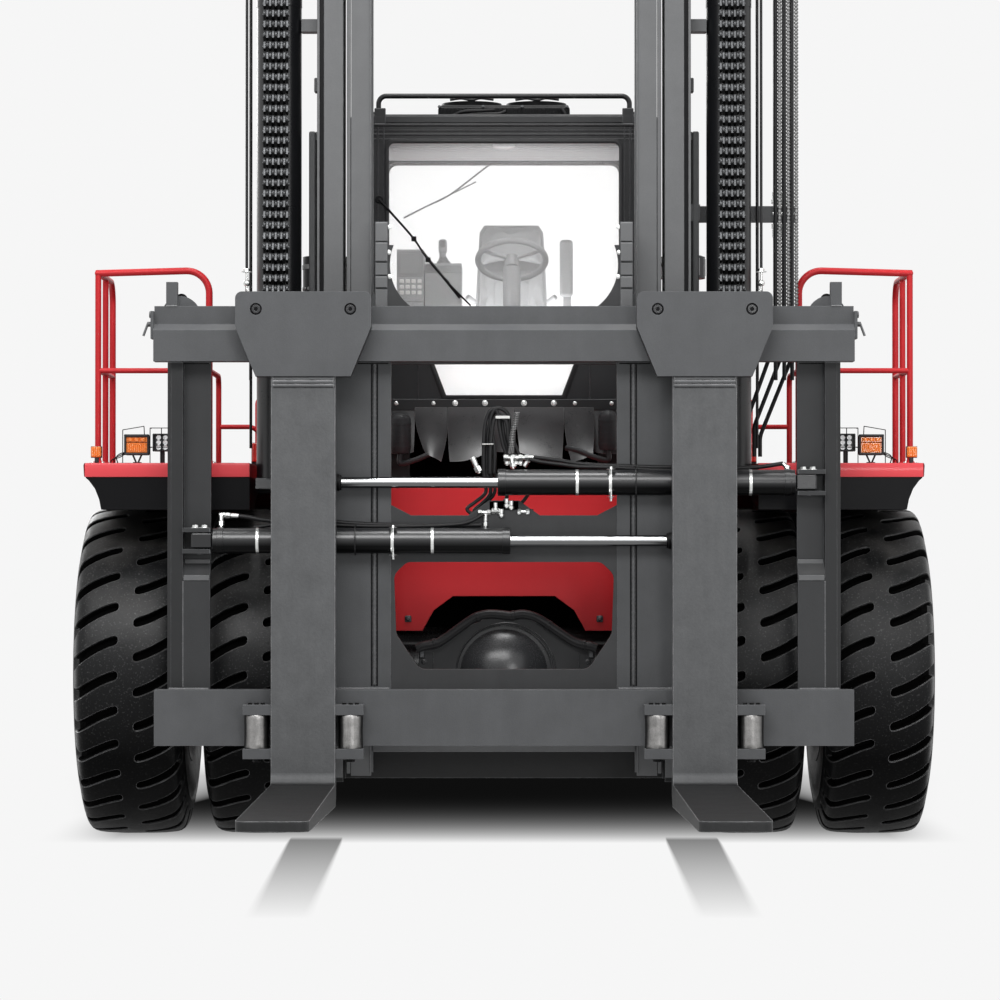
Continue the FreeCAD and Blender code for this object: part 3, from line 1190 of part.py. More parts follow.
SINGLE = {
    "main_frame": frame_and_bay, "drive_axle": axle_and_pins, "steer_axle": steer_axle,
    "engine_block": engine_block, "engine_hood": engine_hood, "counterweight": counterweight,
    "exhaust_stack": exhaust_stack, "air_cleaner": air_cleaner, "lamps": lamps,
    "side_decks": left_and_right_steps, "cab_floor": cab_floor, "cab_shell": cab_shell,
    "cab_roof": roof, "cab_glass": cab_glass, "seat": seat, "controls": controls,
    "roof_cooler": roof_cooler, "front_flaps": front_flaps, "outer_mast": outer_mast,
    "inner_mast": inner_mast, "chain_sheaves": chain_sheaves, "hoses_front": hoses_front,
    "hoses_over": hoses_over, "hoses_rear": hoses_rear, "carriage_frame": carriage_frame,
    "carriage_plates": carriage_plates, "carriage_cross_plate": carriage_cross_plate,
    "positioner_barrels": positioner_barrels,
    "carriage_hoses": hoses_on_carriage, "fork_left_rod": fork_left_rod,
    "fork_right_rod": fork_right_rod,
}
BOTH_SIDES = {
    "fender_decks": fender_deck, "fender_liners": fender_liner, "handrails": handrail,
    "side_tanks": side_tank, "lift_barrels": lift_barrel, "lift_rods": lift_rod,
    "chains_front": chain_front, "chains_over": chain_over, "chains_rear": chain_rear,
}
LEFT_AND_RIGHT = {
    "door": door, "drive_rims": drive_rims, "drive_tyres": drive_tyres, "steer_rim": steer_rim,
    "steer_tyre": steer_tyre, "knuckle": knuckle, "fork": fork, "fork_hanger": fork_hanger,
    "tilt_barrel": tilt_barrel, "tilt_rod": tilt_rod,
}


def main():
    os.makedirs("parts", exist_ok=True)
    for name, make in SINGLE.items():
        save(name, make())
    for name, make in BOTH_SIDES.items():
        save(name, both_sides(make()))
    for name, make in LEFT_AND_RIGHT.items():
        left = make()
        save(name + "_left", left)
        save(name + "_right", mirrored(left))


main()
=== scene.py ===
import math
import random
import bmesh
import bpy
from mathutils import Matrix, Vector


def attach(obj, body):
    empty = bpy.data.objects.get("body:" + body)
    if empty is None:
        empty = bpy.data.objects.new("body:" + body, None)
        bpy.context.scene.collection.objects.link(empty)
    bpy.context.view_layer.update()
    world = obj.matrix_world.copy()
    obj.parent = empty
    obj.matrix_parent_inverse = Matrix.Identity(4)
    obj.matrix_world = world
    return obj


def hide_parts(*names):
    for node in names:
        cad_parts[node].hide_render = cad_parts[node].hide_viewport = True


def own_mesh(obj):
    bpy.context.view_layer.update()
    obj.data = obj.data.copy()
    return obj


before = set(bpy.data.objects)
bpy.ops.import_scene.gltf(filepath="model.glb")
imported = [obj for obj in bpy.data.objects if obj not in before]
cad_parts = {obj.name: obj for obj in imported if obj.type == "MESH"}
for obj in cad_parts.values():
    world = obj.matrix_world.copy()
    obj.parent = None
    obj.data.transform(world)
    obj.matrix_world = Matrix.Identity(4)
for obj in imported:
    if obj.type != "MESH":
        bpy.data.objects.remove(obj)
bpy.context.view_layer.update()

# Looks of a heavy counterbalance forklift, in metres. Every shape is drawn from the drive axle:
# Y = 0 is the axle's centre, Z = 0 the ground. piece() moves it to the frame's own origin.
AXLE_Y = -1.2
REAR_AXLE_Y = 4.75
DECK_Z = 1.8228
TYRE_R = 0.8075
SIDES = (-1, 1)
SIDE_NAMES = {-1: "right", 1: "left"}
random.seed(7)


# ---- shape builders: each gives (points, faces) ---------------------------------------------
def block(x0, x1, y0, y1, z0, z1, edge=0.002):
    """Box with every edge chamfered."""
    low, high = (x0, y0, z0), (x1, y1, z1)
    edge = min([edge] + [0.45 * (h - l) for l, h in zip(low, high)])
    corners = [(a, b, c) for a in (0, 1) for b in (0, 1) for c in (0, 1)]
    points, names = [], {}
    for corner in corners:
        for axis in range(3):
            names[corner, axis] = len(points)
            points.append([(l + edge, h - edge)[s] if n != axis else (l, h)[s]
                           for n, (s, l, h) in enumerate(zip(corner, low, high))])
    faces = [[names[corner, axis] for axis in range(3)] for corner in corners]
    for axis in range(3):
        b, c = [n for n in range(3) if n != axis]
        for s in (0, 1):
            loop = []
            for sb, sc in ((0, 0), (1, 0), (1, 1), (0, 1)):
                corner = [s, s, s]
                corner[b], corner[c] = sb, sc
                loop.append(names[tuple(corner), axis])
            faces.append(loop)
        for sb in (0, 1):
            for sc in (0, 1):
                ends = [[0, 0, 0], [1, 1, 1]]
                for end in ends:
                    end[b], end[c] = sb, sc
                near, far = [tuple(end) for end in ends]
                faces.append([names[near, b], names[far, b], names[far, c], names[near, c]])
    return points, faces


def turned(profile, sides=32, start=0.0, sweep=360.0):
    """Profile is (height, radius) points, turned about +Z. Radius 0 closes an end."""
    whole = abs(sweep - 360.0) < 1e-6
    columns = sides if whole else sides + 1
    points, faces, rings = [], [], []
    for height, radius in profile:
        if radius < 1e-7:
            rings.append([len(points)] * columns)
            points.append((0.0, 0.0, height))
            continue
        ring = []
        for n in range(columns):
            a = math.radians(start + sweep * n / sides)
            ring.append(len(points))
            points.append((radius * math.cos(a), radius * math.sin(a), height))
        rings.append(ring)
    for low, high in zip(rings, rings[1:]):
        for n in range(sides):
            m = (n + 1) % columns if whole else n + 1
            loop = [low[n], low[m], high[m], high[n]]
            loop = [p for k, p in enumerate(loop) if p not in loop[:k]]
            if len(loop) > 2:
                faces.append(loop)
    return points, faces


def place(part, matrix):
    points, faces = part
    flip = matrix.determinant() < 0
    return ([matrix @ Vector(p) for p in points],
            [f[::-1] for f in faces] if flip else faces)


def mirror(part):
    return place(part, Matrix.Diagonal((-1, 1, 1, 1)))


def toward(start, way):
    """Matrix that carries +Z onto a direction and the origin onto start."""
    turn = Vector(way).to_track_quat("Z", "Y").to_matrix().to_4x4()
    return Matrix.Translation(Vector(start)) @ turn


def moved(part, x=0.0, y=0.0, z=0.0):
    return place(part, Matrix.Translation((x, y, z)))


def both(part):
    """A shape and its mirror image."""
    return [part, mirror(part)]


def on_side(side, parts):
    """Shapes drawn for the left, mirrored for the right."""
    return parts if side > 0 else [mirror(part) for part in parts]


def facing_left(part):
    """Turn a shape made facing -Y so that it faces +X, the truck's left."""
    return place(part, Matrix.Rotation(math.pi / 2, 4, "Z"))


def side_block(side, x0, x1, *rest):
    """Block given for the left, on either side."""
    return block(*sorted((side * x0, side * x1)), *rest)


def hoop(z0, z1, inner, outer, sides):
    """Square-edged ring round +Z."""
    return turned([(z0, inner), (z0, outer), (z1, outer), (z1, inner)], sides)


def round_places(count, radius, first=0.0):
    """Angle, x and y of places evenly spaced on a circle."""
    angles = [2 * math.pi * (n + first) / count for n in range(count)]
    return [(a, radius * math.cos(a), radius * math.sin(a)) for a in angles]


def bar(start, end, radius, sides=24, edge=0.0):
    """Round bar between two points, its ends chamfered."""
    way = Vector(end) - Vector(start)
    length = way.length
    profile = [(0, 0), (0, radius - edge), (edge, radius), (length - edge, radius),
               (length, radius - edge), (length, 0)]
    if edge == 0.0:
        profile = [(0, 0), (0, radius), (length, radius), (length, 0)]
    return place(turned(profile, sides), toward(start, way))


def slab(outline, y0, y1, edge=0.002):
    """Plate facing -Y from (x, z) points in order round it, with chamfered rims."""
    count = len(outline)
    area = sum(a[0] * b[1] - b[0] * a[1] for a, b in zip(outline, outline[1:] + outline[:1]))
    if area < 0:
        outline = outline[::-1]
    inset = []
    for n in range(count):
        p = Vector(outline[n])
        a = (Vector(outline[n - 1]) - p).normalized()
        b = (Vector(outline[(n + 1) % count]) - p).normalized()
        half = a.angle(b) / 2
        inward = (a + b).normalized()
        if (a + b).length < 1e-4:
            inward = Vector((-b.y, b.x))
        elif (b.x * a.y - b.y * a.x) < 0:
            inward.negate()
        inset.append(p + inward * edge / max(0.3, math.sin(half)))
    points = []
    for ring, y in ((inset, y0), (outline, y0 + edge), (outline, y1 - edge), (inset, y1)):
        points += [(p[0], y, p[1]) for p in ring]
    faces = [list(range(count)), [3 * count + n for n in reversed(range(count))]]
    for layer in range(3):
        for n in range(count):
            m = (n + 1) % count
            a = layer * count
            faces.append([a + m, a + n, a + count + n, a + count + m])
    return points, faces


def swept(path, radius, sides=12):
    """Tube along a list of points; radius may be a function of the share of the way."""
    path = [Vector(p) for p in path]
    size = radius if callable(radius) else lambda share: radius
    points, faces = [], []
    way = (path[1] - path[0]).normalized()
    side = way.orthogonal().normalized()
    last = len(path) - 1
    for n, p in enumerate(path):
        way = (path[min(n + 1, last)] - path[max(n - 1, 0)]).normalized()
        side = (side - way * side.dot(way)).normalized()
        up = way.cross(side)
        r = size(n / last)
        for k in range(sides):
            a = 2 * math.pi * k / sides
            points.append(p + side * (r * math.cos(a)) + up * (r * math.sin(a)))
    for n in range(last):
        for k in range(sides):
            m = (k + 1) % sides
            a, b = n * sides, (n + 1) * sides
            faces.append([a + k, a + m, b + m, b + k])
    faces.append(list(reversed(range(sides))))
    faces.append([last * sides + k for k in range(sides)])
    return points, faces


def curve_through(knots, steps=10):
    """Smooth line through the knots."""
    knots = [Vector(k) for k in knots]
    ends = [knots[0] * 2 - knots[1]] + knots + [knots[-1] * 2 - knots[-2]]
    path = []
    for a, b, c, d in zip(ends, ends[1:], ends[2:], ends[3:]):
        for n in range(steps):
            t = n / steps
            path.append(0.5 * (2 * b + (c - a) * t + (2 * a - 5 * b + 4 * c - d) * t * t +
                               (3 * b - a - 3 * c + d) * t ** 3))
    return path + [knots[-1]]


def weld(start, end, width, lift=None, seed=1, pitch=0.42, neck=0.80):
    """Bead of overlapping ripples; width is across, lift the way it stands proud, pitch the
    length of half a ripple and neck its narrow part, both in widths."""
    start, end = Vector(start), Vector(end)
    way = (end - start).normalized()
    lift = Vector(lift or (0, -1, 0)).normalized()
    across = way.cross(lift)
    count = max(6, int((end - start).length / (pitch * width)))
    chance = random.Random(seed)
    points, faces = [], []
    ring = 7  # points round half a bead
    for n in range(2 * count + 1):
        p = start.lerp(end, n / (2 * count))
        swell = (1.0 if n % 2 else neck) * chance.uniform(0.92, 1.08)
        if n in (0, 2 * count):
            swell = 0.3
        for k in range(ring):
            a = math.pi * k / (ring - 1)
            points.append(p + across * (math.cos(a) * width / 2 * swell) +
                          lift * (math.sin(a) * width * 0.34 * swell - 0.0005))
    for n in range(2 * count):
        for k in range(ring - 1):
            a, b = n * ring + k, (n + 1) * ring + k
            faces.append([a, a + 1, b + 1, b])
    return points, faces


def hexagon(radius, height, washer=0.0):
    """Bolt head standing on +Z, with its chamfer and washer."""
    base = 0.2 * radius if washer else 0.0
    parts = []
    if washer:
        parts.append(turned([(0, washer), (0.16 * radius, washer), (base, washer * 0.94),
                             (base, 0)], 20))
    parts.append(turned([(base, radius), (base + 0.82 * height, radius),
                         (base + height, radius * 0.84), (base + height, 0)], 6))
    return gathered(parts)


def gathered(parts):
    """Many shapes as one."""
    points, faces = [], []
    for some, loops in parts:
        first = len(points)
        points += list(some)
        faces += [[first + n for n in loop] for loop in loops]
    return points, faces


def rounded_outline(x0, x1, z0, z1, radius, steps=5):
    """Outline of a rectangle with round corners."""
    outline = []
    for cx, cz, first in ((x1 - radius, z1 - radius, 0), (x0 + radius, z1 - radius, 90),
                          (x0 + radius, z0 + radius, 180), (x1 - radius, z0 + radius, 270)):
        for n in range(steps + 1):
            a = math.radians(first + 90 * n / steps)
            outline.append((cx + radius * math.cos(a), cz + radius * math.sin(a)))
    return outline


def piece(name, parts, material, body, sharp=35.0):
    """One object from gathered shapes, riding on a CAD body."""
    points, faces = gathered(parts)
    mesh = bpy.data.meshes.new(name)
    mesh.from_pydata([Vector(p) + Vector((0, AXLE_Y, 0)) for p in points], [], faces)
    mesh.validate()
    turned_out = bmesh.new()
    turned_out.from_mesh(mesh)
    bmesh.ops.recalc_face_normals(turned_out, faces=turned_out.faces)
    turned_out.to_mesh(mesh)
    turned_out.free()
    mesh.shade_smooth()
    mesh.set_sharp_from_angle(angle=math.radians(sharp))
    mesh.materials.append(material)
    made = bpy.data.objects.new(name, mesh)
    bpy.context.scene.collection.objects.link(made)
    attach(made, body)
    return made


# ---- shader building ------------------------------------------------------------------------
def add_node(tree, kind, values=(), **settings):
    """Node with its settings, each input linked from a socket or set to a value."""
    node = tree.nodes.new(kind)
    for key, value in settings.items():
        setattr(node, key, value)
    for key, value in dict(values).items():
        if isinstance(value, bpy.types.NodeSocket):
            tree.links.new(value, node.inputs[key])
        else:
            node.inputs[key].default_value = value
    return node


def math_node(tree, operation, a, b=0.5, clamp=False):
    return add_node(tree, "ShaderNodeMath", {0: a, 1: b}, operation=operation,
                    use_clamp=clamp).outputs[0]


def times(tree, a, b, clamp=False):
    return math_node(tree, "MULTIPLY", a, b, clamp)


def plus(tree, a, b, clamp=False):
    return math_node(tree, "ADD", a, b, clamp)


def mix_colours(tree, share, a, b):
    """From colour a to colour b; the numbers are the Mix node's colour sockets."""
    return add_node(tree, "ShaderNodeMix", {0: share, 6: a, 7: b}, data_type="RGBA").outputs[2]


def toned(tree, colour, shade):
    """Colour made lighter or darker by a factor."""
    return add_node(tree, "ShaderNodeVectorMath", {0: colour, "Scale": shade},
                    operation="SCALE").outputs[0]


def noise(tree, where, scale, detail, roughness=0.5):
    return add_node(tree, "ShaderNodeTexNoise", {"Vector": where, "Scale": scale,
                    "Detail": detail, "Roughness": roughness}).outputs[0]


def upward(tree):
    """How far a face looks up, from -1 to 1."""
    normal = add_node(tree, "ShaderNodeNewGeometry").outputs["Normal"]
    return add_node(tree, "ShaderNodeSeparateXYZ", {0: normal}).outputs[2]


def raise_relief(tree, shader, height, distance, strength, **more):
    """Bump on the shader's normal."""
    bump = add_node(tree, "ShaderNodeBump", {"Height": height, "Distance": distance,
                    "Strength": strength, **more})
    tree.links.new(bump.outputs[0], shader.inputs["Normal"])


def spread(tree, value, low, high, to_low=0.0, to_high=1.0):
    """Map a value's range onto another, clamped."""
    return add_node(tree, "ShaderNodeMapRange", {"Value": value, "From Min": low,
                    "From Max": high, "To Min": to_low, "To Max": to_high}).outputs[0]


def new_group(name, inputs, outputs):
    """Shader group with named inputs [(name, kind, default)] and outputs [(name, kind)]."""
    group = bpy.data.node_groups.new(name, "ShaderNodeTree")
    for label, kind, default in inputs:
        socket = group.interface.new_socket(name=label, in_out="INPUT",
                                            socket_type="NodeSocket" + kind)
        socket.default_value = default
    for label, kind in outputs:
        group.interface.new_socket(name=label, in_out="OUTPUT", socket_type="NodeSocket" + kind)
    return (group, group.nodes.new("NodeGroupInput").outputs,
            group.nodes.new("NodeGroupOutput").inputs)


def object_place(tree, stretch=(1, 1, 1)):
    """Position on the object, scaled."""
    where = add_node(tree, "ShaderNodeTexCoord").outputs["Object"]
    return add_node(tree, "ShaderNodeMapping", {"Vector": where, "Scale": stretch}).outputs[0]


def make_mottle_group():
    """Uneven tone of painted rolled steel, and the small relief that goes with it."""
    group, given, made = new_group("mottle", [("Size", "Float", 14.0), ("Grain", "Float", 220.0),
                                              ("Contrast", "Float", 0.2)],
                                   [("Tone", "Float"), ("Height", "Float")])
    where = object_place(group)
    broad = noise(group, where, given["Size"], 5.0, 0.6)
    fine = noise(group, where, given["Grain"], 3.0, 0.65)
    streak = noise(group, object_place(group, (3.0, 3.0, 0.35)), given["Size"], 3.0)
    uneven = plus(group, times(group, broad, 0.5), times(group, fine, 0.3))
    uneven = plus(group, uneven, times(group, streak, 0.2))
    swing = times(group, math_node(group, "SUBTRACT", uneven, 0.5),
                  times(group, given["Contrast"], 4.0))
    group.links.new(plus(group, swing, 1.0), made["Tone"])
    height = plus(group, times(group, fine, 0.6), times(group, broad, 0.4))
    group.links.new(height, made["Height"])
    return group


def make_edge_group():
    """Mask of outer corners within a width, broken up by noise, and a softened normal; the mask
    lightens corners for edge wear and a painted highlight.
    """
    group, given, made = new_group("edge_wear_and_highlight", [("Width", "Float", 0.006),
                                                 ("Amount", "Float", 0.7)],
                                   [("Mask", "Float"), ("Normal", "Vector")])
    soft = add_node(group, "ShaderNodeBevel", {"Radius": given["Width"]}, samples=4).outputs[0]
    plain = add_node(group, "ShaderNodeNewGeometry").outputs["Normal"]
    agree = add_node(group, "ShaderNodeVectorMath", {0: soft, 1: plain},
                     operation="DOT_PRODUCT").outputs["Value"]
    off = spread(group, agree, 0.995, 0.86)
    patch = noise(group, object_place(group), 24.0, 4.0)
    mask = times(group, off, spread(group, patch, 0.35, 0.65, 0.35, 1.0))
    group.links.new(times(group, mask, given["Amount"], clamp=True), made["Mask"])
    group.links.new(soft, made["Normal"])
    return group


def make_dust_group():
    """Light dust that settles on faces turned upward and gathers in patches."""
    group, given, made = new_group("settled_dust", [("Amount", "Float", 0.2)],
                                   [("Mask", "Float")])
    up = spread(group, upward(group), 0.1, 0.95)
    patch = noise(group, object_place(group), 5.0, 6.0)
    mask = times(group, up, spread(group, patch, 0.35, 0.7))
    group.links.new(times(group, mask, given["Amount"]), made["Mask"])
    return group


def make_underside_shade_group():
    """Painted shade on faces turned downward."""
    group, given, made = new_group("painted_underside_shade", [("Amount", "Float", 0.9),
                                                       ("Start", "Float", 0.02),
                                                       ("End", "Float", -0.22)],
                                   [("Mask", "Float")])
    down = spread(group, upward(group), given["Start"], given["End"])
    group.links.new(times(group, down, given["Amount"]), made["Mask"])
    return group


GROUPS = {"mottle": make_mottle_group(), "edge_wear_and_highlight": make_edge_group(),
          "settled_dust": make_dust_group(), "painted_underside_shade": make_underside_shade_group()}


def use_group(tree, name, **values):
    node = tree.nodes.new("ShaderNodeGroup")
    node.node_tree = GROUPS[name]
    for key, value in values.items():
        node.inputs[key.capitalize()].default_value = value
    return node.outputs


def new_material(name, **plain):
    """Empty material with its shader's plain values, e.g. Roughness or Metallic."""
    made = bpy.data.materials.new(name)
    made.use_nodes = True
    shader = made.node_tree.nodes["Principled BSDF"]
    for key, value in plain.items():
        shader.inputs[key.replace("_", " ")].default_value = value
    made.diffuse_color = (*plain.get("Base_Color", (0.5, 0.5, 0.5))[:3], 1.0)
    return made, made.node_tree, shader


def rgba(colour):
    return (*colour, 1.0)


def painted(name, colour, roughness=0.42, contrast=0.10, size=6.0, grain=160.0, relief=0.15,
            edge=0.35, edge_width=0.005, dust=0.12, coat=0.0, gloss=0.30, edge_colour=None,
            dust_colour=(0.30, 0.29, 0.27), top=1.0, downward_shade=1.0, foot_shade=None, post_shade=None):
    """Paint or scale over steel: uneven tone, fine relief, lighter corners for edge wear and painted
    highlight, settled dust. top and downward_shade scale the tone of faces turned up and down as
    painted shade, foot_shade is (z, z, tone) of painted shade near the ground and post_shade the
    painted-shade tone of the carriage's outer uprights."""
    made, tree, shader = new_material(name, Specular_IOR_Level=gloss)
    if coat:
        shader.inputs["Coat Weight"].default_value = coat
        shader.inputs["Coat Roughness"].default_value = 0.08
    tone = use_group(tree, "mottle", size=size, grain=grain, contrast=contrast)
    wear = use_group(tree, "edge_wear_and_highlight", width=edge_width, amount=edge)
    settled = use_group(tree, "settled_dust", amount=dust)
    lighter = edge_colour or tuple(min(0.9, 0.06 + 1.9 * c) for c in colour)
    shade = tone["Tone"]
    # painted shade: tone and gloss lowered on faces turned down, tone scaled by top on faces turned up
    if top != 1.0 or downward_shade != 1.0:
        facing = upward(tree)
        low = spread(tree, facing, -0.45, 0.25, downward_shade, 1.0)
        shade = times(tree, shade, times(tree, low, spread(tree, facing, 0.75, 0.97, 1.0, top)))
        tree.links.new(times(tree, low, gloss),
                       shader.inputs["Specular IOR Level"])
    if foot_shade or post_shade:
        where = object_place(tree) if post_shade else add_node(
            tree, "ShaderNodeNewGeometry").outputs["Position"]
        aside, _, height = add_node(tree, "ShaderNodeSeparateXYZ", {0: where}).outputs
        # painted shade, darker towards the ground
        if foot_shade:
            shade = times(tree, shade, spread(tree, height, *foot_shade, 1.0))
        else:
            # painted shade on the carriage's outer uprights' faces between the bars and on their plates,
            # by their place on the carriage
            aside = math_node(tree, "ABSOLUTE", aside)
            inside = times(tree, spread(tree, aside, 1.384, 1.386),
                               times(tree, spread(tree, height, 0.752, 0.756),
                                         spread(tree, height, 2.290, 2.286)))
            plate = spread(tree, aside, 1.511, 1.513, post_shade, post_shade * 0.62)
            shade = times(tree, shade, add_node(
                tree, "ShaderNodeMix", {0: inside, 2: 1.0, 3: plate}, data_type="FLOAT").outputs[0])
    base = mix_colours(tree, wear["Mask"], toned(tree, colour, shade), rgba(lighter))
    base = mix_colours(tree, settled["Mask"], base, rgba(dust_colour))
    tree.links.new(base, shader.inputs["Base Color"])
    rough = plus(tree, times(tree, tone["Height"], 0.2), roughness - 0.1)
    rough = plus(tree, rough, times(tree, settled["Mask"], 0.5), clamp=True)
    tree.links.new(rough, shader.inputs["Roughness"])
    raise_relief(tree, shader, tone["Height"], 0.002, relief, Normal=wear["Normal"])
    return made


def bare_metal(name, colour, roughness=0.25, streaks=(1, 1, 60), contrast=0.12, relief=0.06,
               edge=0.3, rim=None, underside_shade=0.0, start=0.02, end=-0.22):
    """Ground or plated steel with fine drawn lines; rim is the painted-reflection tone where it turns
    away, underside_shade the share of painted shade on faces turned down, between start and end."""
    made, tree, shader = new_material(name, Metallic=1.0)
    lines = noise(tree, object_place(tree, streaks), 14.0, 4.0)
    tone = use_group(tree, "mottle", size=18.0, grain=260.0, contrast=contrast)
    wear = use_group(tree, "edge_wear_and_highlight", width=0.003, amount=edge)
    base = mix_colours(tree, wear["Mask"], toned(tree, colour, tone["Tone"]),
                       rgba(tuple(min(1, 1.4 * c) for c in colour)))
    # painted shade on faces turned down
    if underside_shade:
        down_shade = use_group(tree, "painted_underside_shade", amount=underside_shade, start=start, end=end)
        base = mix_colours(tree, down_shade["Mask"], base, (0.004, 0.004, 0.004, 1))
    # painted reflection: darker where the surface turns away from the view
    if rim:
        away = add_node(tree, "ShaderNodeLayerWeight", {"Blend": 0.5}).outputs["Facing"]
        base = mix_colours(tree, spread(tree, away, 0.18, 0.62), base, rgba(rim))
    tree.links.new(base, shader.inputs["Base Color"])
    tree.links.new(spread(tree, lines, 0.3, 0.7, roughness * 0.7, roughness * 1.4),
                   shader.inputs["Roughness"])
    raise_relief(tree, shader, lines, 0.001, relief, Normal=wear["Normal"])
    return made


def rubber(name, colour, roughness=0.6, grain=300.0, speckle=0.10, relief=0.3, dust=0.1,
           shine=0.22, edge=0.0, downward_shade=1.0):
    """Moulded rubber: fine pitting, pale bloom, settled dust and, if asked, corners lightened as painted
    highlight; downward_shade scales the tone and the shine of faces turned down as painted shade."""
    made, tree, shader = new_material(name, Specular_IOR_Level=shine)
    tone = use_group(tree, "mottle", size=10.0, grain=grain, contrast=0.18)
    shade = tone["Tone"]
    settled = use_group(tree, "settled_dust", amount=dust)
    spots = spread(tree, noise(tree, object_place(tree), grain * 0.6, 2.0), 0.60, 0.72, 0.0,
                   speckle)
    # painted shade on faces turned down
    if downward_shade != 1.0:
        low = spread(tree, upward(tree), -0.50, 0.25, downward_shade, 1.0)
        shade = times(tree, shade, low)
        spots = times(tree, spots, low)
        tree.links.new(times(tree, low, shine), shader.inputs["Specular IOR Level"])
    base = mix_colours(tree, spots, toned(tree, colour, shade), (0.32, 0.32, 0.32, 1))
    # painted highlight: lighter corners
    if edge:
        wear = use_group(tree, "edge_wear_and_highlight", width=0.005, amount=edge)
        base = mix_colours(tree, wear["Mask"], base, (0.26, 0.26, 0.265, 1))
    base = mix_colours(tree, settled["Mask"], base, (0.22, 0.21, 0.20, 1))
    tree.links.new(base, shader.inputs["Base Color"])
    tree.links.new(spread(tree, tone["Height"], 0.3, 0.7, roughness - 0.12, roughness + 0.12),
                   shader.inputs["Roughness"])
    raise_relief(tree, shader, tone["Height"], 0.002, relief)
    return made


# ---- finishes -------------------------------------------------------------------------------
MAST_GREY = dict(colour=(0.158, 0.161, 0.165), roughness=0.48, contrast=0.16, relief=0.45,
                 downward_shade=0.35, edge=0.45)
mast_paint = painted("mast_paint", **MAST_GREY)
# foot_shade darkens the outer mast's foot: painted shade
outer_mast_paint = painted("outer_mast_paint", **MAST_GREY, foot_shade=(0.46, 0.62, 0.10))
# carriage, plate and cross-plate greys are darker copies of the mast grey: painted shade
carriage_paint = painted("carriage_paint", (0.108, 0.111, 0.116), roughness=0.48, contrast=0.18,
                         relief=0.5, downward_shade=0.3, edge=0.5, post_shade=0.42)
plate_paint = painted("carriage_plate_paint", (0.096, 0.099, 0.103), roughness=0.48,
                      contrast=0.22, relief=0.6, downward_shade=0.3, edge=0.5)
cross_paint = painted("cross_plate_paint", (0.050, 0.051, 0.053), roughness=0.5, contrast=0.25,
                      relief=0.5, downward_shade=0.3, edge=0.6, edge_colour=(0.16, 0.16, 0.165))
# the beads' bright ripple edges are painted highlight and their undersides painted shade
bead_paint = painted("weld_bead_paint", (0.13, 0.133, 0.137), roughness=0.36, contrast=0.5,
                     size=60.0, relief=0.6, edge=0.9, edge_width=0.004,
                     edge_colour=(0.42, 0.42, 0.43), gloss=0.5, downward_shade=0.05)
# painted shade: top darkens the blades' upper faces and foot_shade their tips; pale corners are painted
# highlight
forged_paint = painted("forged_fork_paint", (0.124, 0.127, 0.131), roughness=0.50, contrast=0.26,
                       size=9.0, grain=90.0, relief=1.0, dust=0.05, top=0.07, downward_shade=0.3,
                       edge=0.9, edge_width=0.006, edge_colour=(0.50, 0.50, 0.51),
                       foot_shade=(0.30, 0.36, 0.22),
                       dust_colour=(0.030, 0.030, 0.031))
red_paint = painted("red_paint", (0.62, 0.024, 0.030), roughness=0.40, contrast=0.07, relief=0.10, coat=0.06,
                    edge=0.3, dust=0.05, edge_colour=(0.80, 0.14, 0.12), gloss=0.22, downward_shade=0.6)
black_paint = painted("black_paint", (0.006, 0.006, 0.007), roughness=0.38, contrast=0.12, relief=0.15,
                      edge=0.25, gloss=0.12, edge_colour=(0.10, 0.10, 0.10), downward_shade=0.3)
axle_paint = painted("axle_paint", (0.028, 0.029, 0.031), roughness=0.26, contrast=0.25,
                     relief=0.25, edge=0.5, gloss=0.6, edge_colour=(0.20, 0.20, 0.21), downward_shade=0.4)
barrel_black = painted("barrel_gloss_black", (0.008, 0.0085, 0.010), roughness=0.30,
                       contrast=0.10, relief=0.04, edge=0.2, dust=0.03, gloss=0.75,
                       edge_colour=(0.12, 0.12, 0.13), downward_shade=0.12)
cab_paint = painted("cab_black_paint", (0.021, 0.0215, 0.023), roughness=0.36, contrast=0.08,
                    gloss=0.3, edge=0.6, edge_colour=(0.16, 0.16, 0.17), downward_shade=0.4)
engine_paint = painted("engine_cast_iron", (0.07, 0.07, 0.07), roughness=0.6, contrast=0.25,
                       relief=0.6, dust=0.3)
rim_paint = painted("rim_cream_paint", (0.62, 0.61, 0.57), roughness=0.35, contrast=0.06,
                    dust=0.25, edge_colour=(0.75, 0.74, 0.7))
# rim and underside_shade paint reflection and shade into these metals
chrome = bare_metal("hard_chrome", (0.72, 0.73, 0.74), roughness=0.10, contrast=0.03,
                    relief=0.02, rim=(0.05, 0.055, 0.06), underside_shade=0.80,
                    start=0.12, end=-0.12)
ground_steel = bare_metal("ground_roller_steel", (0.27, 0.265, 0.26), roughness=0.36,
                          streaks=(30, 30, 1), contrast=0.7, relief=0.35, rim=(0.02, 0.02, 0.02))
zinc = bare_metal("zinc_plate", (0.72, 0.73, 0.72), roughness=0.28, contrast=0.12)
chain_steel = bare_metal("oiled_chain_steel", (0.115, 0.118, 0.122), roughness=0.52,
                         contrast=0.3, edge=0.5, underside_shade=0.97)
guard_steel = bare_metal("hose_guard_steel", (0.20, 0.20, 0.20), roughness=0.40, contrast=0.5,
                         rim=(0.01, 0.01, 0.01))
tyre_rubber = rubber("tyre_rubber", (0.0060, 0.0064, 0.0070), roughness=0.38, speckle=0.17,
                     shine=0.26, edge=0.7, relief=0.8, grain=190.0, dust=0.25,
                     downward_shade=0.15)
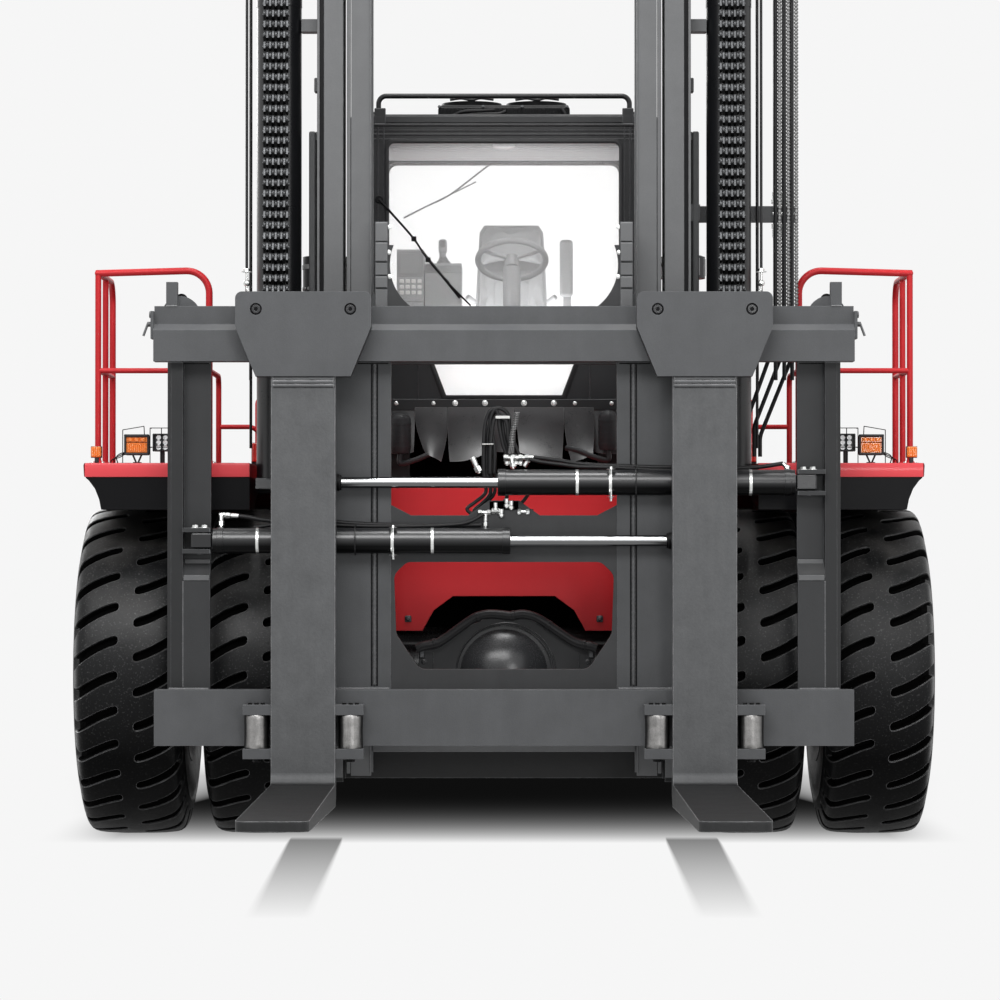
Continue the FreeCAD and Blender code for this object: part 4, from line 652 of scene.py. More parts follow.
# near-black rubber used as painted shade: tyre slot floors, under the cab, behind the radiator grille
shade_black_rubber = rubber("painted_shade_rubber", (0.002, 0.002, 0.002), roughness=0.8, speckle=0.0,
                     dust=0.0, shine=0.02)
flap_rubber = rubber("flap_rubber", (0.030, 0.031, 0.033), roughness=0.34, speckle=0.02,
                     relief=0.12, shine=0.7, edge=0.6)
hose_rubber = rubber("hose_rubber", (0.014, 0.014, 0.015), roughness=0.38, speckle=0.02,
                     relief=0.15)
moulded = rubber("moulded_plastic", (0.030, 0.031, 0.033), roughness=0.5, speckle=0.0,
                 relief=0.25, grain=420.0)
white_plastic = rubber("white_tie_plastic", (0.72, 0.72, 0.70), roughness=0.4, speckle=0.0,
                       relief=0.05)


# cab glass under a patchy pale haze of dust
cab_pane, tree, shader = new_material("cab_glass_pane", Roughness=0.0, Transmission_Weight=0.88,
                                      IOR=1.05)
haze = spread(tree, noise(tree, object_place(tree), 3.0, 4.0), 0.3, 0.7, 0.97, 1.0)
tree.links.new(toned(tree, (0.985, 0.985, 0.985), haze), shader.inputs["Base Color"])

CAD_FINISH = {
    red_paint: ["main_frame", "fender_decks", "handrails", "side_tanks", "side_decks",
                "engine_hood", "counterweight"],
    mast_paint: ["inner_mast"],
    outer_mast_paint: ["outer_mast"],
    carriage_paint: ["carriage_frame", "fork_hanger_left", "fork_hanger_right"],
    plate_paint: ["carriage_plates"],
    cross_paint: ["carriage_cross_plate"],
    forged_paint: ["fork_left", "fork_right"],
    axle_paint: ["drive_axle"],
    black_paint: ["steer_axle", "knuckle_left", "knuckle_right",
                  "fender_liners", "exhaust_stack", "roof_cooler", "chain_sheaves"],
    barrel_black: ["lift_barrels", "positioner_barrels", "tilt_barrel_left",
                   "tilt_barrel_right"],
    cab_paint: ["cab_floor", "cab_shell", "cab_roof", "door_left", "door_right"],
    engine_paint: ["engine_block"],
    rim_paint: ["drive_rims_left", "drive_rims_right", "steer_rim_left", "steer_rim_right"],
    chrome: ["lift_rods", "fork_left_rod", "fork_right_rod", "tilt_rod_left",
             "tilt_rod_right"],
    moulded: ["air_cleaner"],
    hose_rubber: ["hoses_rear", "hoses_over"],
    cab_pane: ["cab_glass"],
}


def finish_node(name, finish):
    """Give a CAD node that stays in view its material."""
    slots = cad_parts[name].data.materials
    slots.clear()
    slots.append(finish)


for finish, names in CAD_FINISH.items():
    for name in names:
        finish_node(name, finish)


# ---- tyres ----------------------------------------------------------------------------------
SLOTS_ROUND = 30
PITCH_ROUND = 2 * math.pi / SLOTS_ROUND
COLUMNS = 10  # points round the tread for each slot
MIDDLE = COLUMNS // 2
SLOT_START, SLOT_DEPTH = 0.036, 0.040
SUNKEN = []


def tyre_rows():
    """Rows from beside the tread's middle to the bead: across, radius, slot half width,
    slot depth, slant along the tread."""
    round_end = 0.021
    rows = [(0.020, 0.8074, 0.006, 0.0)]
    for step in (0.0, 0.0015, 0.005, 0.011, 0.021):
        share = 1 - step / round_end
        half = max(0.006, round_end * math.sqrt(max(0.0, 1 - share * share)))
        rows.append((SLOT_START + step, 0.8073, half, SLOT_DEPTH if step else 0.0))
    rows += [(across, radius, half, SLOT_DEPTH) for across, radius, half in (
        (0.075, 0.8070, 0.0215), (0.100, 0.8062, 0.0220), (0.130, 0.8050, 0.0225),
        (0.160, 0.8030, 0.0235), (0.188, 0.7995, 0.0245), (0.208, 0.7940, 0.0255),
        (0.224, 0.7840, 0.0265), (0.235, 0.7690, 0.0280))]
    rows += [(0.2425, 0.7500, 0.030, 0.034), (0.2490, 0.7250, 0.032, 0.022),
             (0.2535, 0.7050, 0.034, 0.010), (0.2565, 0.6900, 0.034, 0.0)]
    slanted = [(across, radius, half, depth,
                0.088 * (max(0.0, across - SLOT_START) / 0.185) ** 1.45)
               for across, radius, half, depth in rows]
    side = [(0.2600, 0.660), (0.2645, 0.652), (0.2645, 0.640), (0.2615, 0.632),
            (0.2645, 0.590), (0.2650, 0.545), (0.2630, 0.500), (0.2590, 0.462),
            (0.2570, 0.452), (0.2600, 0.446), (0.2570, 0.428), (0.2480, 0.400),
            (0.2320, 0.362), (0.2300, 0.350), (0.2150, 0.3190)]
    last = slanted[-1]
    return slanted + [(a, r, last[2], 0.0, last[4]) for a, r in side]


def tyre(x, y):
    """Tyre round the axle line, its tread cut by two staggered rows of slanted slots."""
    rows = tyre_rows()
    count = SLOTS_ROUND * COLUMNS
    points = [(x, y - TYRE_R * math.cos(a), TYRE_R + TYRE_R * math.sin(a))
              for a in (PITCH_ROUND * m / COLUMNS for m in range(count))]
    faces, ends, sunken = [], [], []
    for side in SIDES:
        before = [(m - (MIDDLE if side < 0 else 0)) % count for m in range(count)]
        for n, (across, radius, half, depth, slant) in enumerate(rows):
            back = rows[max(0, n - 1)]
            ahead = rows[min(len(rows) - 1, n + 1)]
            run = Vector((ahead[0] - back[0], ahead[1] - back[1])).normalized()
            out = Vector((-run.y, run.x))
            offsets = (None, half + 0.020, half + 0.0045, half, half * 0.72)
            sunk = (0.0, 0.0, 0.0, min(0.0045, depth), depth, depth, depth, min(0.0045, depth),
                    0.0, 0.0)
            ring = []
            for m in range(count):
                slot, column = divmod(m, COLUMNS)
                if column == 0:
                    along = -PITCH_ROUND / 2
                elif column == MIDDLE:
                    along = 0.0
                elif column < MIDDLE:
                    along = -offsets[column] / TYRE_R
                else:
                    along = offsets[COLUMNS - column] / TYRE_R
                angle = PITCH_ROUND * (slot + (0.5 if side > 0 else 0.0)) + along
                angle += side * slant / TYRE_R
                r = radius - sunk[column] * out.y
                t = across - sunk[column] * out.x
                ring.append(len(points))
                points.append((x + side * t, y - r * math.cos(angle),
                               TYRE_R + r * math.sin(angle)))
            for m in range(count):
                k = (m + 1) % count
                loop = [before[m], before[k], ring[k], ring[m]]
                if depth > 0.02 and MIDDLE - 2 <= m % COLUMNS <= MIDDLE + 1:
                    sunken.append(len(faces))
                faces.append(loop if side > 0 else loop[::-1])
            before = ring
        ends.append(before)
    left, right = ends
    for m in range(count):
        k = (m + 1) % count
        faces.append([right[m], right[k], left[(k + MIDDLE) % count],
                      left[(m + MIDDLE) % count]])
    SUNKEN[:] = [sunken, len(faces)]
    return points, faces


def shade_slot_floors(made):
    """Give the floors of every tyre's slots their own near-black rubber: painted shade in the slots."""
    made.data.materials.append(shade_black_rubber)
    sunken, count = SUNKEN
    for first in range(0, len(made.data.polygons), count):
        for n in sunken:
            made.data.polygons[first + n].material_index = 1


for side in SIDES:
    name = SIDE_NAMES[side]
    twins = piece("tyre_pair_" + name, [tyre(side * 1.19, 0.0), tyre(side * 1.81, 0.0)],
                  tyre_rubber, "drive_wheels_" + name, sharp=28.0)
    shade_slot_floors(twins)
    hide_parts("drive_tyres_" + name)
    rear = piece("rear_tyre_" + name, [tyre(side * 1.37, REAR_AXLE_Y)], tyre_rubber,
                 "steer_wheel_" + name, sharp=28.0)
    shade_slot_floors(rear)
    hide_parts("steer_tyre_" + name)


# ---- lift chains ----------------------------------------------------------------------------
CHAIN_X, CHAIN_W, CHAIN_PITCH, CHAIN_HALF = 1.090, 0.122, 0.0508, 0.024
CHAIN_ROWS = 9
LIFT_Y, SHEAVE_Z, CHAIN_R = -0.660, 4.420, 0.158
FRONT_STRAND_Y, REAR_STRAND_Y = LIFT_Y - CHAIN_R, LIFT_Y + CHAIN_R


def link_plate(pitch, thick):
    """Figure-of-eight plate from one pin to the next, thick along X, standing on +Z."""
    outline = []
    for centre, first in ((0.0, 205), (pitch, -25)):
        for n in range(6):
            a = math.radians(first + (130 if first > 0 else 230) * n / 5)
            outline.append((CHAIN_HALF * math.cos(a), centre + CHAIN_HALF * math.sin(a)))
        outline += [(0.0125, 0.30 * pitch), (0.0125, 0.52 * pitch)] if first > 0 else [
            (-0.0125, 0.52 * pitch), (-0.0125, 0.30 * pitch)]
    return facing_left(slab(outline, -thick / 2, thick / 2, 0.0010))


def short_plate(pitch, thick):
    """Plate no longer than a pitch, for the strands that show least."""
    outline = rounded_outline(-CHAIN_HALF, CHAIN_HALF, 0.0, pitch - 0.003, 0.012, 3)
    return facing_left(slab(outline, -thick / 2, thick / 2, 0.0012))


def laced(plate, link, first):
    """Every second plate across the chain, at one link."""
    return [place(plate, link @ Matrix.Translation(
        (-CHAIN_W / 2 + CHAIN_W * (row + 0.5) / CHAIN_ROWS, 0, 0)))
            for row in range(first, CHAIN_ROWS, 2)]


def chain_strand(links, pitch):
    """Laced leaf chain over a list of matrices, one per pitch, with its pins."""
    plate = link_plate(pitch, 0.0112)
    pin = place(hoop(-0.064, 0.064, 0, 0.0075, 10), Matrix.Rotation(math.pi / 2, 4, "Y"))
    parts = []
    for n, link in enumerate(links):
        parts += laced(plate, link, n % 2)
        parts.append(place(pin, link))
    return parts


def straight_links(x, y, bottom, top):
    """Upright links, and the pitch that fits them in."""
    count = round((top - bottom) / CHAIN_PITCH)
    pitch = (top - bottom) / count
    return [Matrix.Translation((x, y, bottom + n * pitch)) for n in range(count)], pitch


def arc_links(x, count):
    """Links laid over the sheave from its front side to its rear, and their pitch."""
    made = []
    pins = [Vector((x, LIFT_Y - CHAIN_R * math.cos(a), SHEAVE_Z + CHAIN_R * math.sin(a)))
            for a in (math.pi * n / count for n in range(count + 1))]
    for start, end in zip(pins, pins[1:]):
        way = end - start
        made.append(Matrix.Translation(start) @
                    Matrix.Rotation(math.atan2(-way.y, way.z), 4, "X"))
    return made, (pins[1] - pins[0]).length


def shorten_with_lift(made):
    """Give a piece under the sheaves its own copy of its mesh."""
    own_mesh(made)


front_chain, over_chain, rear_chain = [], [], []
for side in SIDES:
    x = side * CHAIN_X
    links, pitch = straight_links(x, FRONT_STRAND_Y, 2.395, SHEAVE_Z)
    front_chain += chain_strand(links, pitch)
    links, pitch = arc_links(x, 10)
    over_chain += chain_strand(links, pitch)
    for first, low, high, pile in ((0, 2.20, SHEAVE_Z, over_chain),
                                   (1, 1.815, 4.10, rear_chain)):
        links, pitch = straight_links(x, REAR_STRAND_Y, low, high)
        plate = short_plate(pitch, 0.0104)
        for link in links:
            pile += laced(plate, link, first)
    front_chain.append(bar((x, FRONT_STRAND_Y, 2.34), (x, FRONT_STRAND_Y, 2.40), 0.019, 20))
    for x0, x1, z0, z1 in ((1.020, 1.160, 1.75, 1.81), (0.893, 1.160, 1.71, 1.75)):
        rear_chain.append(side_block(side, x0, x1, REAR_STRAND_Y - 0.03, REAR_STRAND_Y + 0.03,
                                     z0, z1, 0.004))
made = piece("chain_front_strands", front_chain, chain_steel, "inner_mast_body")
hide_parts("chains_front")
shorten_with_lift(made)
made = piece("chain_over_sheaves", over_chain, chain_steel, "inner_mast_body")
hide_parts("chains_over")
made = piece("chain_rear_strands", rear_chain, chain_steel, "outer_mast_body")
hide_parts("chains_rear")


# ---- carriage, forks and their cylinders ----------------------------------------------------
FORK_X, SHANK_HALF, PLATE_Y, BARREL_Y = 0.937, 0.150, -1.260, -1.064
UPPER_Z, LOWER_Z, BARREL_R = 1.724, 1.450, 0.060
GUIDE_Y = -1.180  # rollers at the foot of each shank
AHEAD, OUTWARD = (0, -1, 0), (1, 0, 0)


def fitting(start, end, radius=0.012):
    """Hose end: swaged sleeve, hexagon nut and a short neck."""
    start, end = Vector(start), Vector(end)
    length = (end - start).length
    sleeve = turned([(0, radius * 0.8), (0.04 * length, radius), (0.52 * length, radius),
                     (0.55 * length, radius * 0.75), (0.62 * length, radius * 0.75)], 14)
    nut = moved(hoop(0, 0.30 * length, 0, radius * 1.35, 6), z=0.60 * length)
    neck = moved(turned([(0, radius * 0.6), (0.12 * length, radius * 0.6), (0.12 * length, 0)],
                        12), z=0.89 * length)
    return place(gathered([sleeve, nut, neck]), toward(start, end - start))


def nut_along(x, y, z, half, radius):
    """Plain hexagon on a pipe that lies along X."""
    return place(hoop(-half, half, 0, radius, 6), toward((x, y, z), (1, 0, 0)))


def hose(knots, radius=0.0095, steps=8, sides=10):
    return swept(curve_through(knots, steps), radius, sides)


def at_depth(y, flat):
    """Knots from (x, z) pairs at one depth."""
    return [(x, y, z) for x, z in flat]


def band(x, z, radius=BARREL_R, width=0.014, thick=0.002):
    """Strap round a fork-shifting cylinder."""
    return place(hoop(-width / 2, width / 2, radius, radius + thick, 40),
                 Matrix.Translation((x, BARREL_Y, z)) @ Matrix.Rotation(math.pi / 2, 4, "Y"))


def bolt(where, way, radius=0.014, height=0.010, washer=0.020, turn=0.0):
    """Bolt head on a face that looks along way."""
    return place(hexagon(radius, height, washer), toward(where, way) @
                 Matrix.Rotation(turn, 4, "Z"))


for side in SIDES:
    name, cx = SIDE_NAMES[side], side * FORK_X
    body = name + "_fork"
    x0, x1 = cx - SHANK_HALF, cx + SHANK_HALF
    beads = []
    for n, (z, width) in enumerate(((2.205, 0.022), (2.189, 0.024), (2.172, 0.020))):
        beads.append(weld((x0 + 0.004, -1.243, z), (x1 - 0.004, -1.243, z), width,
                          seed=31 * n + side))
    for x in (x0 - 0.002, x1 + 0.002):
        for z0, z1 in ((0.640, 0.682), (0.433, 0.474)):
            beads.append(weld((x, GUIDE_Y, z0), (x, GUIDE_Y, z1), 0.012, lift=(x - cx, 0, 0)))
    piece("fork_welds_" + name, beads, forged_paint, body, sharp=60)
    heads, sockets, sleeves, studs = [], [], [], []
    for x in (cx - 0.220, cx + 0.220):
        seat = Vector((x, PLATE_Y + 0.010, 2.530))
        out = toward(seat, AHEAD)
        heads.append(place(turned([(0, 0), (0, 0.0205), (0.007, 0.0205), (0.0085, 0.019),
                                   (0.0085, 0.0095), (0.002, 0.0095), (0.002, 0)], 28), out))
        sockets.append(place(hoop(0, 0.0015, 0, 0.0275, 28),
                             toward(seat + Vector((0, 0.0005, 0)), AHEAD)))
        sockets.append(place(hoop(0.0022, 0.0030, 0, 0.0093, 6), out))
        sleeves.append(moved(turned([(0.479, 0.040), (0.479, 0.0560), (0.483, 0.0578),
                                     (0.500, 0.0574), (0.557, 0.0566), (0.614, 0.0574),
                                     (0.631, 0.0578), (0.635, 0.0560), (0.635, 0.040)], 48),
                             x, -1.179))
        for dx in (-0.030, 0.0, 0.030):
            studs.append(bolt((x + dx, -1.196, 0.684), (0, 0, 1), 0.0105, 0.009, 0.0, dx * 9))
        studs.append(bolt((x, -1.179, 0.431), (0, 0, -1), 0.020, 0.012, 0.028))
    piece("head_plate_screws_" + name, heads, axle_paint, body)
    piece("screw_recess_shade_" + name, sockets, black_paint, body)
    piece("guide_roller_sleeves_" + name, sleeves, ground_steel, body)
    piece("guide_roller_bolts_" + name, studs, black_paint, body)
    rod_z = UPPER_Z if side < 0 else LOWER_Z
    inner = cx - side * SHANK_HALF
    collar = place(turned([(0.0, 0.026), (0.0, 0.040), (0.012, 0.040), (0.014, 0.036),
                           (0.022, 0.036), (0.022, 0.0262)], 32),
                   toward((inner, BARREL_Y, rod_z), (-side, 0, 0)))
    piece("rod_collar_" + name, [collar], black_paint, body)

welds, edge_strips, cap_bolts, shadows = [], [], [], []
for side in SIDES:
    welds.append(weld((side * 0.612, -1.001, 0.762), (side * 0.612, -1.001, 2.285), 0.020,
                      seed=3 + side, pitch=1.05, neck=0.45))
    # black strips beside the column weld: painted shadow at its toes
    for shift in (-0.013, 0.013):
        shadows.append(side_block(side, 0.608 + shift, 0.616 + shift, -1.0012, -0.999, 0.764,
                                  2.284, 0.0004))
    for x0, x1, y, z, up, seed in ((0.54, 0.84, -1.004, 0.753, 1, 11),
                                   (0.54, 0.84, -1.004, 2.290, -1, 15),
                                   (1.390, 1.580, -1.062, 0.753, 1, 21),
                                   (1.390, 1.580, -1.002, 2.290, -1, 25)):
        low, high = sorted((side * x0, side * x1))
        welds.append(weld((low, y, z), (high, y, z), 0.014, (0, -1, up), seed + side))
    welds.append(weld((side * 1.540, -1.060, 2.557), (side * 1.593, -1.060, 2.557), 0.012,
                      (0, -1, 1), 29 + side))
    welds.append(weld((side * 1.512, -1.061, 0.76), (side * 1.512, -1.061, 1.26), 0.008,
                      AHEAD, 33 + side))
    edge_strips.append(side_block(side, 1.388, 1.509, -1.0655, -1.060, 1.262, 1.288, 0.002))
    edge_strips.append(side_block(side, 1.388, 1.509, -1.010, -1.000, 1.338, 1.362, 0.002))
    for z0, z1, out in ((2.556, 2.640, 0.0), (2.645, 2.700, 0.006), (2.705, 2.765, 0.0),
                        (2.770, 2.860, 0.008), (2.865, 2.957, 0.0)):
        edge_strips.append(side_block(side, 0.551, 0.609, -1.0005 - out, -0.991, z0, z1, 0.004))
    for x, z in ((0.541, 2.935), (0.545, 2.815), (0.541, 2.70)):
        cap_bolts.append(bolt((side * x, -0.990, z), AHEAD, 0.008, 0.007, 0.011))
    # latch at the end of the upper bar
    for x0, z0, x1, z1, radius, sides, edge in (
            (1.662, 2.47, 1.682, 2.47, 0.012, 12, 0.002),
            (1.676, 2.48, 1.700, 2.415, 0.006, 10, 0.001),
            (1.662, 2.515, 1.672, 2.515, 0.016, 16, 0.002)):
        edge_strips.append(bar((side * x0, -1.060, z0), (side * x1, -1.060, z1), radius, sides,
                               edge))
piece("carriage_welds", welds, bead_paint, "carriage", sharp=60)
piece("weld_toe_shadows", shadows, black_paint, "carriage")
piece("carriage_trim", edge_strips, mast_paint, "carriage")
piece("carriage_column_bolts", cap_bolts, zinc, "carriage")
# black discs on the carriage's end lugs: painted shade
shades = []
for x in (-1.527, 1.527):
    shades.append(bar((x, -0.979, 2.516), (x, -0.9735, 2.516), 0.0892, 48))
    shades.append(bar((x, -0.981, 2.590), (x, -0.976, 2.590), 0.030, 24))
piece("end_lug_shade_discs", shades, black_paint, "carriage")

bands = [band(x, UPPER_Z) for x in (0.344, 0.500, 1.160)]
bands += [band(x, LOWER_Z) for x in (-0.337, -0.525, -1.160)]
for x, z in ((0.504, UPPER_Z), (-0.521, LOWER_Z)):
    for y in (BARREL_Y - 0.048, BARREL_Y + 0.064):
        bands.append(bar((x, y, z - 0.088), (x, y, z + 0.074), 0.0042, 10))
        bands.append(bolt((x, y, z - 0.066), (0, 0, -1), 0.0075, 0.009))
        bands.append(bolt((x, y, z + 0.062), (0, 0, 1), 0.0075, 0.009))
piece("barrel_straps", bands, zinc, "carriage")
ends, pins = [], []
for side, z in ((1, UPPER_Z), (-1, LOWER_Z)):
    for x, width in ((-0.010, 0.036), (1.335, 0.030)):
        ends.append(band(side * x, z, BARREL_R - 0.002, width, 0.0055))
    ends.append(side_block(side, 1.372, 1.470, BARREL_Y - 0.050, BARREL_Y + 0.02, z - 0.036,
                           z + 0.036, 0.006))
    for x in (1.408, 1.452):
        pins.append(bolt((side * x, BARREL_Y - 0.018, z + 0.060), (0, 0, 1), 0.015, 0.012,
                         0.022, x))
piece("barrel_end_rings", ends, barrel_black, "carriage")
piece("clevis_bolts", pins, zinc, "carriage")

# hoses on the carriage, as (x, z) knots: loops above the cylinders, drops between them, long runs
HOSE_Y, RUN_Y = -0.950, -1.012
loops = [
    ((-0.095, 1.769), (-0.096, 1.896), (-0.092, 1.987), (-0.076, 2.052), (-0.047, 2.076),
     (-0.028, 2.048), (-0.021, 1.987), (-0.006, 1.912), (0.014, 1.851)),
    ((-0.082, 1.766), (-0.081, 1.880), (-0.073, 1.983), (-0.057, 2.041), (-0.036, 2.060),
     (-0.011, 2.022), (0.000, 1.943), (0.028, 1.848)),
    ((-0.066, 1.766), (-0.065, 1.872), (-0.057, 1.972), (-0.047, 2.022), (-0.028, 2.041),
     (0.006, 2.022), (0.017, 1.987), (0.022, 1.927), (0.052, 1.848)),
    ((-0.047, 1.769), (-0.044, 1.864), (-0.054, 1.951), (-0.065, 2.014), (-0.052, 2.062),
     (-0.027, 2.079), (0.009, 2.062), (0.024, 2.030), (0.030, 1.959), (0.076, 1.845)),
]
drops = [
    ((-0.095, 1.769), (-0.085, 1.698), (-0.095, 1.667), (-0.137, 1.632), (-0.174, 1.603),
     (-0.156, 1.581), (-0.111, 1.583)),
    ((-0.082, 1.766), (-0.063, 1.698), (-0.073, 1.659), (-0.111, 1.621), (-0.142, 1.592),
     (-0.120, 1.572), (-0.088, 1.566)),
    ((-0.066, 1.766), (-0.043, 1.698), (-0.054, 1.662), (-0.082, 1.627), (-0.060, 1.594)),
    ((-0.047, 1.769), (0.013, 1.680), (0.000, 1.633), (-0.019, 1.611), (-0.040, 1.590)),
    ((0.125, 1.690), (0.115, 1.671), (0.095, 1.643), (0.060, 1.603), (0.013, 1.556),
     (-0.030, 1.520)),
]
runs = [
    ((0.139, 1.845), (0.202, 1.838), (0.265, 1.829), (0.360, 1.813), (0.518, 1.804),
     (0.739, 1.797), (1.000, 1.795), (1.180, 1.796), (1.318, 1.815)),
    ((0.115, 1.836), (0.170, 1.823), (0.265, 1.810), (0.360, 1.799), (0.486, 1.796),
     (0.739, 1.784), (1.000, 1.779), (1.160, 1.783)),
    ((-1.252, 1.567), (-1.200, 1.560), (-1.137, 1.548), (-1.059, 1.541), (-0.964, 1.538),
     (-0.838, 1.541), (-0.712, 1.532), (-0.555, 1.526), (-0.302, 1.521), (-0.110, 1.524)),
    ((-1.180, 1.512), (-1.059, 1.528), (-0.900, 1.530), (-0.700, 1.520), (-0.450, 1.518),
     (-0.200, 1.530), (-0.095, 1.575)),
]
held = []
for n, flat in enumerate(loops):
    held.append(hose(at_depth(HOSE_Y + 0.022 * (n % 2) - 0.008 * n, flat), 0.0098))
for n, flat in enumerate(drops):
    held.append(hose(at_depth(HOSE_Y - 0.018 + 0.010 * n, flat), 0.0088))
for n, flat in enumerate(runs):
    held.append(hose(at_depth(RUN_Y - 0.014 * (n % 2), flat), 0.0085 if n % 2 else 0.0100, 6))
made = piece("carriage_hose_run", held, hose_rubber, "carriage", sharp=60)
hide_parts("carriage_hoses")
guard_path = curve_through(at_depth(-0.978, ((0.062, 2.058), (0.052, 2.006), (0.039, 1.951),
                                             (0.036, 1.896), (0.032, 1.862))), 10)
guard = [swept(guard_path, 0.0105, 12)]
coil = []
spans, turns = len(guard_path) - 1, 5 * len(guard_path)
for n in range(turns):
    share = n / (turns - 1) * spans
    k = min(int(share), spans - 1)
    p = guard_path[k].lerp(guard_path[k + 1], share - k)
    coil.append(p + Vector((0.0125 * math.cos(1.9 * n), 0.0125 * math.sin(1.9 * n), 0)))
guard.append(swept(coil, 0.0028, 6))
piece("hose_guard_coil", guard, guard_steel, "carriage")
metal = [fitting((x, -0.972, 1.856), (x, -0.972, 1.806), 0.0095)
         for x in (0.014, 0.034, 0.055, 0.078)]
metal.append(bar((-0.002, -0.985, 1.842), (0.098, -0.985, 1.842), 0.0105, 16, 0.002))
metal += [nut_along(x, -0.985, 1.842, 0.011, 0.0165) for x in (0.010, 0.044, 0.078)]
for start, end, radius in (((0.150, -1.000, 1.8445), (0.094, -0.987, 1.842), 0.0115),
                           ((0.036, -0.990, 1.846), (0.044, -1.010, 1.790), 0.011),
                           ((0.096, -0.984, 1.800), (0.120, -0.984, 1.842), 0.011),
                           ((-0.150, -0.965, 1.845), (-0.116, -0.965, 1.770), 0.0135)):
    metal.append(fitting(start, end, radius))
for x0, x1, z in ((-0.124, -0.062, 1.583), (-0.060, -0.018, 1.589), (0.062, 0.122, 1.588)):
    metal.append(bar((x0, -1.000, z), (x1, -1.000, z), 0.0095, 14, 0.002))
    metal += [nut_along(x, -1.000, z, 0.008, 0.015) for x in (x0 + 0.010, x1 - 0.010)]
for x, z0, z1 in ((-0.088, 1.512, 1.578), (-0.040, 1.588, 1.630), (0.012, 1.605, 1.650),
                  (0.034, 1.596, 1.640), (-0.012, 1.560, 1.600)):
    metal.append(fitting((x, -1.006, z1), (x, -1.006, z0), 0.0105))
metal.append(fitting((-1.252, RUN_Y, 1.567), (-1.322, RUN_Y, 1.570), 0.011))
metal.append(fitting((-1.334, RUN_Y, 1.580), (-1.334, -1.030, 1.512), 0.011))
metal.append(bar((-1.345, RUN_Y, 1.571), (-1.315, RUN_Y, 1.571), 0.013, 6))
metal.append(fitting((1.318, RUN_Y, 1.815), (1.345, -1.030, 1.786), 0.011))
piece("hose_fittings", metal, zinc, "carriage")
ties = [block(-0.040, 0.028, -0.985, -0.940, 2.028, 2.041, 0.002),
        block(-0.104, -0.050, -0.985, -0.925, 1.905, 1.910, 0.001)]
piece("hose_ties", ties, white_plastic, "carriage")
ties = [band(x, z + 0.004, BARREL_R + 0.012, 0.006)
        for x, z in ((0.62, UPPER_Z), (0.90, UPPER_Z), (-0.70, LOWER_Z), (-1.04, LOWER_Z))]
piece("barrel_hose_ties", ties, hose_rubber, "carriage")
manifold = [block(-0.072, 0.072, -1.000, -0.955, 1.592, 1.640, 0.004),
            block(-0.140, 0.140, -0.9515, -0.9495, 1.560, 1.600, 0.001)]
piece("hose_block", manifold, black_paint, "carriage")


# ---- mast trim: grooves, guides, hose wheels' fittings --------------------------------------
# the black strips in the outer mast's grooves are painted shade
for name, finish, body, slot, rows in (
        ("outer_mast_strips", mast_paint, "outer_mast_body", "mast_grey",
         ((0.881, 0.893, -0.830, -0.8195, 0.32, 4.385, 0.002),
          (0.7685, 0.861, -0.829, -0.8195, 0.32, 4.385, 0.003),
          (0.913, 0.945, -0.562, -0.505, 1.83, 3.435, 0.006),
          (0.893, 0.914, -0.540, -0.505, 1.83, 3.435, 0.002),
          (0.893, 0.918, -0.600, -0.540, 3.620, 3.690, 0.004))),
        ("outer_mast_groove_shade", black_paint, "outer_mast_body", "black_paint",
         ((0.861, 0.881, -0.822, -0.8195, 0.32, 4.385, 0.001),
          (0.905, 0.914, -0.545, -0.5395, 1.83, 3.395, 0.001))),
        ("inner_mast_strips", mast_paint, "inner_mast_body", "mast_grey",
         ((0.7325, 0.7515, -0.819, -0.800, 0.34, 4.495, 0.003),
          (0.634, 0.640, -0.826, -0.8195, 0.34, 4.495, 0.0015)))):
    piece(name, [part for row in rows for part in both(block(*row))], finish, body)

MAST_HOSE_X, HOSE_FOOT_Z, CABLE_X, CABLE_Y = (1.318, 1.360, 1.398), 2.330, 1.230, -0.800
bracket_metal = []
for x in MAST_HOSE_X:
    bracket_metal.append(fitting((x, -0.494, 3.150), (x, -0.494, 3.082), 0.0135))
    bracket_metal.append(fitting((x, -0.494, 2.925), (x, -0.494, 2.998), 0.0135))
    bracket_metal.append(bolt((x, -0.506, 3.040), AHEAD, 0.009, 0.008, 0.013))
piece("hose_bracket_fittings", bracket_metal, zinc, "outer_mast_body")
hooks = []
ball = [(0.017 * math.sin(math.radians(a)), 0.017 * math.cos(math.radians(a)))
        for a in range(-90, 91, 18)]
for side in SIDES:
    x = side * CABLE_X
    hooks.append(bolt((x, CABLE_Y, 2.735), (0, 0, 1), 0.016, 0.014, 0.026))
    hooks.append(bar((x, CABLE_Y, 2.690), (x, CABLE_Y, 2.735), 0.007, 12))
    hooks.append(moved(turned(ball, 18), x, CABLE_Y, 2.682))
    hooks.append(swept(curve_through([(x, CABLE_Y, 2.668), (x - side * 0.004, -0.81, 2.648),
                                      (x - side * 0.020, -0.83, 2.630),
                                      (x - side * 0.024, -0.86, 2.618)], 6), 0.006, 10))
piece("cable_ends", hooks, zinc, "carriage")

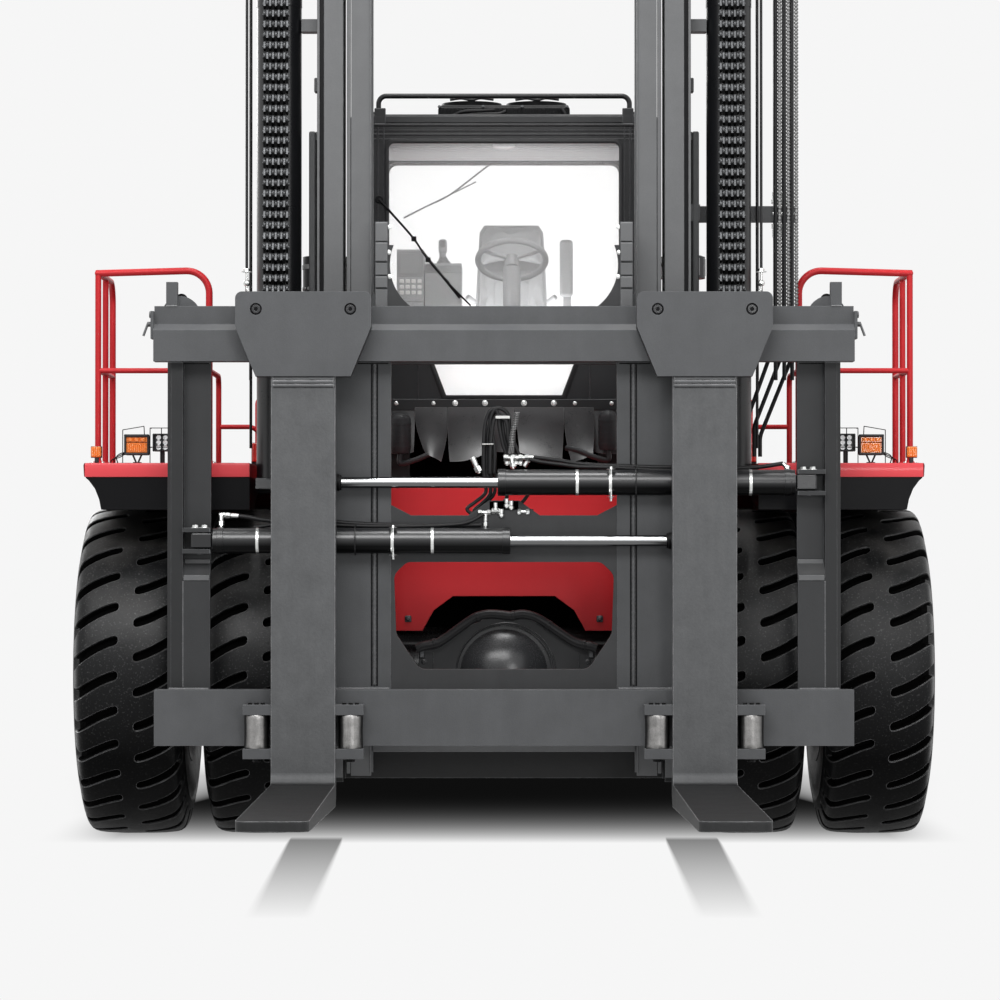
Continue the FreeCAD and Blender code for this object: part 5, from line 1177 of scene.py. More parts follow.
guards, cables = [], []
for x in MAST_HOSE_X:
    ribs = [(HOSE_FOOT_Z, 0.0), (HOSE_FOOT_Z, 0.0070)]
    z = HOSE_FOOT_Z + 0.010
    while z < SHEAVE_Z - 0.02:
        ribs += [(z, 0.0062), (z + 0.002, 0.0100), (z + 0.011, 0.0100), (z + 0.013, 0.0062)]
        z += 0.017
    ribs += [(SHEAVE_Z, 0.0070), (SHEAVE_Z, 0.0)]
    guards.append(moved(turned(ribs, 12), x, CABLE_Y))
for x in (-CABLE_X, CABLE_X):
    cables.append(bar((x, CABLE_Y, HOSE_FOOT_Z), (x, CABLE_Y, SHEAVE_Z), 0.0068, 14))
made = piece("mast_hose_guards", guards, guard_steel, "inner_mast_body")
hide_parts("hoses_front")
shorten_with_lift(made)
made = piece("mast_cables", cables, hose_rubber, "inner_mast_body")
shorten_with_lift(made)


# ---- rubber flaps under the cab -------------------------------------------------------------
def at_curve(a, b, c, share):
    """Point on the curve through a, b at the middle and c."""
    a, b, c = Vector(a), Vector(b), Vector(c)
    handle = 2 * b - (a + c) / 2
    return a * (1 - share) ** 2 + handle * 2 * share * (1 - share) + c * share ** 2


def flap(left, right, sag, y, curl):
    """Hanging rubber between two edges of three (x, z) points, its lower edge curled forward."""
    belly, thick, columns, rows = 0.012, 0.007, 14, 20
    points, faces = [], []
    for layer in (0, 1):
        for r in range(rows + 1):
            v = r / rows
            for c in range(columns + 1):
                u = c / columns
                p = at_curve(*left, v).lerp(at_curve(*right, v), u)
                z = p.y - sag * 4 * u * (1 - u) * v ** 3
                depth = y - curl * v ** 2.6 - belly * math.sin(math.pi * u) * v
                points.append((p.x, depth + layer * thick, z))
    across = columns + 1
    count = across * (rows + 1)
    for r in range(rows):
        for c in range(columns):
            a = r * across + c
            loop = [a, a + across, a + across + 1, a + 1]
            faces.append(loop)
            faces.append([count + n for n in loop[::-1]])
    rim = [c for c in range(across)] + [r * across + columns for r in range(1, rows + 1)]
    rim += [rows * across + c for c in reversed(range(columns))]
    rim += [r * across for r in reversed(range(1, rows))]
    for a, b in zip(rim, rim[1:] + rim[:1]):
        faces.append([a, b, count + b, count + a])
    return points, faces


FLAP_TOP = 2.126
flap_rows = [  # each edge as x at its top, then (x, z) at its middle and foot; sag, y, curl
    (-0.449, (-0.440, 2.02), (-0.392, 1.886), -0.287, (-0.286, 2.00), (-0.316, 1.850),
     -0.004, 0.230, 0.075),
    (-0.283, (-0.283, 2.00), (-0.272, 1.850), -0.060, (-0.070, 2.02), (-0.098, 1.888),
     0.012, 0.219, 0.085),
    (0.052, (0.066, 2.02), (0.078, 1.896), 0.302, (0.300, 2.00), (0.291, 1.855),
     0.010, 0.219, 0.085),
    (0.303, (0.308, 2.00), (0.338, 1.852), 0.452, (0.455, 2.02), (0.446, 1.888),
     0.008, 0.230, 0.075),
    (-0.060, (-0.058, 2.02), (-0.052, 1.905), 0.050, (0.056, 2.02), (0.062, 1.905),
     0.006, 0.226, 0.02),
    (0.452, (0.452, 2.0), (0.457, 1.90), 0.600, (0.600, 2.0), (0.596, 1.90), 0.01, 0.240, 0.01)]
flaps = [flap(((a, FLAP_TOP), b, c), ((d, FLAP_TOP), e, f), sag, y, curl)
         for a, b, c, d, e, f, sag, y, curl in flap_rows]
flaps.append(mirror(flaps[-1]))
made = piece("cab_front_flaps", flaps, flap_rubber, "chassis", sharp=50)
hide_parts("front_flaps")

boots = []
for x, z0, z1, radius in ((-0.520, 1.893, 2.095, 0.052), (0.522, 1.910, 2.110, 0.047)):
    ball = [(z0, 0.0), (z0, radius * 0.86), (z0 + 0.02, radius), (z1 - 0.035, radius),
            (z1 - 0.016, radius * 0.87), (z1 - 0.004, radius * 0.55), (z1, 0.0)]
    boots.append(moved(turned(ball, 28), x, 0.170))
    for n in range(5):
        z = z0 + 0.03 + n * 0.028
        boots.append(moved(hoop(z, z + 0.006, radius, radius + 0.003, 28), x, 0.170))
    boots.append(swept(curve_through([(x, 0.170, z0 + 0.01), (x, 0.155, z0 - 0.05),
                                      (x * 0.86, 0.150, z0 - 0.035),
                                      (x * 0.72, 0.170, z0 - 0.005),
                                      (x * 0.60, 0.205, z0 + 0.01)], 8), 0.014, 14))
piece("lift_hose_boots", boots, moulded, "chassis")

flange_bolts = [bolt((x, 0.2332, 2.147), AHEAD, 0.010, 0.008, 0.015)
                for x in (-0.247, -0.096, 0.101, 0.252)]
flange_bolts += [bolt((x, 0.2332, 2.146), AHEAD, 0.007, 0.006, 0.010)
                 for x in (-0.544, -0.356, 0.358, 0.543)]
piece("cab_flange_bolts", flange_bolts, zinc, "chassis")
strips = [block(-0.612, 0.612, 0.2335, 0.2385, 2.112, 2.168, 0.002)]
piece("flap_clamp_strip", strips, cab_paint, "chassis")


# ---- lamps ----------------------------------------------------------------------------------
def lens_box(x0, x1, y0, y1, z0, z1, ribs=7):
    """Lamp lens: a box with a slightly crowned front and upright flutes."""
    parts = [block(x0, x1, y0 + 0.006, y1, z0, z1, 0.005)]
    width = (x1 - x0 - 0.010) / ribs
    for n in range(ribs):
        x = x0 + 0.005 + (n + 0.5) * width
        flute = turned([(0.0, width * 0.48), (z1 - z0 - 0.010, width * 0.48)], 10, 180.0, 180.0)
        parts.append(moved(flute, x, y0 + 0.007, z0 + 0.005))
    return gathered(parts)


def strip_frame(x0, x1, y0, y1, z0, z1, upper, lower, sides, edge):
    """Four strips round an opening, with the widths of each."""
    return [block(a, b, y0, y1, c, d, edge)
            for a, b, c, d in ((x0, x1, z1 - upper, z1), (x0, x1, z0, z0 + lower),
                               (x0, x0 + sides, z0, z1), (x1 - sides, x1, z0, z1))]


def lamp_set():
    """Dark housings, amber lenses, red lenses, pale diodes and wire cages of one fender."""
    dark, amber, red, pale, wire = [], [], [], [], []
    y = -0.740  # front edge of the fender
    amber.append(lens_box(1.937, 1.986, y + 0.033, y + 0.072, 1.852, 1.903, 4))
    dark.append(block(1.9345, 1.9885, y + 0.070, y + 0.080, 1.8495, 1.9055, 0.002))
    dark.append(block(1.948, 1.968, y + 0.045, y + 0.062, 1.823, 1.852, 0.003))
    x0, x1, z0, z1 = 1.705, 1.825, 1.862, 1.962
    dark.append(block(x0, x1, y + 0.046, y + 0.110, z0, z1, 0.008))
    dark += strip_frame(x0, x1, y + 0.030, y + 0.050, z0, z1, 0.012, 0.010, 0.009, 0.003)
    amber.append(lens_box(x0 + 0.010, x1 - 0.010, y + 0.035, y + 0.047, z0 + 0.011,
                          z1 - 0.040, 9))
    amber.append(lens_box(x0 + 0.010, x1 - 0.010, y + 0.037, y + 0.047, z1 - 0.037,
                          z1 - 0.013, 3))
    for side in SIDES:
        dark.append(bar((1.765 + side * 0.004, y + 0.068, 1.825),
                        (1.765 + side * 0.022, y + 0.068, 1.866), 0.0045, 10))
    dark.append(block(1.745, 1.785, y + 0.055, y + 0.085, 1.8225, 1.829, 0.001))
    x0, x1, z0, z1 = 1.600, 1.690, 1.880, 1.966
    dark.append(block(x0, x1, y + 0.060, y + 0.104, z0, z1, 0.010))
    for n in range(6):
        dark.append(block(x0 + 0.006 + n * 0.0135, x0 + 0.011 + n * 0.0135, y + 0.100,
                          y + 0.120, z0 + 0.006, z1 - 0.006, 0.001))
    dark += strip_frame(x0, x1, y + 0.050, y + 0.064, z0, z1, 0.008, 0.008, 0.008, 0.003)
    for row in range(3):
        for column in range(2):
            where = (x0 + 0.029 + column * 0.032, y + 0.060, z0 + 0.019 + row * 0.024)
            cup = [(0, 0.0115), (0.005, 0.0115), (0.0035, 0.0085), (0.0015, 0.0050),
                   (0.0040, 0.0030), (0.0048, 0.0)]
            pale.append(place(turned(cup, 14), toward(where, AHEAD)))
    dark.append(block(1.634, 1.656, y + 0.076, y + 0.096, 1.823, 1.884, 0.003))
    cage = 0.0022
    for z in (1.900, 1.992):
        wire.append(swept([(1.580, y + 0.100, z), (1.580, y + 0.030, z), (1.700, y + 0.030, z),
                           (1.700, y + 0.100, z)], cage, 6))
    for x, yy in ((1.580, 0.032), (1.700, 0.032), (1.645, 0.029)):
        wire.append(bar((x, y + yy, 1.823 if x > 1.6 else 1.900), (x, y + yy, 1.992), cage, 6))
    for a, b in (((1.838, 0.10, 1.823), (1.838, 0.10, 1.985)),
                 ((1.838, 0.10, 1.985), (1.728, 0.02, 2.000)),
                 ((1.728, 0.02, 2.000), (1.728, 0.045, 1.955))):
        wire.append(bar((a[0], y + a[1], a[2]), (b[0], y + b[1], b[2]), cage, 6))
    for n in range(3):
        wire.append(swept(curve_through(
            [(1.900 - 0.018 * n, y + 0.13, 1.824), (1.890 - 0.01 * n, y + 0.12, 1.842 + 0.006 * n),
             (1.850, y + 0.115, 1.855 + 0.008 * n), (1.815, y + 0.11, 1.880)], 5), 0.0028, 6))
    red.append(lens_box(1.219, 1.267, 0.122, 0.165, 1.850, 1.943, 3))
    dark.append(block(1.216, 1.270, 0.160, 0.200, 1.823, 1.946, 0.004))
    dark.append(block(1.222, 1.264, 0.135, 0.165, 1.823, 1.852, 0.003))
    return dark, amber, red, pale, wire


def rear_lamps():
    """Cluster on the counterweight: stop, turn and reversing lenses in one housing."""
    lenses = [[lens_box(x0, x1, 5.636, 5.660, 2.358, 2.452, ribs)]
              for x0, x1, ribs in ((1.172, 1.222, 4), (1.226, 1.322, 8), (1.138, 1.168, 3))]
    return [[block(1.130, 1.330, 5.565, 5.640, 2.350, 2.460, 0.010)]] + lenses


def lens_material(name, colour, strength=0.08):
    """Moulded lens: fluted plastic with a faint painted glow for light scattered inside it."""
    made, tree, shader = new_material(name, Roughness=0.16, Coat_Weight=0.5)
    cells = add_node(tree, "ShaderNodeTexVoronoi", {"Vector": object_place(tree),
                     "Scale": 260.0}).outputs["Distance"]
    base = toned(tree, colour, spread(tree, cells, 0.0, 0.8, 0.72, 1.12))
    tree.links.new(base, shader.inputs["Base Color"])
    tree.links.new(base, shader.inputs["Emission Color"])
    shader.inputs["Emission Strength"].default_value = strength
    raise_relief(tree, shader, cells, 0.002, 0.3)
    return made


amber_lens = lens_material("amber_lens", (0.80, 0.20, 0.025))
red_lens = lens_material("red_lens", (0.72, 0.03, 0.02))
pale_lens = lens_material("pale_diodes", (0.78, 0.79, 0.80), 0.15)
fenders = [gathered(some) for some in lamp_set()]
counterweight = [gathered(some) for some in rear_lamps()] + [None]
for name, finish, slot, front, back in zip(
        ("lamp_housings", "amber_lenses", "red_lenses", "pale_lenses", "lamp_cages"),
        (moulded, amber_lens, red_lens, pale_lens, black_paint),
        ("plastic", "lamp_lens", "lamp_lens", "lamp_lens", "black_paint"), fenders,
        counterweight):
    made = piece(name, both(front) + (both(back) if back else []), finish, "chassis")
    if name == "lamp_housings":
        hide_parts("lamps")


# ---- cab ------------------------------------------------------------------------------------
def frame_ring(outer, inner, y0, y1):
    """Flat ring between two outlines with the same number of (x, z) points, its front
    edges chamfered."""
    count = len(outer)

    def between(share):
        return [(o[0] + (i[0] - o[0]) * share, o[1] + (i[1] - o[1]) * share)
                for o, i in zip(outer, inner)]

    loops = [(between(0.15), y0), (outer, y0 + 0.002), (outer, y1), (inner, y1),
             (inner, y0 + 0.002), (between(0.85), y0)]
    points = [(p[0], y, p[1]) for loop, y in loops for p in loop]
    faces = []
    for layer in range(len(loops)):
        after = (layer + 1) % len(loops)
        for n in range(count):
            m = (n + 1) % count
            faces.append([layer * count + n, layer * count + m, after * count + m,
                          after * count + n])
    return points, faces


cab_trim, gaskets = [], []
# header: deep front beam, gutter, ribs and the end brackets of the roof rail
for z0, z1, y0 in ((3.566, 3.600, 0.2455), (3.549, 3.560, 0.2380), (3.522, 3.532, 0.2455),
                   (3.500, 3.512, 0.2440), (3.478, 3.486, 0.2460)):
    cab_trim.append(block(-0.745, 0.745, y0, 0.2515, z0, z1, 0.002))
ribs = [(0.598, 0.655, 0.2440, 0.2515, 3.549, 3.640, 0.004),
        (0.612, 0.668, 0.405, 0.455, 3.6125, 3.640, 0.004)]
ribs += [(x0, x1, 0.2430, 0.2515, 2.18, 3.545, 0.002)
         for x0, x1 in ((0.604, 0.612), (0.632, 0.644), (0.664, 0.676), (0.716, 0.728))]
ribs += [(0.783, 0.794, 0.30, 1.93, 3.548, 3.572, 0.003),
         (0.430, 0.437, 0.2430, 0.2515, 2.160, 2.520, 0.002)]
for row in ribs:
    cab_trim += both(block(*row))
piece("cab_front_ribs", cab_trim, cab_paint, "chassis")
gaskets.append(frame_ring(rounded_outline(-0.604, 0.604, 2.546, 3.484, 0.048),
                          rounded_outline(-0.582, 0.582, 2.568, 3.462, 0.030), 0.243, 0.272))
low_out = [(-0.438, 2.516), (0.438, 2.516), (0.314, 2.168), (-0.314, 2.168)]
low_in = [(-0.408, 2.494), (0.408, 2.494), (0.292, 2.188), (-0.292, 2.188)]
gaskets.append(frame_ring(low_out, low_in, 0.243, 0.272))
rear_ring = frame_ring(rounded_outline(-0.656, 0.656, 2.544, 3.544, 0.060),
                       rounded_outline(-0.630, 0.630, 2.570, 3.518, 0.046), 0.0, 0.020)
gaskets.append(place(rear_ring, Matrix.Translation((0, 1.957, 0)) @
                     Matrix.Rotation(math.pi, 4, "Z")))
quarter_ring = frame_ring(rounded_outline(1.436, 1.864, 2.546, 3.484, 0.050),
                          rounded_outline(1.460, 1.840, 2.570, 3.460, 0.036), 0.0, 0.020)
gaskets += both(facing_left(moved(quarter_ring, 0, -0.784, 0)))
roof_ring = frame_ring(rounded_outline(-0.484, 0.484, 0.406, 0.874, 0.030),
                       rounded_outline(-0.460, 0.460, 0.430, 0.850, 0.020), 0.0, 0.012)
gaskets.append(place(roof_ring, Matrix.Translation((0, 0, 3.618)) @
                     Matrix.Rotation(-math.pi / 2, 4, "X")))
piece("window_gaskets", gaskets, hose_rubber, "chassis")

# door panes, seals and latches ride with each leaf
for side in SIDES:
    name = SIDE_NAMES[side]
    panes, seals, metal = [], [], []
    for z0, z1 in ((2.722, 3.408), (2.242, 2.638)):
        pane = slab(rounded_outline(0.442, 1.278, z0, z1, 0.058), 0.0, 0.006, 0.001)
        panes.append(facing_left(moved(pane, 0, -0.756, 0)))
        ring = frame_ring(rounded_outline(0.428, 1.292, z0 - 0.014, z1 + 0.014, 0.066),
                          rounded_outline(0.452, 1.268, z0 + 0.010, z1 - 0.010, 0.050),
                          0.0, 0.018)
        seals.append(facing_left(moved(ring, 0, -0.778, 0)))
    metal.append(block(0.7735, 0.786, 0.385, 0.425, 2.905, 3.010, 0.003))
    metal.append(bar((0.774, 0.405, 2.975), (0.792, 0.405, 2.975), 0.014, 20, 0.002))
    for z in (2.560, 2.860):
        metal.append(bar((0.7735, 0.404, z), (0.7785, 0.404, z), 0.024, 20, 0.002))
    for z in (2.354, 3.204):
        for dz in (0.012, 0.040):
            metal.append(bolt((0.792, 1.336, z + dz), OUTWARD, 0.007, 0.005, 0.010))
    body = name + "_door"
    piece("door_panes_" + name, on_side(side, panes), cab_pane, body)
    piece("door_seals_" + name, on_side(side, seals), hose_rubber, body)
    piece("door_latch_" + name, on_side(side, metal), zinc, body)

# pale film behind the lower pane, glowing as painted light, lining and dome lamp behind the windscreen
film = slab([(-0.412, 2.497), (0.412, 2.497), (0.294, 2.186), (-0.294, 2.186)], 0.288, 0.291,
            0.0005)
film_glow, tree, shader = new_material("frosted_film_glow", Base_Color=(0.90, 0.90, 0.90, 1),
                                        Roughness=0.6)
tree.links.new(mix_colours(tree, noise(tree, object_place(tree), 900.0, 2.0),
                           (0.86, 0.86, 0.86, 1), (0.94, 0.94, 0.94, 1)),
               shader.inputs["Base Color"])
# the film's glow is painted light
shader.inputs["Emission Color"].default_value = (1, 1, 1, 1)
shader.inputs["Emission Strength"].default_value = 0.42
piece("lower_window_film", [film], film_glow, "chassis")

lining_cloth, tree, shader = new_material("headlining", Roughness=0.85)
weave = add_node(tree, "ShaderNodeTexVoronoi", {"Vector": object_place(tree),
                 "Scale": 260.0}).outputs["Distance"]
tone = use_group(tree, "mottle", size=5.0, grain=90.0, contrast=0.05)["Tone"]
shade = times(tree, tone, spread(tree, weave, 0.0, 0.8, 0.90, 1.05))
tree.links.new(toned(tree, (0.46, 0.465, 0.47), shade), shader.inputs["Base Color"])
raise_relief(tree, shader, weave, 0.001, 0.5)
lining = [block(-0.716, 0.716, 0.875, 1.886, 3.538, 3.549, 0.004),
          block(-0.716, 0.716, 0.312, 0.415, 3.538, 3.549, 0.004),
          block(-0.716, -0.475, 0.412, 0.878, 3.538, 3.549, 0.004),
          block(0.475, 0.716, 0.412, 0.878, 3.538, 3.549, 0.004),
          block(-0.716, 0.716, 1.876, 1.8895, 2.155, 2.552, 0.004)]
for row in ((0.6455, 0.716, 1.876, 1.8895, 2.555, 3.534),
            (0.7085, 0.7195, 1.372, 1.445, 2.155, 3.534),
            (0.7085, 0.7195, 1.445, 1.860, 2.155, 2.552),
            (0.7085, 0.7195, 0.312, 0.358, 2.155, 3.534)):
    lining += both(block(*row, 0.004))
for n in range(9):
    y = 0.96 + n * 0.10
    lining.append(block(-0.60, 0.60, y, y + 0.012, 3.5345, 3.5385, 0.0015))
piece("cab_lining", lining, lining_cloth, "chassis")
mat = [block(-0.700, 0.700, 0.330, 1.860, 2.1495, 2.158, 0.003)]
for n in range(24):
    mat.append(block(-0.66, 0.66, 0.37 + n * 0.06, 0.39 + n * 0.06, 2.158, 2.1615, 0.0015))
piece("cab_floor_mat", mat, moulded, "chassis")
dome = turned([(0, 0.062), (0.012, 0.060), (0.020, 0.045), (0.024, 0.0)], 28)
piece("cab_dome_lamp", [place(dome, toward((0.0, 1.05, 3.539), (0, 0, -1)))], pale_lens,
      "chassis")

# wipers of the windscreen and the rear window
wiper = []
arm = [(-0.631, 0.236, 3.178), (-0.555, 0.234, 3.092), (-0.455, 0.232, 2.977),
       (-0.383, 0.231, 2.871), (-0.270, 0.232, 2.742), (-0.168, 0.238, 2.640)]
wiper.append(swept(curve_through(arm, 5), lambda share: 0.0065 - 0.002 * share, 8))
wiper.append(bar((-0.631, 0.232, 3.178), (-0.631, 0.250, 3.178), 0.020, 20, 0.003))
wiper.append(bar((-0.414, 0.240, 2.916), (-0.222, 0.240, 2.678), 0.0065, 8))
wiper.append(bar((-0.402, 0.248, 2.901), (-0.230, 0.248, 2.688), 0.0040, 6))
for share in (0.12, 0.5, 0.86):
    p = Vector((-0.414, 0.236, 2.916)).lerp(Vector((-0.222, 0.236, 2.678)), share)
    q = Vector((-0.383, 0.231, 2.871)).lerp(Vector((-0.168, 0.238, 2.640)), share)
    wiper.append(bar(p, q, 0.0042, 6))
for x, z in ((-0.455, 2.977), (-0.383, 2.871)):
    wiper.append(block(x - 0.013, x + 0.013, 0.224, 0.240, z - 0.013, z + 0.013, 0.003))
wiper.append(swept(curve_through([(-0.02, 1.962, 3.540), (-0.077, 1.965, 3.525),
                                  (-0.29, 1.967, 3.364), (-0.42, 1.966, 3.298),
                                  (-0.55, 1.964, 3.232)], 6), 0.0048, 8))
wiper.append(bar((-0.154, 1.966, 3.430), (-0.42, 1.966, 3.298), 0.0040, 6))
wiper.append(bar((-0.02, 1.950, 3.540), (-0.02, 1.970, 3.540), 0.018, 16, 0.003))
piece("wipers", wiper, black_paint, "chassis")

# brackets beside the windscreen
brackets = [side_block(side, 0.585, 0.640, y0, 0.2505, z0, z1, 0.005)
            for side in SIDES for z0, z1, y0 in ((2.60, 2.68, 0.225), (2.80, 2.86, 0.228),
                                                 (2.98, 3.05, 0.225))]
piece("windscreen_brackets", brackets, mast_paint, "chassis")


# ---- roof -----------------------------------------------------------------------------------
cooler, cooler_metal, cooler_hoses = [], [], []
FAN_Y = 1.260
for x in (-0.172, 0.172):
    for n in range(7):
        r = 0.024 + n * 0.0185
        ring = [(0.0, r), (0.0024, r + 0.0012), (0.0048, r), (0.0024, r - 0.0012), (0.0, r)]
        cooler_metal.append(moved(turned(ring, 40), x, FAN_Y, 3.7700))
    for n in range(5):
        a = math.pi * n / 5
        c, s = 0.150 * math.cos(a), 0.150 * math.sin(a)
        cooler_metal.append(bar((x - c, FAN_Y - s, 3.7695), (x + c, FAN_Y + s, 3.7695), 0.0022,
                                6))
    for a, _, _ in round_places(7, 0.0):
        blade = []
        for r, twist in ((0.045, 0.62), (0.080, 0.50), (0.118, 0.38)):
            for e in (-0.30, 0.30):
                b = a + e * (0.045 + 0.4 * r) / r
                blade.append((x + r * math.cos(b), FAN_Y + r * math.sin(b),
                              3.7615 + 0.010 * (1 if e > 0 else -1) * twist))
        under = [(p[0], p[1], p[2] - 0.002) for p in blade]
        faces = [[0, 1, 3, 2], [2, 3, 5, 4], [8, 9, 7, 6], [10, 11, 9, 8], [0, 6, 7, 1],
                 [4, 5, 11, 10], [1, 7, 9, 3], [3, 9, 11, 5], [6, 0, 2, 8], [8, 2, 4, 10]]
        cooler.append((blade + under, faces))
for x in [-0.32 + n * 0.0206 for n in range(32)]:
    cooler.append(block(x, x + 0.0065, 0.9565, 0.9605, 3.628, 3.722, 0.001))
for x in (-0.338, -0.110, 0.095, 0.330):
    cooler_metal.append(bolt((x, 0.9595, 3.728), AHEAD, 0.0065, 0.005, 0.009))
    cooler_metal.append(bolt((x, 0.9595, 3.622), AHEAD, 0.0055, 0.004, 0.008))
knots = [[(-0.330, 1.00, 3.640), (-0.375, 0.985, 3.650), (-0.410, 0.970, 3.636),
          (-0.430, 0.965, 3.612)],
         [(-0.330, 1.02, 3.665), (-0.385, 1.00, 3.676), (-0.435, 0.985, 3.650),
          (-0.455, 0.98, 3.612)],
         [(-0.300, 0.952, 3.640), (-0.250, 0.945, 3.672), (-0.140, 0.944, 3.688),
          (-0.030, 0.947, 3.690), (0.010, 0.955, 3.705)],
         [(-0.300, 0.950, 3.662), (-0.220, 0.944, 3.700), (-0.120, 0.944, 3.706),
          (-0.050, 0.952, 3.710)],
         [(0.300, 0.952, 3.720), (0.318, 0.944, 3.690), (0.322, 0.944, 3.655),
          (0.310, 0.952, 3.632)]]
cooler_hoses += [hose(k, 0.0085, 8, 10) for k in knots]
for x0, x1 in ((-0.285, -0.055), (0.060, 0.290)):
    cooler_hoses.append(hose([(x0, 1.105, 3.782), (x0 + 0.06, 1.11, 3.790),
                              ((x0 + x1) / 2, 1.10, 3.780), (x1 - 0.07, 1.11, 3.791),
                              (x1, 1.105, 3.783)], 0.0075, 6, 8))
piece("roof_fan_blades", cooler, black_paint, "chassis")
piece("roof_fan_guards", cooler_metal, chain_steel, "chassis")
piece("roof_cooler_hoses", cooler_hoses, hose_rubber, "chassis")


# ---- seat and controls ----------------------------------------------------------------------
def woven(name, colour, scale):
    """Seat cloth: over and under threads with a little wear in tone."""
    made, tree, shader = new_material(name, Roughness=0.9, Sheen_Weight=0.25)
    where = object_place(tree)
    threads = []
    for turn in (0.0, math.pi / 2):
        way = add_node(tree, "ShaderNodeMapping", {"Vector": where, "Rotation": (turn, 0.3, turn)})
        threads.append(add_node(tree, "ShaderNodeTexWave", {"Vector": way.outputs[0],
                       "Scale": scale / 6.0, "Distortion": 1.2}).outputs["Fac"])
    weave = math_node(tree, "MAXIMUM", threads[0], threads[1])
    tone = use_group(tree, "mottle", size=7.0, grain=120.0, contrast=0.06)["Tone"]
    shade = times(tree, tone, spread(tree, weave, 0.3, 1.0, 0.88, 1.04))
    tree.links.new(toned(tree, colour, shade), shader.inputs["Base Color"])
    raise_relief(tree, shader, weave, 0.0006, 0.35)
    return made


seat_cloth = woven("seat_cloth", (0.29, 0.295, 0.30), 900.0)
seat_centre = woven("seat_centre_cloth", (0.26, 0.265, 0.27), 700.0)
pale_plastic = rubber("console_plastic", (0.33, 0.335, 0.34), roughness=0.55, speckle=0.0,
                      relief=0.2, grain=380.0, dust=0.05)


def baked(source):
    """Mesh of an object with its modifiers applied."""
    return bpy.data.meshes.new_from_object(
        source.evaluated_get(bpy.context.evaluated_depsgraph_get()))


PUFF_STEPS = 20


def stuffed(name, part, material, cap=0.024, voxel=0.010):
    """Cushion: a closed shape remeshed, blown up as cloth with its movement capped, then
    subdivided once."""
    start = piece(name + "_start", [part], material, "chassis")
    start.modifiers.new("even", "REMESH").voxel_size = voxel
    made = bpy.data.objects.new(name, baked(start))
    bpy.data.objects.remove(start)
    bpy.context.scene.collection.objects.link(made)
    before = [v.co.copy() for v in made.data.vertices]
    cloth = made.modifiers.new("pressure", "CLOTH")
    cloth.settings.quality = 4
    cloth.settings.use_pressure = True
    cloth.settings.uniform_pressure_force = 4.0
    cloth.settings.effector_weights.gravity = 0.0
    cloth.point_cache.frame_start, cloth.point_cache.frame_end = 1, PUFF_STEPS
    for n in range(1, PUFF_STEPS + 1):
        bpy.context.scene.frame_set(n)
    blown = baked(made)
    made.modifiers.clear()
    for vertex, old, new in zip(made.data.vertices, before, blown.vertices):
        move = new.co - old
        vertex.co = old + move * min(1.0, cap / max(move.length, 1e-9))
    bpy.context.scene.frame_set(1)
    made.modifiers.new("fine", "SUBSURF").levels = 1
    fine = baked(made)
    made.modifiers.clear()
    made.data = fine
    made.data.shade_smooth()
    if not made.data.materials:
        made.data.materials.append(material)
    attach(made, "chassis")
    return made


def level(part, z):
    """Lay a slab made facing -Y flat, its face upward at height z."""
    return place(part, Matrix(((1, 0, 0, 0), (0, 0, 1, 0), (0, -1, 0, z), (0, 0, 0, 1))))


PAD_EDGE = 0.012
cushion = slab(rounded_outline(-0.192, 0.272, 1.040, 1.470, 0.060), 0.0, 0.096, PAD_EDGE)
stuffed("seat_cushion", level(cushion, 2.536), seat_cloth)
back_outline = [(-0.142, 2.575), (0.222, 2.575), (0.238, 2.640), (0.222, 2.900), (0.214, 2.925),
                (-0.134, 2.925), (-0.142, 2.900), (-0.158, 2.640)]
stuffed("seat_back_rest", moved(slab(back_outline, 0.0, 0.070, PAD_EDGE), 0, 1.504, 0),
        seat_cloth, cap=0.020)
head_outline = [(-0.130, 2.945), (0.210, 2.945), (0.202, 3.100), (0.178, 3.143), (0.138, 3.155),
                (-0.058, 3.155), (-0.098, 3.143), (-0.122, 3.100)]
stuffed("seat_head_rest", moved(slab(head_outline, 0.0, 0.060, PAD_EDGE), 0, 1.508, 0),
        seat_cloth, cap=0.018)
centre = slab(rounded_outline(-0.062, 0.142, 2.640, 2.860, 0.03), 0.0, 0.012, PAD_EDGE)
stuffed("seat_centre_pad", moved(centre, 0, 1.481, 0), seat_centre, cap=0.006, voxel=0.006)

seat_frame, seat_dark = [], []
seat_frame.append(slab([(-0.150, 2.545), (0.230, 2.545), (0.238, 2.640), (0.212, 3.120),
                        (0.186, 3.158), (-0.106, 3.158), (-0.132, 3.120), (-0.158, 2.640)],
                       1.578, 1.600, 0.008))
seat_frame.append(block(-0.200, 0.280, 1.030, 1.555, 2.420, 2.444, 0.008))
SEAT_X = 0.040
for side in SIDES:
    x = SEAT_X + side * 0.214
    seat_frame.append(bar((x - 0.022, 1.540, 2.620), (x + 0.022, 1.540, 2.620), 0.038, 24, 0.005))
    seat_frame.append(bar((SEAT_X + side * 0.195, 1.500, 2.735),
                          (SEAT_X + side * 0.238, 1.465, 2.765), 0.016, 14, 0.004))
for n in range(9):
    z = 2.172 + n * 0.026
    inset = 0.010 * (n % 2)
    seat_dark.append(block(-0.140 + inset, 0.220 - inset, 1.130 + inset, 1.550 - inset, z,
                           z + 0.027, 0.006))
seat_dark.append(block(-0.150, 0.230, 1.120, 1.560, 2.1495, 2.172, 0.004))
seat_dark.append(block(-0.150, 0.230, 1.120, 1.560, 2.404, 2.421, 0.004))
for x in (-0.170, 0.250):
    seat_dark.append(block(x - 0.014, x + 0.014, 1.440, 1.500, 2.440, 2.610, 0.006))
made = piece("seat_shell", seat_frame, pale_plastic, "chassis")
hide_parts("seat")
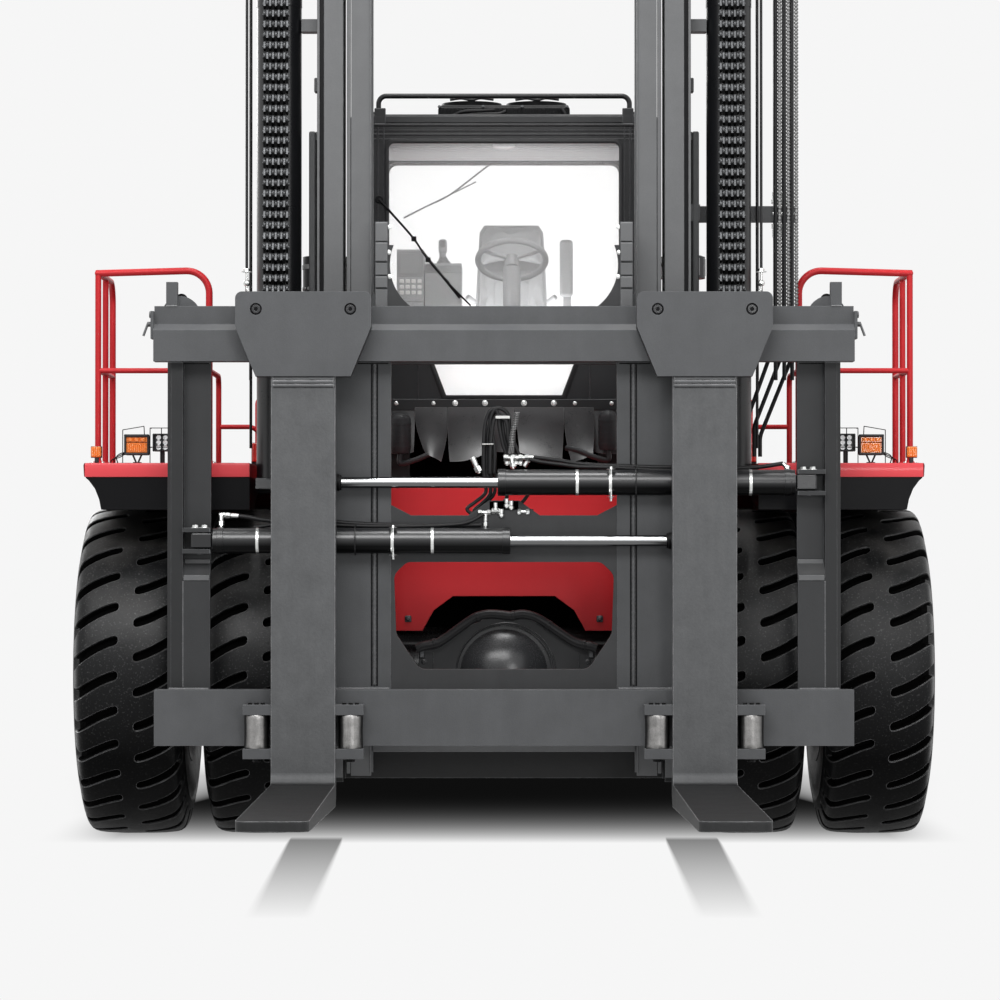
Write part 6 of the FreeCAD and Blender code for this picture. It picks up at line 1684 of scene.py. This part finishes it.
piece("seat_suspension", seat_dark, moulded, "chassis")

dials, buttons, screens = [], [], []
screens.append(block(-0.548, -0.432, 0.8955, 0.9010, 2.845, 2.955, 0.004))
dials.append(block(-0.556, -0.424, 0.8975, 0.9015, 2.833, 2.967, 0.003))
for row in range(3):
    for column in range(4):
        buttons.append(block(-0.545 + column * 0.031, -0.523 + column * 0.031, 0.8945, 0.9015,
                             2.740 + row * 0.030, 2.760 + row * 0.030, 0.003))
for row in range(2):
    for column in range(5):
        x, y = -0.395 + column * 0.034, 1.16 + row * 0.05
        buttons.append(block(x, x + 0.024, y, y + 0.034, 2.9095, 2.9150, 0.003))
for x, y in ((-0.300, 1.36), (-0.345, 1.36)):
    dials.append(moved(turned([(2.9095, 0.020), (2.914, 0.020), (2.934, 0.012), (2.946, 0.014),
                               (2.952, 0.0)], 20), x, y))
for n in range(6):
    z = 2.9095 + n * 0.007
    radius = 0.040 - n * 0.0035
    dials.append(moved(turned([(z, radius - 0.004), (z + 0.0035, radius), (z + 0.007,
                               radius - 0.006)], 24), -0.318 - n * 0.0005, 1.100 - n * 0.0005))
dials.append(block(-0.335, -0.310, 1.0705, 1.0755, 3.000, 3.036, 0.002))
dials.append(block(-0.414, -0.223, 0.9965, 1.0010, 2.860, 2.900, 0.003))
dials.append(block(-0.414, -0.223, 0.9965, 1.0010, 2.500, 2.508, 0.001))
for z in (2.30, 2.50, 2.70):
    dials.append(block(-0.556, -0.424, 0.8975, 0.9015, z, z + 0.006, 0.001))
trim_plastic = rubber("console_trim_plastic", (0.21, 0.213, 0.217), roughness=0.5, speckle=0.0,
                      relief=0.2, grain=380.0, dust=0.0)
piece("console_trim", dials, trim_plastic, "chassis")
piece("console_buttons", buttons, white_plastic, "chassis")
piece("console_screen", screens, trim_plastic, "chassis")
column = [moved(turned([(2.172, 0.075), (2.19, 0.078), (2.21, 0.070), (2.30, 0.056),
                        (2.34, 0.048)], 28), SEAT_X, 0.5)]
pedals = []
for x in (-0.14, 0.20):
    pedal = block(-0.045, 0.045, -0.006, 0.006, 0.0, 0.170, 0.003)
    ribs = [block(-0.040, 0.040, -0.0095, -0.005, 0.02 + n * 0.022, 0.032 + n * 0.022, 0.001)
            for n in range(6)]
    lean = Matrix.Translation((x, 0.420, 2.160)) @ Matrix.Rotation(math.radians(42), 4, "X")
    pedals.append(place(gathered([pedal] + ribs), lean @ Matrix.Rotation(math.pi, 4, "Z")))
piece("column_boot_and_pedals", column + pedals, moulded, "chassis")
finish_node("controls", pale_plastic)


# ---- behind the mast: shade panels, axle face and hoses -------------------------------------
# near-black panels under the cab: painted shade
shade_panels = [block(-0.628, 0.628, 0.606, 0.616, 1.512, 2.094, 0.003),
         block(-0.628, 0.628, 0.543, 0.556, 0.650, 1.512, 0.003)]
for x in (-0.42, -0.14, 0.14, 0.42):
    shade_panels.append(block(x - 0.012, x + 0.012, 0.598, 0.608, 1.530, 2.080, 0.003))
piece("under_cab_shade_panels", shade_panels, shade_black_rubber, "chassis")

outline = [(-0.415, 0.640), (0.440, 0.640), (0.440, 0.928), (0.331, 0.950), (0.204, 1.036),
           (0.091, 1.080), (-0.078, 1.080), (-0.204, 1.020), (-0.303, 0.950), (-0.415, 0.930)]
piece("axle_face_plate", [slab(outline, -0.412, -0.396, 0.003)], cross_paint, "chassis")
rings = []
for radius, y in ((0.229, -0.4155), (0.243, -0.4140)):
    ring = [(0.0, radius - 0.006), (0.004, radius - 0.004), (0.006, radius),
            (0.004, radius + 0.003), (0.0, radius + 0.005)]
    rings.append(place(turned(ring, 60), toward((0.010, y + 0.0045, TYRE_R), AHEAD)))
for x in (-0.345, 0.365):
    rings.append(block(x - 0.003, x + 0.003, -0.4140, -0.4110, 0.660, 0.905, 0.001))
for x in (-0.390, 0.410):
    for z in (0.700, 0.860):
        rings.append(bolt((x, -0.412, z), AHEAD, 0.010, 0.008, 0.014))
piece("axle_face_rings", rings, axle_paint, "chassis")
arc = [(-0.425, 0.925), (-0.394, 0.938), (-0.345, 0.948), (-0.303, 0.965), (-0.204, 1.036),
       (-0.140, 1.078), (-0.078, 1.094), (-0.020, 1.092), (0.034, 1.086), (0.091, 1.094),
       (0.150, 1.080), (0.204, 1.050), (0.270, 1.004), (0.331, 0.965), (0.380, 0.946),
       (0.422, 0.938), (0.450, 0.928)]
arc = at_depth(-0.444, arc)
loop = [hose(arc, 0.0225, 6, 18)]
for n in range(2, len(arc) - 2, 3):
    a, b = Vector(arc[n]), Vector(arc[n + 1])
    loop.append(place(turned([(-0.009, 0.0222), (-0.007, 0.0250), (0.007, 0.0250),
                              (0.009, 0.0222)], 18), toward(a.lerp(b, 0.2), b - a)))
piece("axle_loop_hose", loop, hose_rubber, "chassis")
ends = []
for x in (-0.470, 0.470):
    ends.append(block(x - 0.016, x + 0.016, -0.2975, -0.2900, 1.052, 1.084, 0.004))
    ends.append(bolt((x, -0.2970, 1.068), AHEAD, 0.008, 0.007, 0.011))
for x in (-0.400, 0.425):
    ends.append(block(x - 0.012, x + 0.012, -0.4260, -0.4100, 0.880, 0.930, 0.003))
piece("axle_hose_clamps", ends, chain_steel, "chassis")


# ---- fender edges ---------------------------------------------------------------------------
# lighter, pinker copy of the red paint for the fender's rolled edges: painted highlight
lit_lip_paint = painted("fender_lip_lit_paint", (0.70, 0.055, 0.068), roughness=0.42, contrast=0.05,
                    relief=0.06, coat=0.12, edge=0.3, edge_colour=(0.85, 0.25, 0.26), gloss=0.3)
lips = []


def lip_strip(a, b, out):
    """Rolled edge of sheet metal from a to b; out points away from the fender."""
    shape = [(-0.0005, 1.8235), (0.0035, 1.8215), (0.0065, 1.812), (0.0040, 1.765),
             (0.0020, 1.7565), (-0.004, 1.7565)]
    points = [Vector(p) + Vector(out) * r + Vector((0, 0, z)) for p in (a, b) for r, z in shape]
    count = len(shape)
    faces = [[n, n + 1, count + n + 1, count + n] for n in range(count - 1)]
    return points, faces


lips += both(lip_strip((1.220, -0.740, 0), (2.010, -0.740, 0), AHEAD))
lips += both(lip_strip((2.010, -0.740, 0), (2.010, 1.150, 0), OUTWARD))
piece("fender_rolled_edges", lips, lit_lip_paint, "chassis")
mats = []
for side in SIDES:
    for n in range(11):
        for m in range(4):
            x0, x1 = sorted((side * (1.30 + m * 0.165), side * (1.44 + m * 0.165)))
            y = -0.66 + n * 0.165
            if 1.56 < abs(x0) + 0.07 < 2.0 and y < -0.55:  # the lamps stand here
                continue
            mats.append(block(x0, x1, y, y + 0.135, 1.8225, 1.8262, 0.0015))
piece("fender_grip_pads", mats, moulded, "chassis")


# ---- wheels' trim ---------------------------------------------------------------------------
def on_axle(part, x, y, side):
    """Stand a shape made on +Z on a wheel's face, pointing away from the truck."""
    return place(part, toward((side * x, y, TYRE_R), (side, 0, 0)))


def wheel_trim(disc_x, face_x, nut_ring, cap_x, cap_ring, y, side):
    """Nuts, studs, lock ring and valve of a wheel; each ring is (radius, count)."""
    steel, dark = [], []
    stud = turned([(0.018, 0.009), (0.036, 0.009), (0.038, 0.0)], 10)
    for _, across, up in round_places(nut_ring[1], nut_ring[0]):
        for shape in (hexagon(0.017, 0.020, 0.023), stud):
            steel.append(on_axle(moved(shape, across, up), face_x, y, side))
    for _, across, up in round_places(cap_ring[1], cap_ring[0], 0.5):
        steel.append(on_axle(moved(hexagon(0.009, 0.009, 0.013), across, up), cap_x, y, side))
    lock = [(0.0, 0.300), (0.006, 0.304), (0.012, 0.300), (0.012, 0.292), (0.0, 0.292)]
    dark.append(on_axle(turned(lock, 48), disc_x + 0.012, y, side))
    valve = turned([(0.0, 0.006), (0.045, 0.0055), (0.050, 0.0075), (0.062, 0.0075),
                    (0.066, 0.0)], 10)
    dark.append(on_axle(moved(valve, 0.262), disc_x + 0.010, y, side))
    return steel, dark


for side in SIDES:
    name = SIDE_NAMES[side]
    steel, dark = wheel_trim(1.675, 1.720, (0.180, 20), 1.900, (0.128, 12), 0.0, side)
    cap = turned([(0.0, 0.104), (0.006, 0.1055), (0.012, 0.104)], 40)
    dark.append(on_axle(cap, 1.925, 0.0, side))
    plug = moved(hexagon(0.014, 0.010, 0.020), 0.060)
    steel.append(on_axle(plug, 1.950, 0.0, side))
    piece("drive_wheel_nuts_" + name, steel, zinc, "drive_wheels_" + name)
    piece("drive_rim_rings_" + name, dark, guard_steel, "drive_wheels_" + name)
    steel, dark = wheel_trim(1.455, 1.455, (0.186, 16), 1.530, (0.120, 10), REAR_AXLE_Y, side)
    piece("rear_wheel_nuts_" + name, steel, zinc, "steer_wheel_" + name)
    piece("rear_rim_rings_" + name, dark, guard_steel, "steer_wheel_" + name)


# ---- side tanks, decks and steps ------------------------------------------------------------
red_trim, dark_trim, grips, bright, straps = [], [], [], [], []
for y in (1.55, 2.35, 3.15):
    straps += both(block(1.5595, 1.5660, y - 0.025, y + 0.025, 0.76, 1.555, 0.002))
    straps += both(block(1.300, 1.502, y - 0.025, y + 0.025, 0.694, 0.7005, 0.002))
    for z in (1.50, 0.82):
        bright += both(bolt((1.566, y, z), OUTWARD, 0.012, 0.009, 0.018))
for y in (1.95, 2.75):
    red_trim += both(block(1.5595, 1.5640, y - 0.30, y + 0.30, 0.86, 1.45, 0.004))
cap = [(0.0, 0.060), (0.014, 0.062), (0.030, 0.056), (0.034, 0.050), (0.034, 0.0)]
dark_trim += both(moved(turned(cap, 28), 1.42, 3.45, 1.8225))
dark_trim += both(block(1.380, 1.460, 3.442, 3.458, 1.855, 1.866, 0.003))
bright += both(bar((1.566, 3.40, 1.30), (1.566, 3.40, 1.48), 0.012, 14, 0.002))
for n in range(15):
    for m in range(5):
        y0, x0 = 1.20 + n * 0.166, 0.80 + m * 0.176
        # the air cleaner, the exhaust and the tank's cap stand here
        if math.hypot(abs(x0 + 0.08) - 0.99, y0 + 0.07 - 2.16) < 0.25 or y0 > 3.30 and m == 3:
            continue
        grips += both(block(x0, x0 + 0.155, y0, y0 + 0.145, DECK_Z, 1.8262, 0.0015))
for z in (0.460, 0.860, 1.260):
    for n in range(9):
        y = 1.335 + n * 0.056
        grips += both(block(1.580, 1.745, y, y + 0.020, z, z + 0.0035, 0.001))
for z in (0.62, 1.05, 1.50):
    bright += both(bolt((1.600, 1.300, z), AHEAD, 0.011, 0.009, 0.016))
for y in (2.0, 2.6, 3.2, 3.6):
    bright += both(bolt((1.700, y, 1.70), OUTWARD, 0.011, 0.009, 0.016))
rail = [(1.735, 1.306, 1.500), (1.735, 1.270, 1.500), (1.735, 1.255, 1.520),
        (1.735, 1.255, 1.760), (1.735, 1.270, 1.780), (1.735, 1.306, 1.768)]
red_trim += both(swept(curve_through(rail, 5), 0.012, 12))
piece("tank_straps", straps, black_paint, "chassis")
piece("tank_covers_and_rails", red_trim, red_paint, "chassis")
piece("tank_caps", dark_trim, moulded, "chassis")
piece("deck_and_step_grips", grips, moulded, "chassis")
piece("side_bolts", bright, zinc, "chassis")

feet, heads = [], []
corners = ((1.985, -0.370), (1.442, -0.370), (1.985, 0.330), (1.442, 0.262))
for x, y in corners[:3] + ((1.985, -0.020),) + corners[3:]:
    feet += both(moved(turned([(DECK_Z, 0.046), (1.832, 0.046), (1.834, 0.022),
                               (1.844, 0.0172)], 24), x, y))
for x, y in corners:
    for _, dx, dy in round_places(4, 0.034, 0.5):
        heads += both(bolt((x + dx, y + dy, 1.832), (0, 0, 1), 0.006, 0.005, 0.009))
piece("handrail_feet", feet, red_paint, "chassis")
piece("handrail_bolts", heads, zinc, "chassis")


# ---- hood, air cleaner and exhaust ----------------------------------------------------------
hood_red, louvres, hood_metal = [], [], []
for side in SIDES:
    for first in (2.25, 2.85, 3.40):
        louvres.append(side_block(side, 0.7390, 0.7415, first, first + 0.44, 2.085, 2.235,
                                  0.002))
        fin = slab([(0.0, 0.0), (0.009, -0.007), (0.010, -0.004), (0.002, 0.005)], first + 0.01,
                   first + 0.43, 0.0005)
        hood_red += on_side(side, [moved(fin, 0.7405, 0, 2.094 + n * 0.0155) for n in range(9)])
    hood_metal.append(side_block(side, 0.739, 0.752, 2.105, 2.165, 2.130, 2.165, 0.004))
hood_red.append(block(-0.50, 0.50, 2.12, 3.86, 2.3290, 2.3360, 0.004))
for n in range(18):
    y = 2.60 + n * 0.030
    louvres.append(block(-0.36, 0.36, y, y + 0.014, 2.3358, 2.3392, 0.001))
for x in (-0.42, 0.42):
    hood_red.append(block(x - 0.014, x + 0.014, 2.16, 3.82, 2.3355, 2.3480, 0.005))
hood_metal.append(swept(curve_through([(-0.10, 2.20, 2.334), (-0.10, 2.20, 2.365),
                                       (-0.08, 2.20, 2.380), (0.08, 2.20, 2.380),
                                       (0.10, 2.20, 2.365), (0.10, 2.20, 2.334)], 6), 0.009, 12))
piece("hood_panels", hood_red, red_paint, "hood")
piece("hood_louvre_shade", louvres, black_paint, "hood")
piece("hood_handles", hood_metal, zinc, "hood")

bands, guard_ribs = [], []
STACK_X, STACK_Y, GUARD_R = 0.990, 2.160, 0.1252  # air cleaner on the left, exhaust on the right
for z in (1.90, 2.35, 2.66):
    bands.append(moved(hoop(z, z + 0.022, 0.1052, 0.1085, 36), STACK_X, STACK_Y))
    bands.append(block(1.060, 1.090, 2.240, 2.262, z + 0.002, z + 0.020, 0.003))
vane = block(-0.004, 0.004, 0.118, 0.128, 2.925, 3.02, 0.001)
bands += [place(vane, Matrix.Translation((STACK_X, STACK_Y, 0)) @ Matrix.Rotation(a, 4, "Z"))
          for a, _, _ in round_places(16, 0.0)]
bands.append(moved(turned([(3.030, 0.0), (3.030, 0.118), (3.036, 0.110), (3.048, 0.070),
                           (3.052, 0.0)], 36), STACK_X, STACK_Y))
piece("air_cleaner_bands", bands, trim_plastic, "chassis")
for n in range(12):
    for a, x, y in round_places(20, GUARD_R, 0.5 * (n % 2)):
        guard_ribs.append(place(turned([(0.0, 0.0105), (0.003, 0.0095), (0.003, 0.0)], 8),
                                toward((x - STACK_X, y + STACK_Y, 1.95 + n * 0.082),
                                       (math.cos(a), math.sin(a), 0))))
for z in (1.86, 2.45, 2.96):
    guard_ribs.append(moved(hoop(z, z + 0.025, GUARD_R, 0.1290, 36), -STACK_X, STACK_Y))
piece("exhaust_guard", guard_ribs, guard_steel, "chassis")


# ---- counterweight and rear axle ------------------------------------------------------------
grille, rear_red, rear_dark, rear_metal = [], [], [], []
grille.append(block(-0.518, 0.518, 6.0195, 6.0240, 1.252, 1.948, 0.001))
for n in range(25):
    z = 1.262 + n * 0.0276
    fin = slab([(6.022, z), (6.050, z + 0.010), (6.050, z + 0.014), (6.022, z + 0.006)], -0.515,
               0.515, 0.0006)
    rear_dark.append(facing_left(place(fin, Matrix.Diagonal((1, -1, 1, 1)))))
for x in (-0.26, 0.0, 0.26):
    rear_dark.append(block(x - 0.008, x + 0.008, 6.046, 6.056, 1.252, 1.948, 0.002))
for a, b, c, d in ((-0.520, 0.520, 1.936, 1.952), (-0.520, 0.520, 1.248, 1.264),
                   (-0.522, -0.506, 1.264, 1.936), (0.506, 0.522, 1.264, 1.936)):
    rear_red.append(block(a, b, 6.048, 6.0795, c, d, 0.003))
for x in (-0.514, 0.514):
    for z in (1.30, 1.60, 1.90):
        rear_metal.append(bolt((x, 6.0690, z), (0, 1, 0), 0.007, 0.006, 0.0))
for a, b, c, d in ((-0.130, 0.130, 0.998, 1.010), (-0.130, 0.130, 0.850, 0.862),
                   (-0.132, -0.120, 0.862, 0.998), (0.120, 0.132, 0.862, 0.998)):
    rear_dark.append(block(a, b, 6.030, 6.0795, c, d, 0.003))
rear_metal.append(moved(turned([(1.040, 0.030), (1.062, 0.030), (1.064, 0.022), (1.075, 0.022),
                                (1.078, 0.0)], 20), 0.0, 6.010))
# lifting eyes
for x in (-1.20, 1.20):
    ring = [(x - 0.075, 4.45, 2.345), (x - 0.070, 4.45, 2.400), (x, 4.45, 2.445),
            (x + 0.070, 4.45, 2.400), (x + 0.075, 4.45, 2.345)]
    rear_metal.append(swept(curve_through(ring, 6), 0.016, 12))
    rear_metal += [bolt((x + dx, 4.45, 2.350), (0, 0, 1), 0.016, 0.010, 0.024)
                   for dx in (-0.13, 0.13)]
reflectors = []
for side in SIDES:
    for rear_y, z, half in ((5.65, 1.84, 0.10), (5.76, 0.82, 0.08)):
        # each lies on the sloping face between the side and the rear
        slope = Vector((-0.25, 6.08 - rear_y, 0)).normalized()
        out = Vector((slope.y, -slope.x, 0))
        middle = Vector((1.375, (rear_y + 6.08) / 2, z)) - out * 0.001
        facing = Matrix.Translation(middle) @ Matrix((slope, out, (0, 0, 1))).transposed().to_4x4()
        for plates, grown, deep in ((reflectors, 0.0, 0.008), (rear_dark, 0.008, 0.005)):
            plates += on_side(side, [place(block(-half - grown, half + grown, 0.0, deep,
                                                 -0.03 - grown, 0.03 + grown, 0.002), facing)])
    for y in (4.3, 5.5):
        reflectors.append(side_block(side, 1.499, 1.506, y - 0.05, y + 0.05, 1.80, 1.84, 0.002))
piece("radiator_shade", grille, shade_black_rubber, "chassis")
piece("rear_grille", rear_dark, black_paint, "chassis")
piece("rear_frame_strips", rear_red, red_paint, "chassis")
piece("rear_fittings", rear_metal, guard_steel, "chassis")
piece("reflectors", reflectors, red_lens, "chassis")

STEER_Y, STEER_Z = 4.985, 0.800
steer_parts = [bar((-0.36, STEER_Y, STEER_Z), (0.36, STEER_Y, STEER_Z), 0.068, 32, 0.006)]
for x in (-0.36, 0.36):
    steer_parts.append(bar((x - 0.022, STEER_Y, STEER_Z), (x + 0.022, STEER_Y, STEER_Z), 0.080,
                           32, 0.005))
for x in (-0.20, 0.20):
    steer_parts.append(block(x - 0.03, x + 0.03, 4.935, 5.00, 0.72, 0.88, 0.006))
    steer_parts.append(bar((x, STEER_Y, 0.862), (x, STEER_Y, 0.900), 0.018, 14, 0.003))
steer_rods = [bar((side * 0.382, STEER_Y, STEER_Z), (side * 0.640, STEER_Y, STEER_Z), 0.034, 24,
                  0.004) for side in SIDES]
hoses_at_axle = [hose([(x, STEER_Y, 0.895), (x, 4.975, 0.95), (x * 0.7, 4.93, 1.02),
                       (x * 0.35, 4.90, 1.12)], 0.012, 8, 12) for x in (-0.20, 0.20)]
piece("steering_cylinder", steer_parts, barrel_black, "chassis")
piece("steering_rods", steer_rods, chrome, "chassis")
piece("steering_hoses", hoses_at_axle, hose_rubber, "chassis")


# ---- top of the mast and the tilt cylinders -------------------------------------------------
head_metal = []
for side in SIDES:
    for x, radius in ((1.155, 0.060), (1.262, 0.050)):
        head_metal.append(place(turned([(0.0, radius), (0.010, radius), (0.014, radius * 0.8),
                                        (0.014, 0.0)], 30),
                                toward((side * x, LIFT_Y, SHEAVE_Z), (side, 0, 0))))
    for _, dy, dz in round_places(6, 0.040):
        head_metal.append(bolt((side * 1.169, LIFT_Y + dy, SHEAVE_Z + dz), (side, 0, 0), 0.008,
                               0.006, 0.0))
piece("sheave_caps_and_bolts", head_metal, guard_steel, "inner_mast_body")
base = Vector((0.860, 1.650, 1.350))
way = (Vector((0.860, -0.400, 2.050)) - base).normalized()
tilt_trim = [place(hoop(0.0, 0.030, 0.0885, 0.0925, 32), toward(base + way * far, way))
             for far in (0.30, 1.02)]
tilt_trim += [place(moved(hexagon(0.009, 0.008), dx, dy), toward(base + way * 1.1995, way))
              for _, dx, dy in round_places(8, 0.073)]
for side in SIDES:
    piece("tilt_barrel_trim_" + SIDE_NAMES[side], on_side(side, tilt_trim), guard_steel,
          SIDE_NAMES[side] + "_tilt_barrel")


# ---- stage, lamps and camera ----------------------------------------------------------------
def stage_material(name):
    """Plain pale floor with painted shadows: black under the truck and the two soft shadows of the forks."""
    made, tree, _ = new_material(name)
    where = add_node(tree, "ShaderNodeNewGeometry").outputs["Position"]
    x, y, _ = add_node(tree, "ShaderNodeSeparateXYZ", {0: where}).outputs
    aside = math_node(tree, "ABSOLUTE", x)
    # painted shadow under the truck
    near = math_node(tree, "SUBTRACT", 1.0, math_node(
        tree, "POWER", spread(tree, y, -1.9, 3.2, 1.0, 0.0), 6.3))
    rim = spread(tree, y, 0.0, 3.5, 2.30, 2.80)
    width = spread(tree, y, 0.0, 3.5, 0.40, 1.50)
    side = math_node(tree, "DIVIDE", math_node(tree, "SUBTRACT", rim, aside), width, clamp=True)
    under = times(tree, math_node(tree, "POWER", side, 2.0), near)
    under = times(tree, under, spread(tree, y, 5.3, 3.6))
    # painted shadows of the two forks
    along = spread(tree, y, -1.5, -5.7, 1.0, 0.0)
    middle = spread(tree, y, -1.6, -5.6, 0.915, 0.866)
    off = math_node(tree, "ABSOLUTE", math_node(tree, "SUBTRACT", aside, middle))
    soft = spread(tree, y, -1.6, -5.6, 0.012, 0.045)
    edge = math_node(tree, "DIVIDE", math_node(tree, "SUBTRACT", 0.135, off), soft, clamp=True)
    streak = times(tree, times(tree, math_node(tree, "POWER", along, 0.8), edge), 0.78)
    streak = times(tree, streak, spread(tree, y, -1.3, -1.7))
    dark = math_node(tree, "MAXIMUM", times(tree, under, 0.995), streak)
    colour = mix_colours(tree, dark, (0.922, 0.922, 0.922, 1), (0.0, 0.0, 0.0, 1))
    plain = add_node(tree, "ShaderNodeEmission", {"Color": colour, "Strength": 1.0})
    tree.links.new(plain.outputs[0], tree.nodes["Material Output"].inputs[0])
    return made


floor_mesh = bpy.data.meshes.new("studio_floor")
floor_mesh.from_pydata([(-60, -60, 0), (60, -60, 0), (60, 60, 0), (-60, 60, 0)], [],
                       [(0, 1, 2, 3)])
floor_mesh.materials.append(stage_material("studio_floor"))
floor = bpy.data.objects.new("studio_floor", floor_mesh)
bpy.context.scene.collection.objects.link(floor)

world = bpy.data.worlds.new("studio")
bpy.context.scene.world = world
world.use_nodes = True
tree = world.node_tree
ray = add_node(tree, "ShaderNodeLightPath").outputs
seen = math_node(tree, "MAXIMUM", math_node(tree, "MAXIMUM", ray["Is Camera Ray"],
                 ray["Is Glossy Ray"]), ray["Is Transmission Ray"])
strength = spread(tree, seen, 0.0, 1.0, 0.22, 0.922)
strength = plus(tree, strength, times(tree, ray["Is Transmission Ray"], 0.36))
background = tree.nodes["Background"]
background.inputs["Color"].default_value = (1, 1, 1, 1)
tree.links.new(strength, background.inputs["Strength"])


def soft_lamp(name, place_at, look_at, size, power, seen=True):
    """Rectangular lamp; seen says whether it shows in gloss and through glass."""
    data = bpy.data.lights.new(name, "AREA")
    data.shape, data.size, data.size_y, data.energy = "RECTANGLE", size[0], size[1], power
    lamp = bpy.data.objects.new(name, data)
    lamp.location = place_at
    lamp.visible_camera = False
    lamp.visible_glossy = lamp.visible_transmission = seen
    lamp.rotation_euler = (Vector(look_at) - Vector(place_at)).to_track_quat("-Z", "Y").to_euler()
    bpy.context.scene.collection.objects.link(lamp)


soft_lamp("front_lamp", (-1.5, -9.0, 6.6), (0, -2.0, 2.6), (6, 3), 450)
soft_lamp("fill_lamp", (3.0, -12.5, 2.6), (0, -1.2, 1.2), (1.4, 1.4), 110)
soft_lamp("cab_lamp", (0.0, 0.35, 2.62), (0.0, 0.25, 3.6), (0.9, 0.9), 16, seen=False)
soft_lamp("window_lamp", (0.0, -2.02, 2.02), (0.0, -1.50, 1.35), (0.9, 0.25), 3.0, seen=False)
soft_lamp("left_lamp", (9.0, -7.0, 6.0), (0, -1.0, 1.8), (5, 5), 200)
soft_lamp("top_lamp", (0.0, -3.0, 10.5), (0, -2.0, 0.0), (3.5, 3.5), 480)
soft_lamp("rear_lamp", (-7.0, 11.0, 7.0), (0, 2.0, 1.5), (6, 5), 500)

camera_data = bpy.data.cameras.new("camera")
camera_data.sensor_width = 36.0
camera_data.lens = 139.4
camera = bpy.data.objects.new("camera", camera_data)
camera.location = (0.0, -20.5, 1.406)
camera.rotation_euler = (math.radians(90.74), 0.0, math.radians(0.059))
bpy.context.scene.collection.objects.link(camera)
bpy.context.scene.camera = camera
bpy.context.scene.view_settings.view_transform = "Standard"
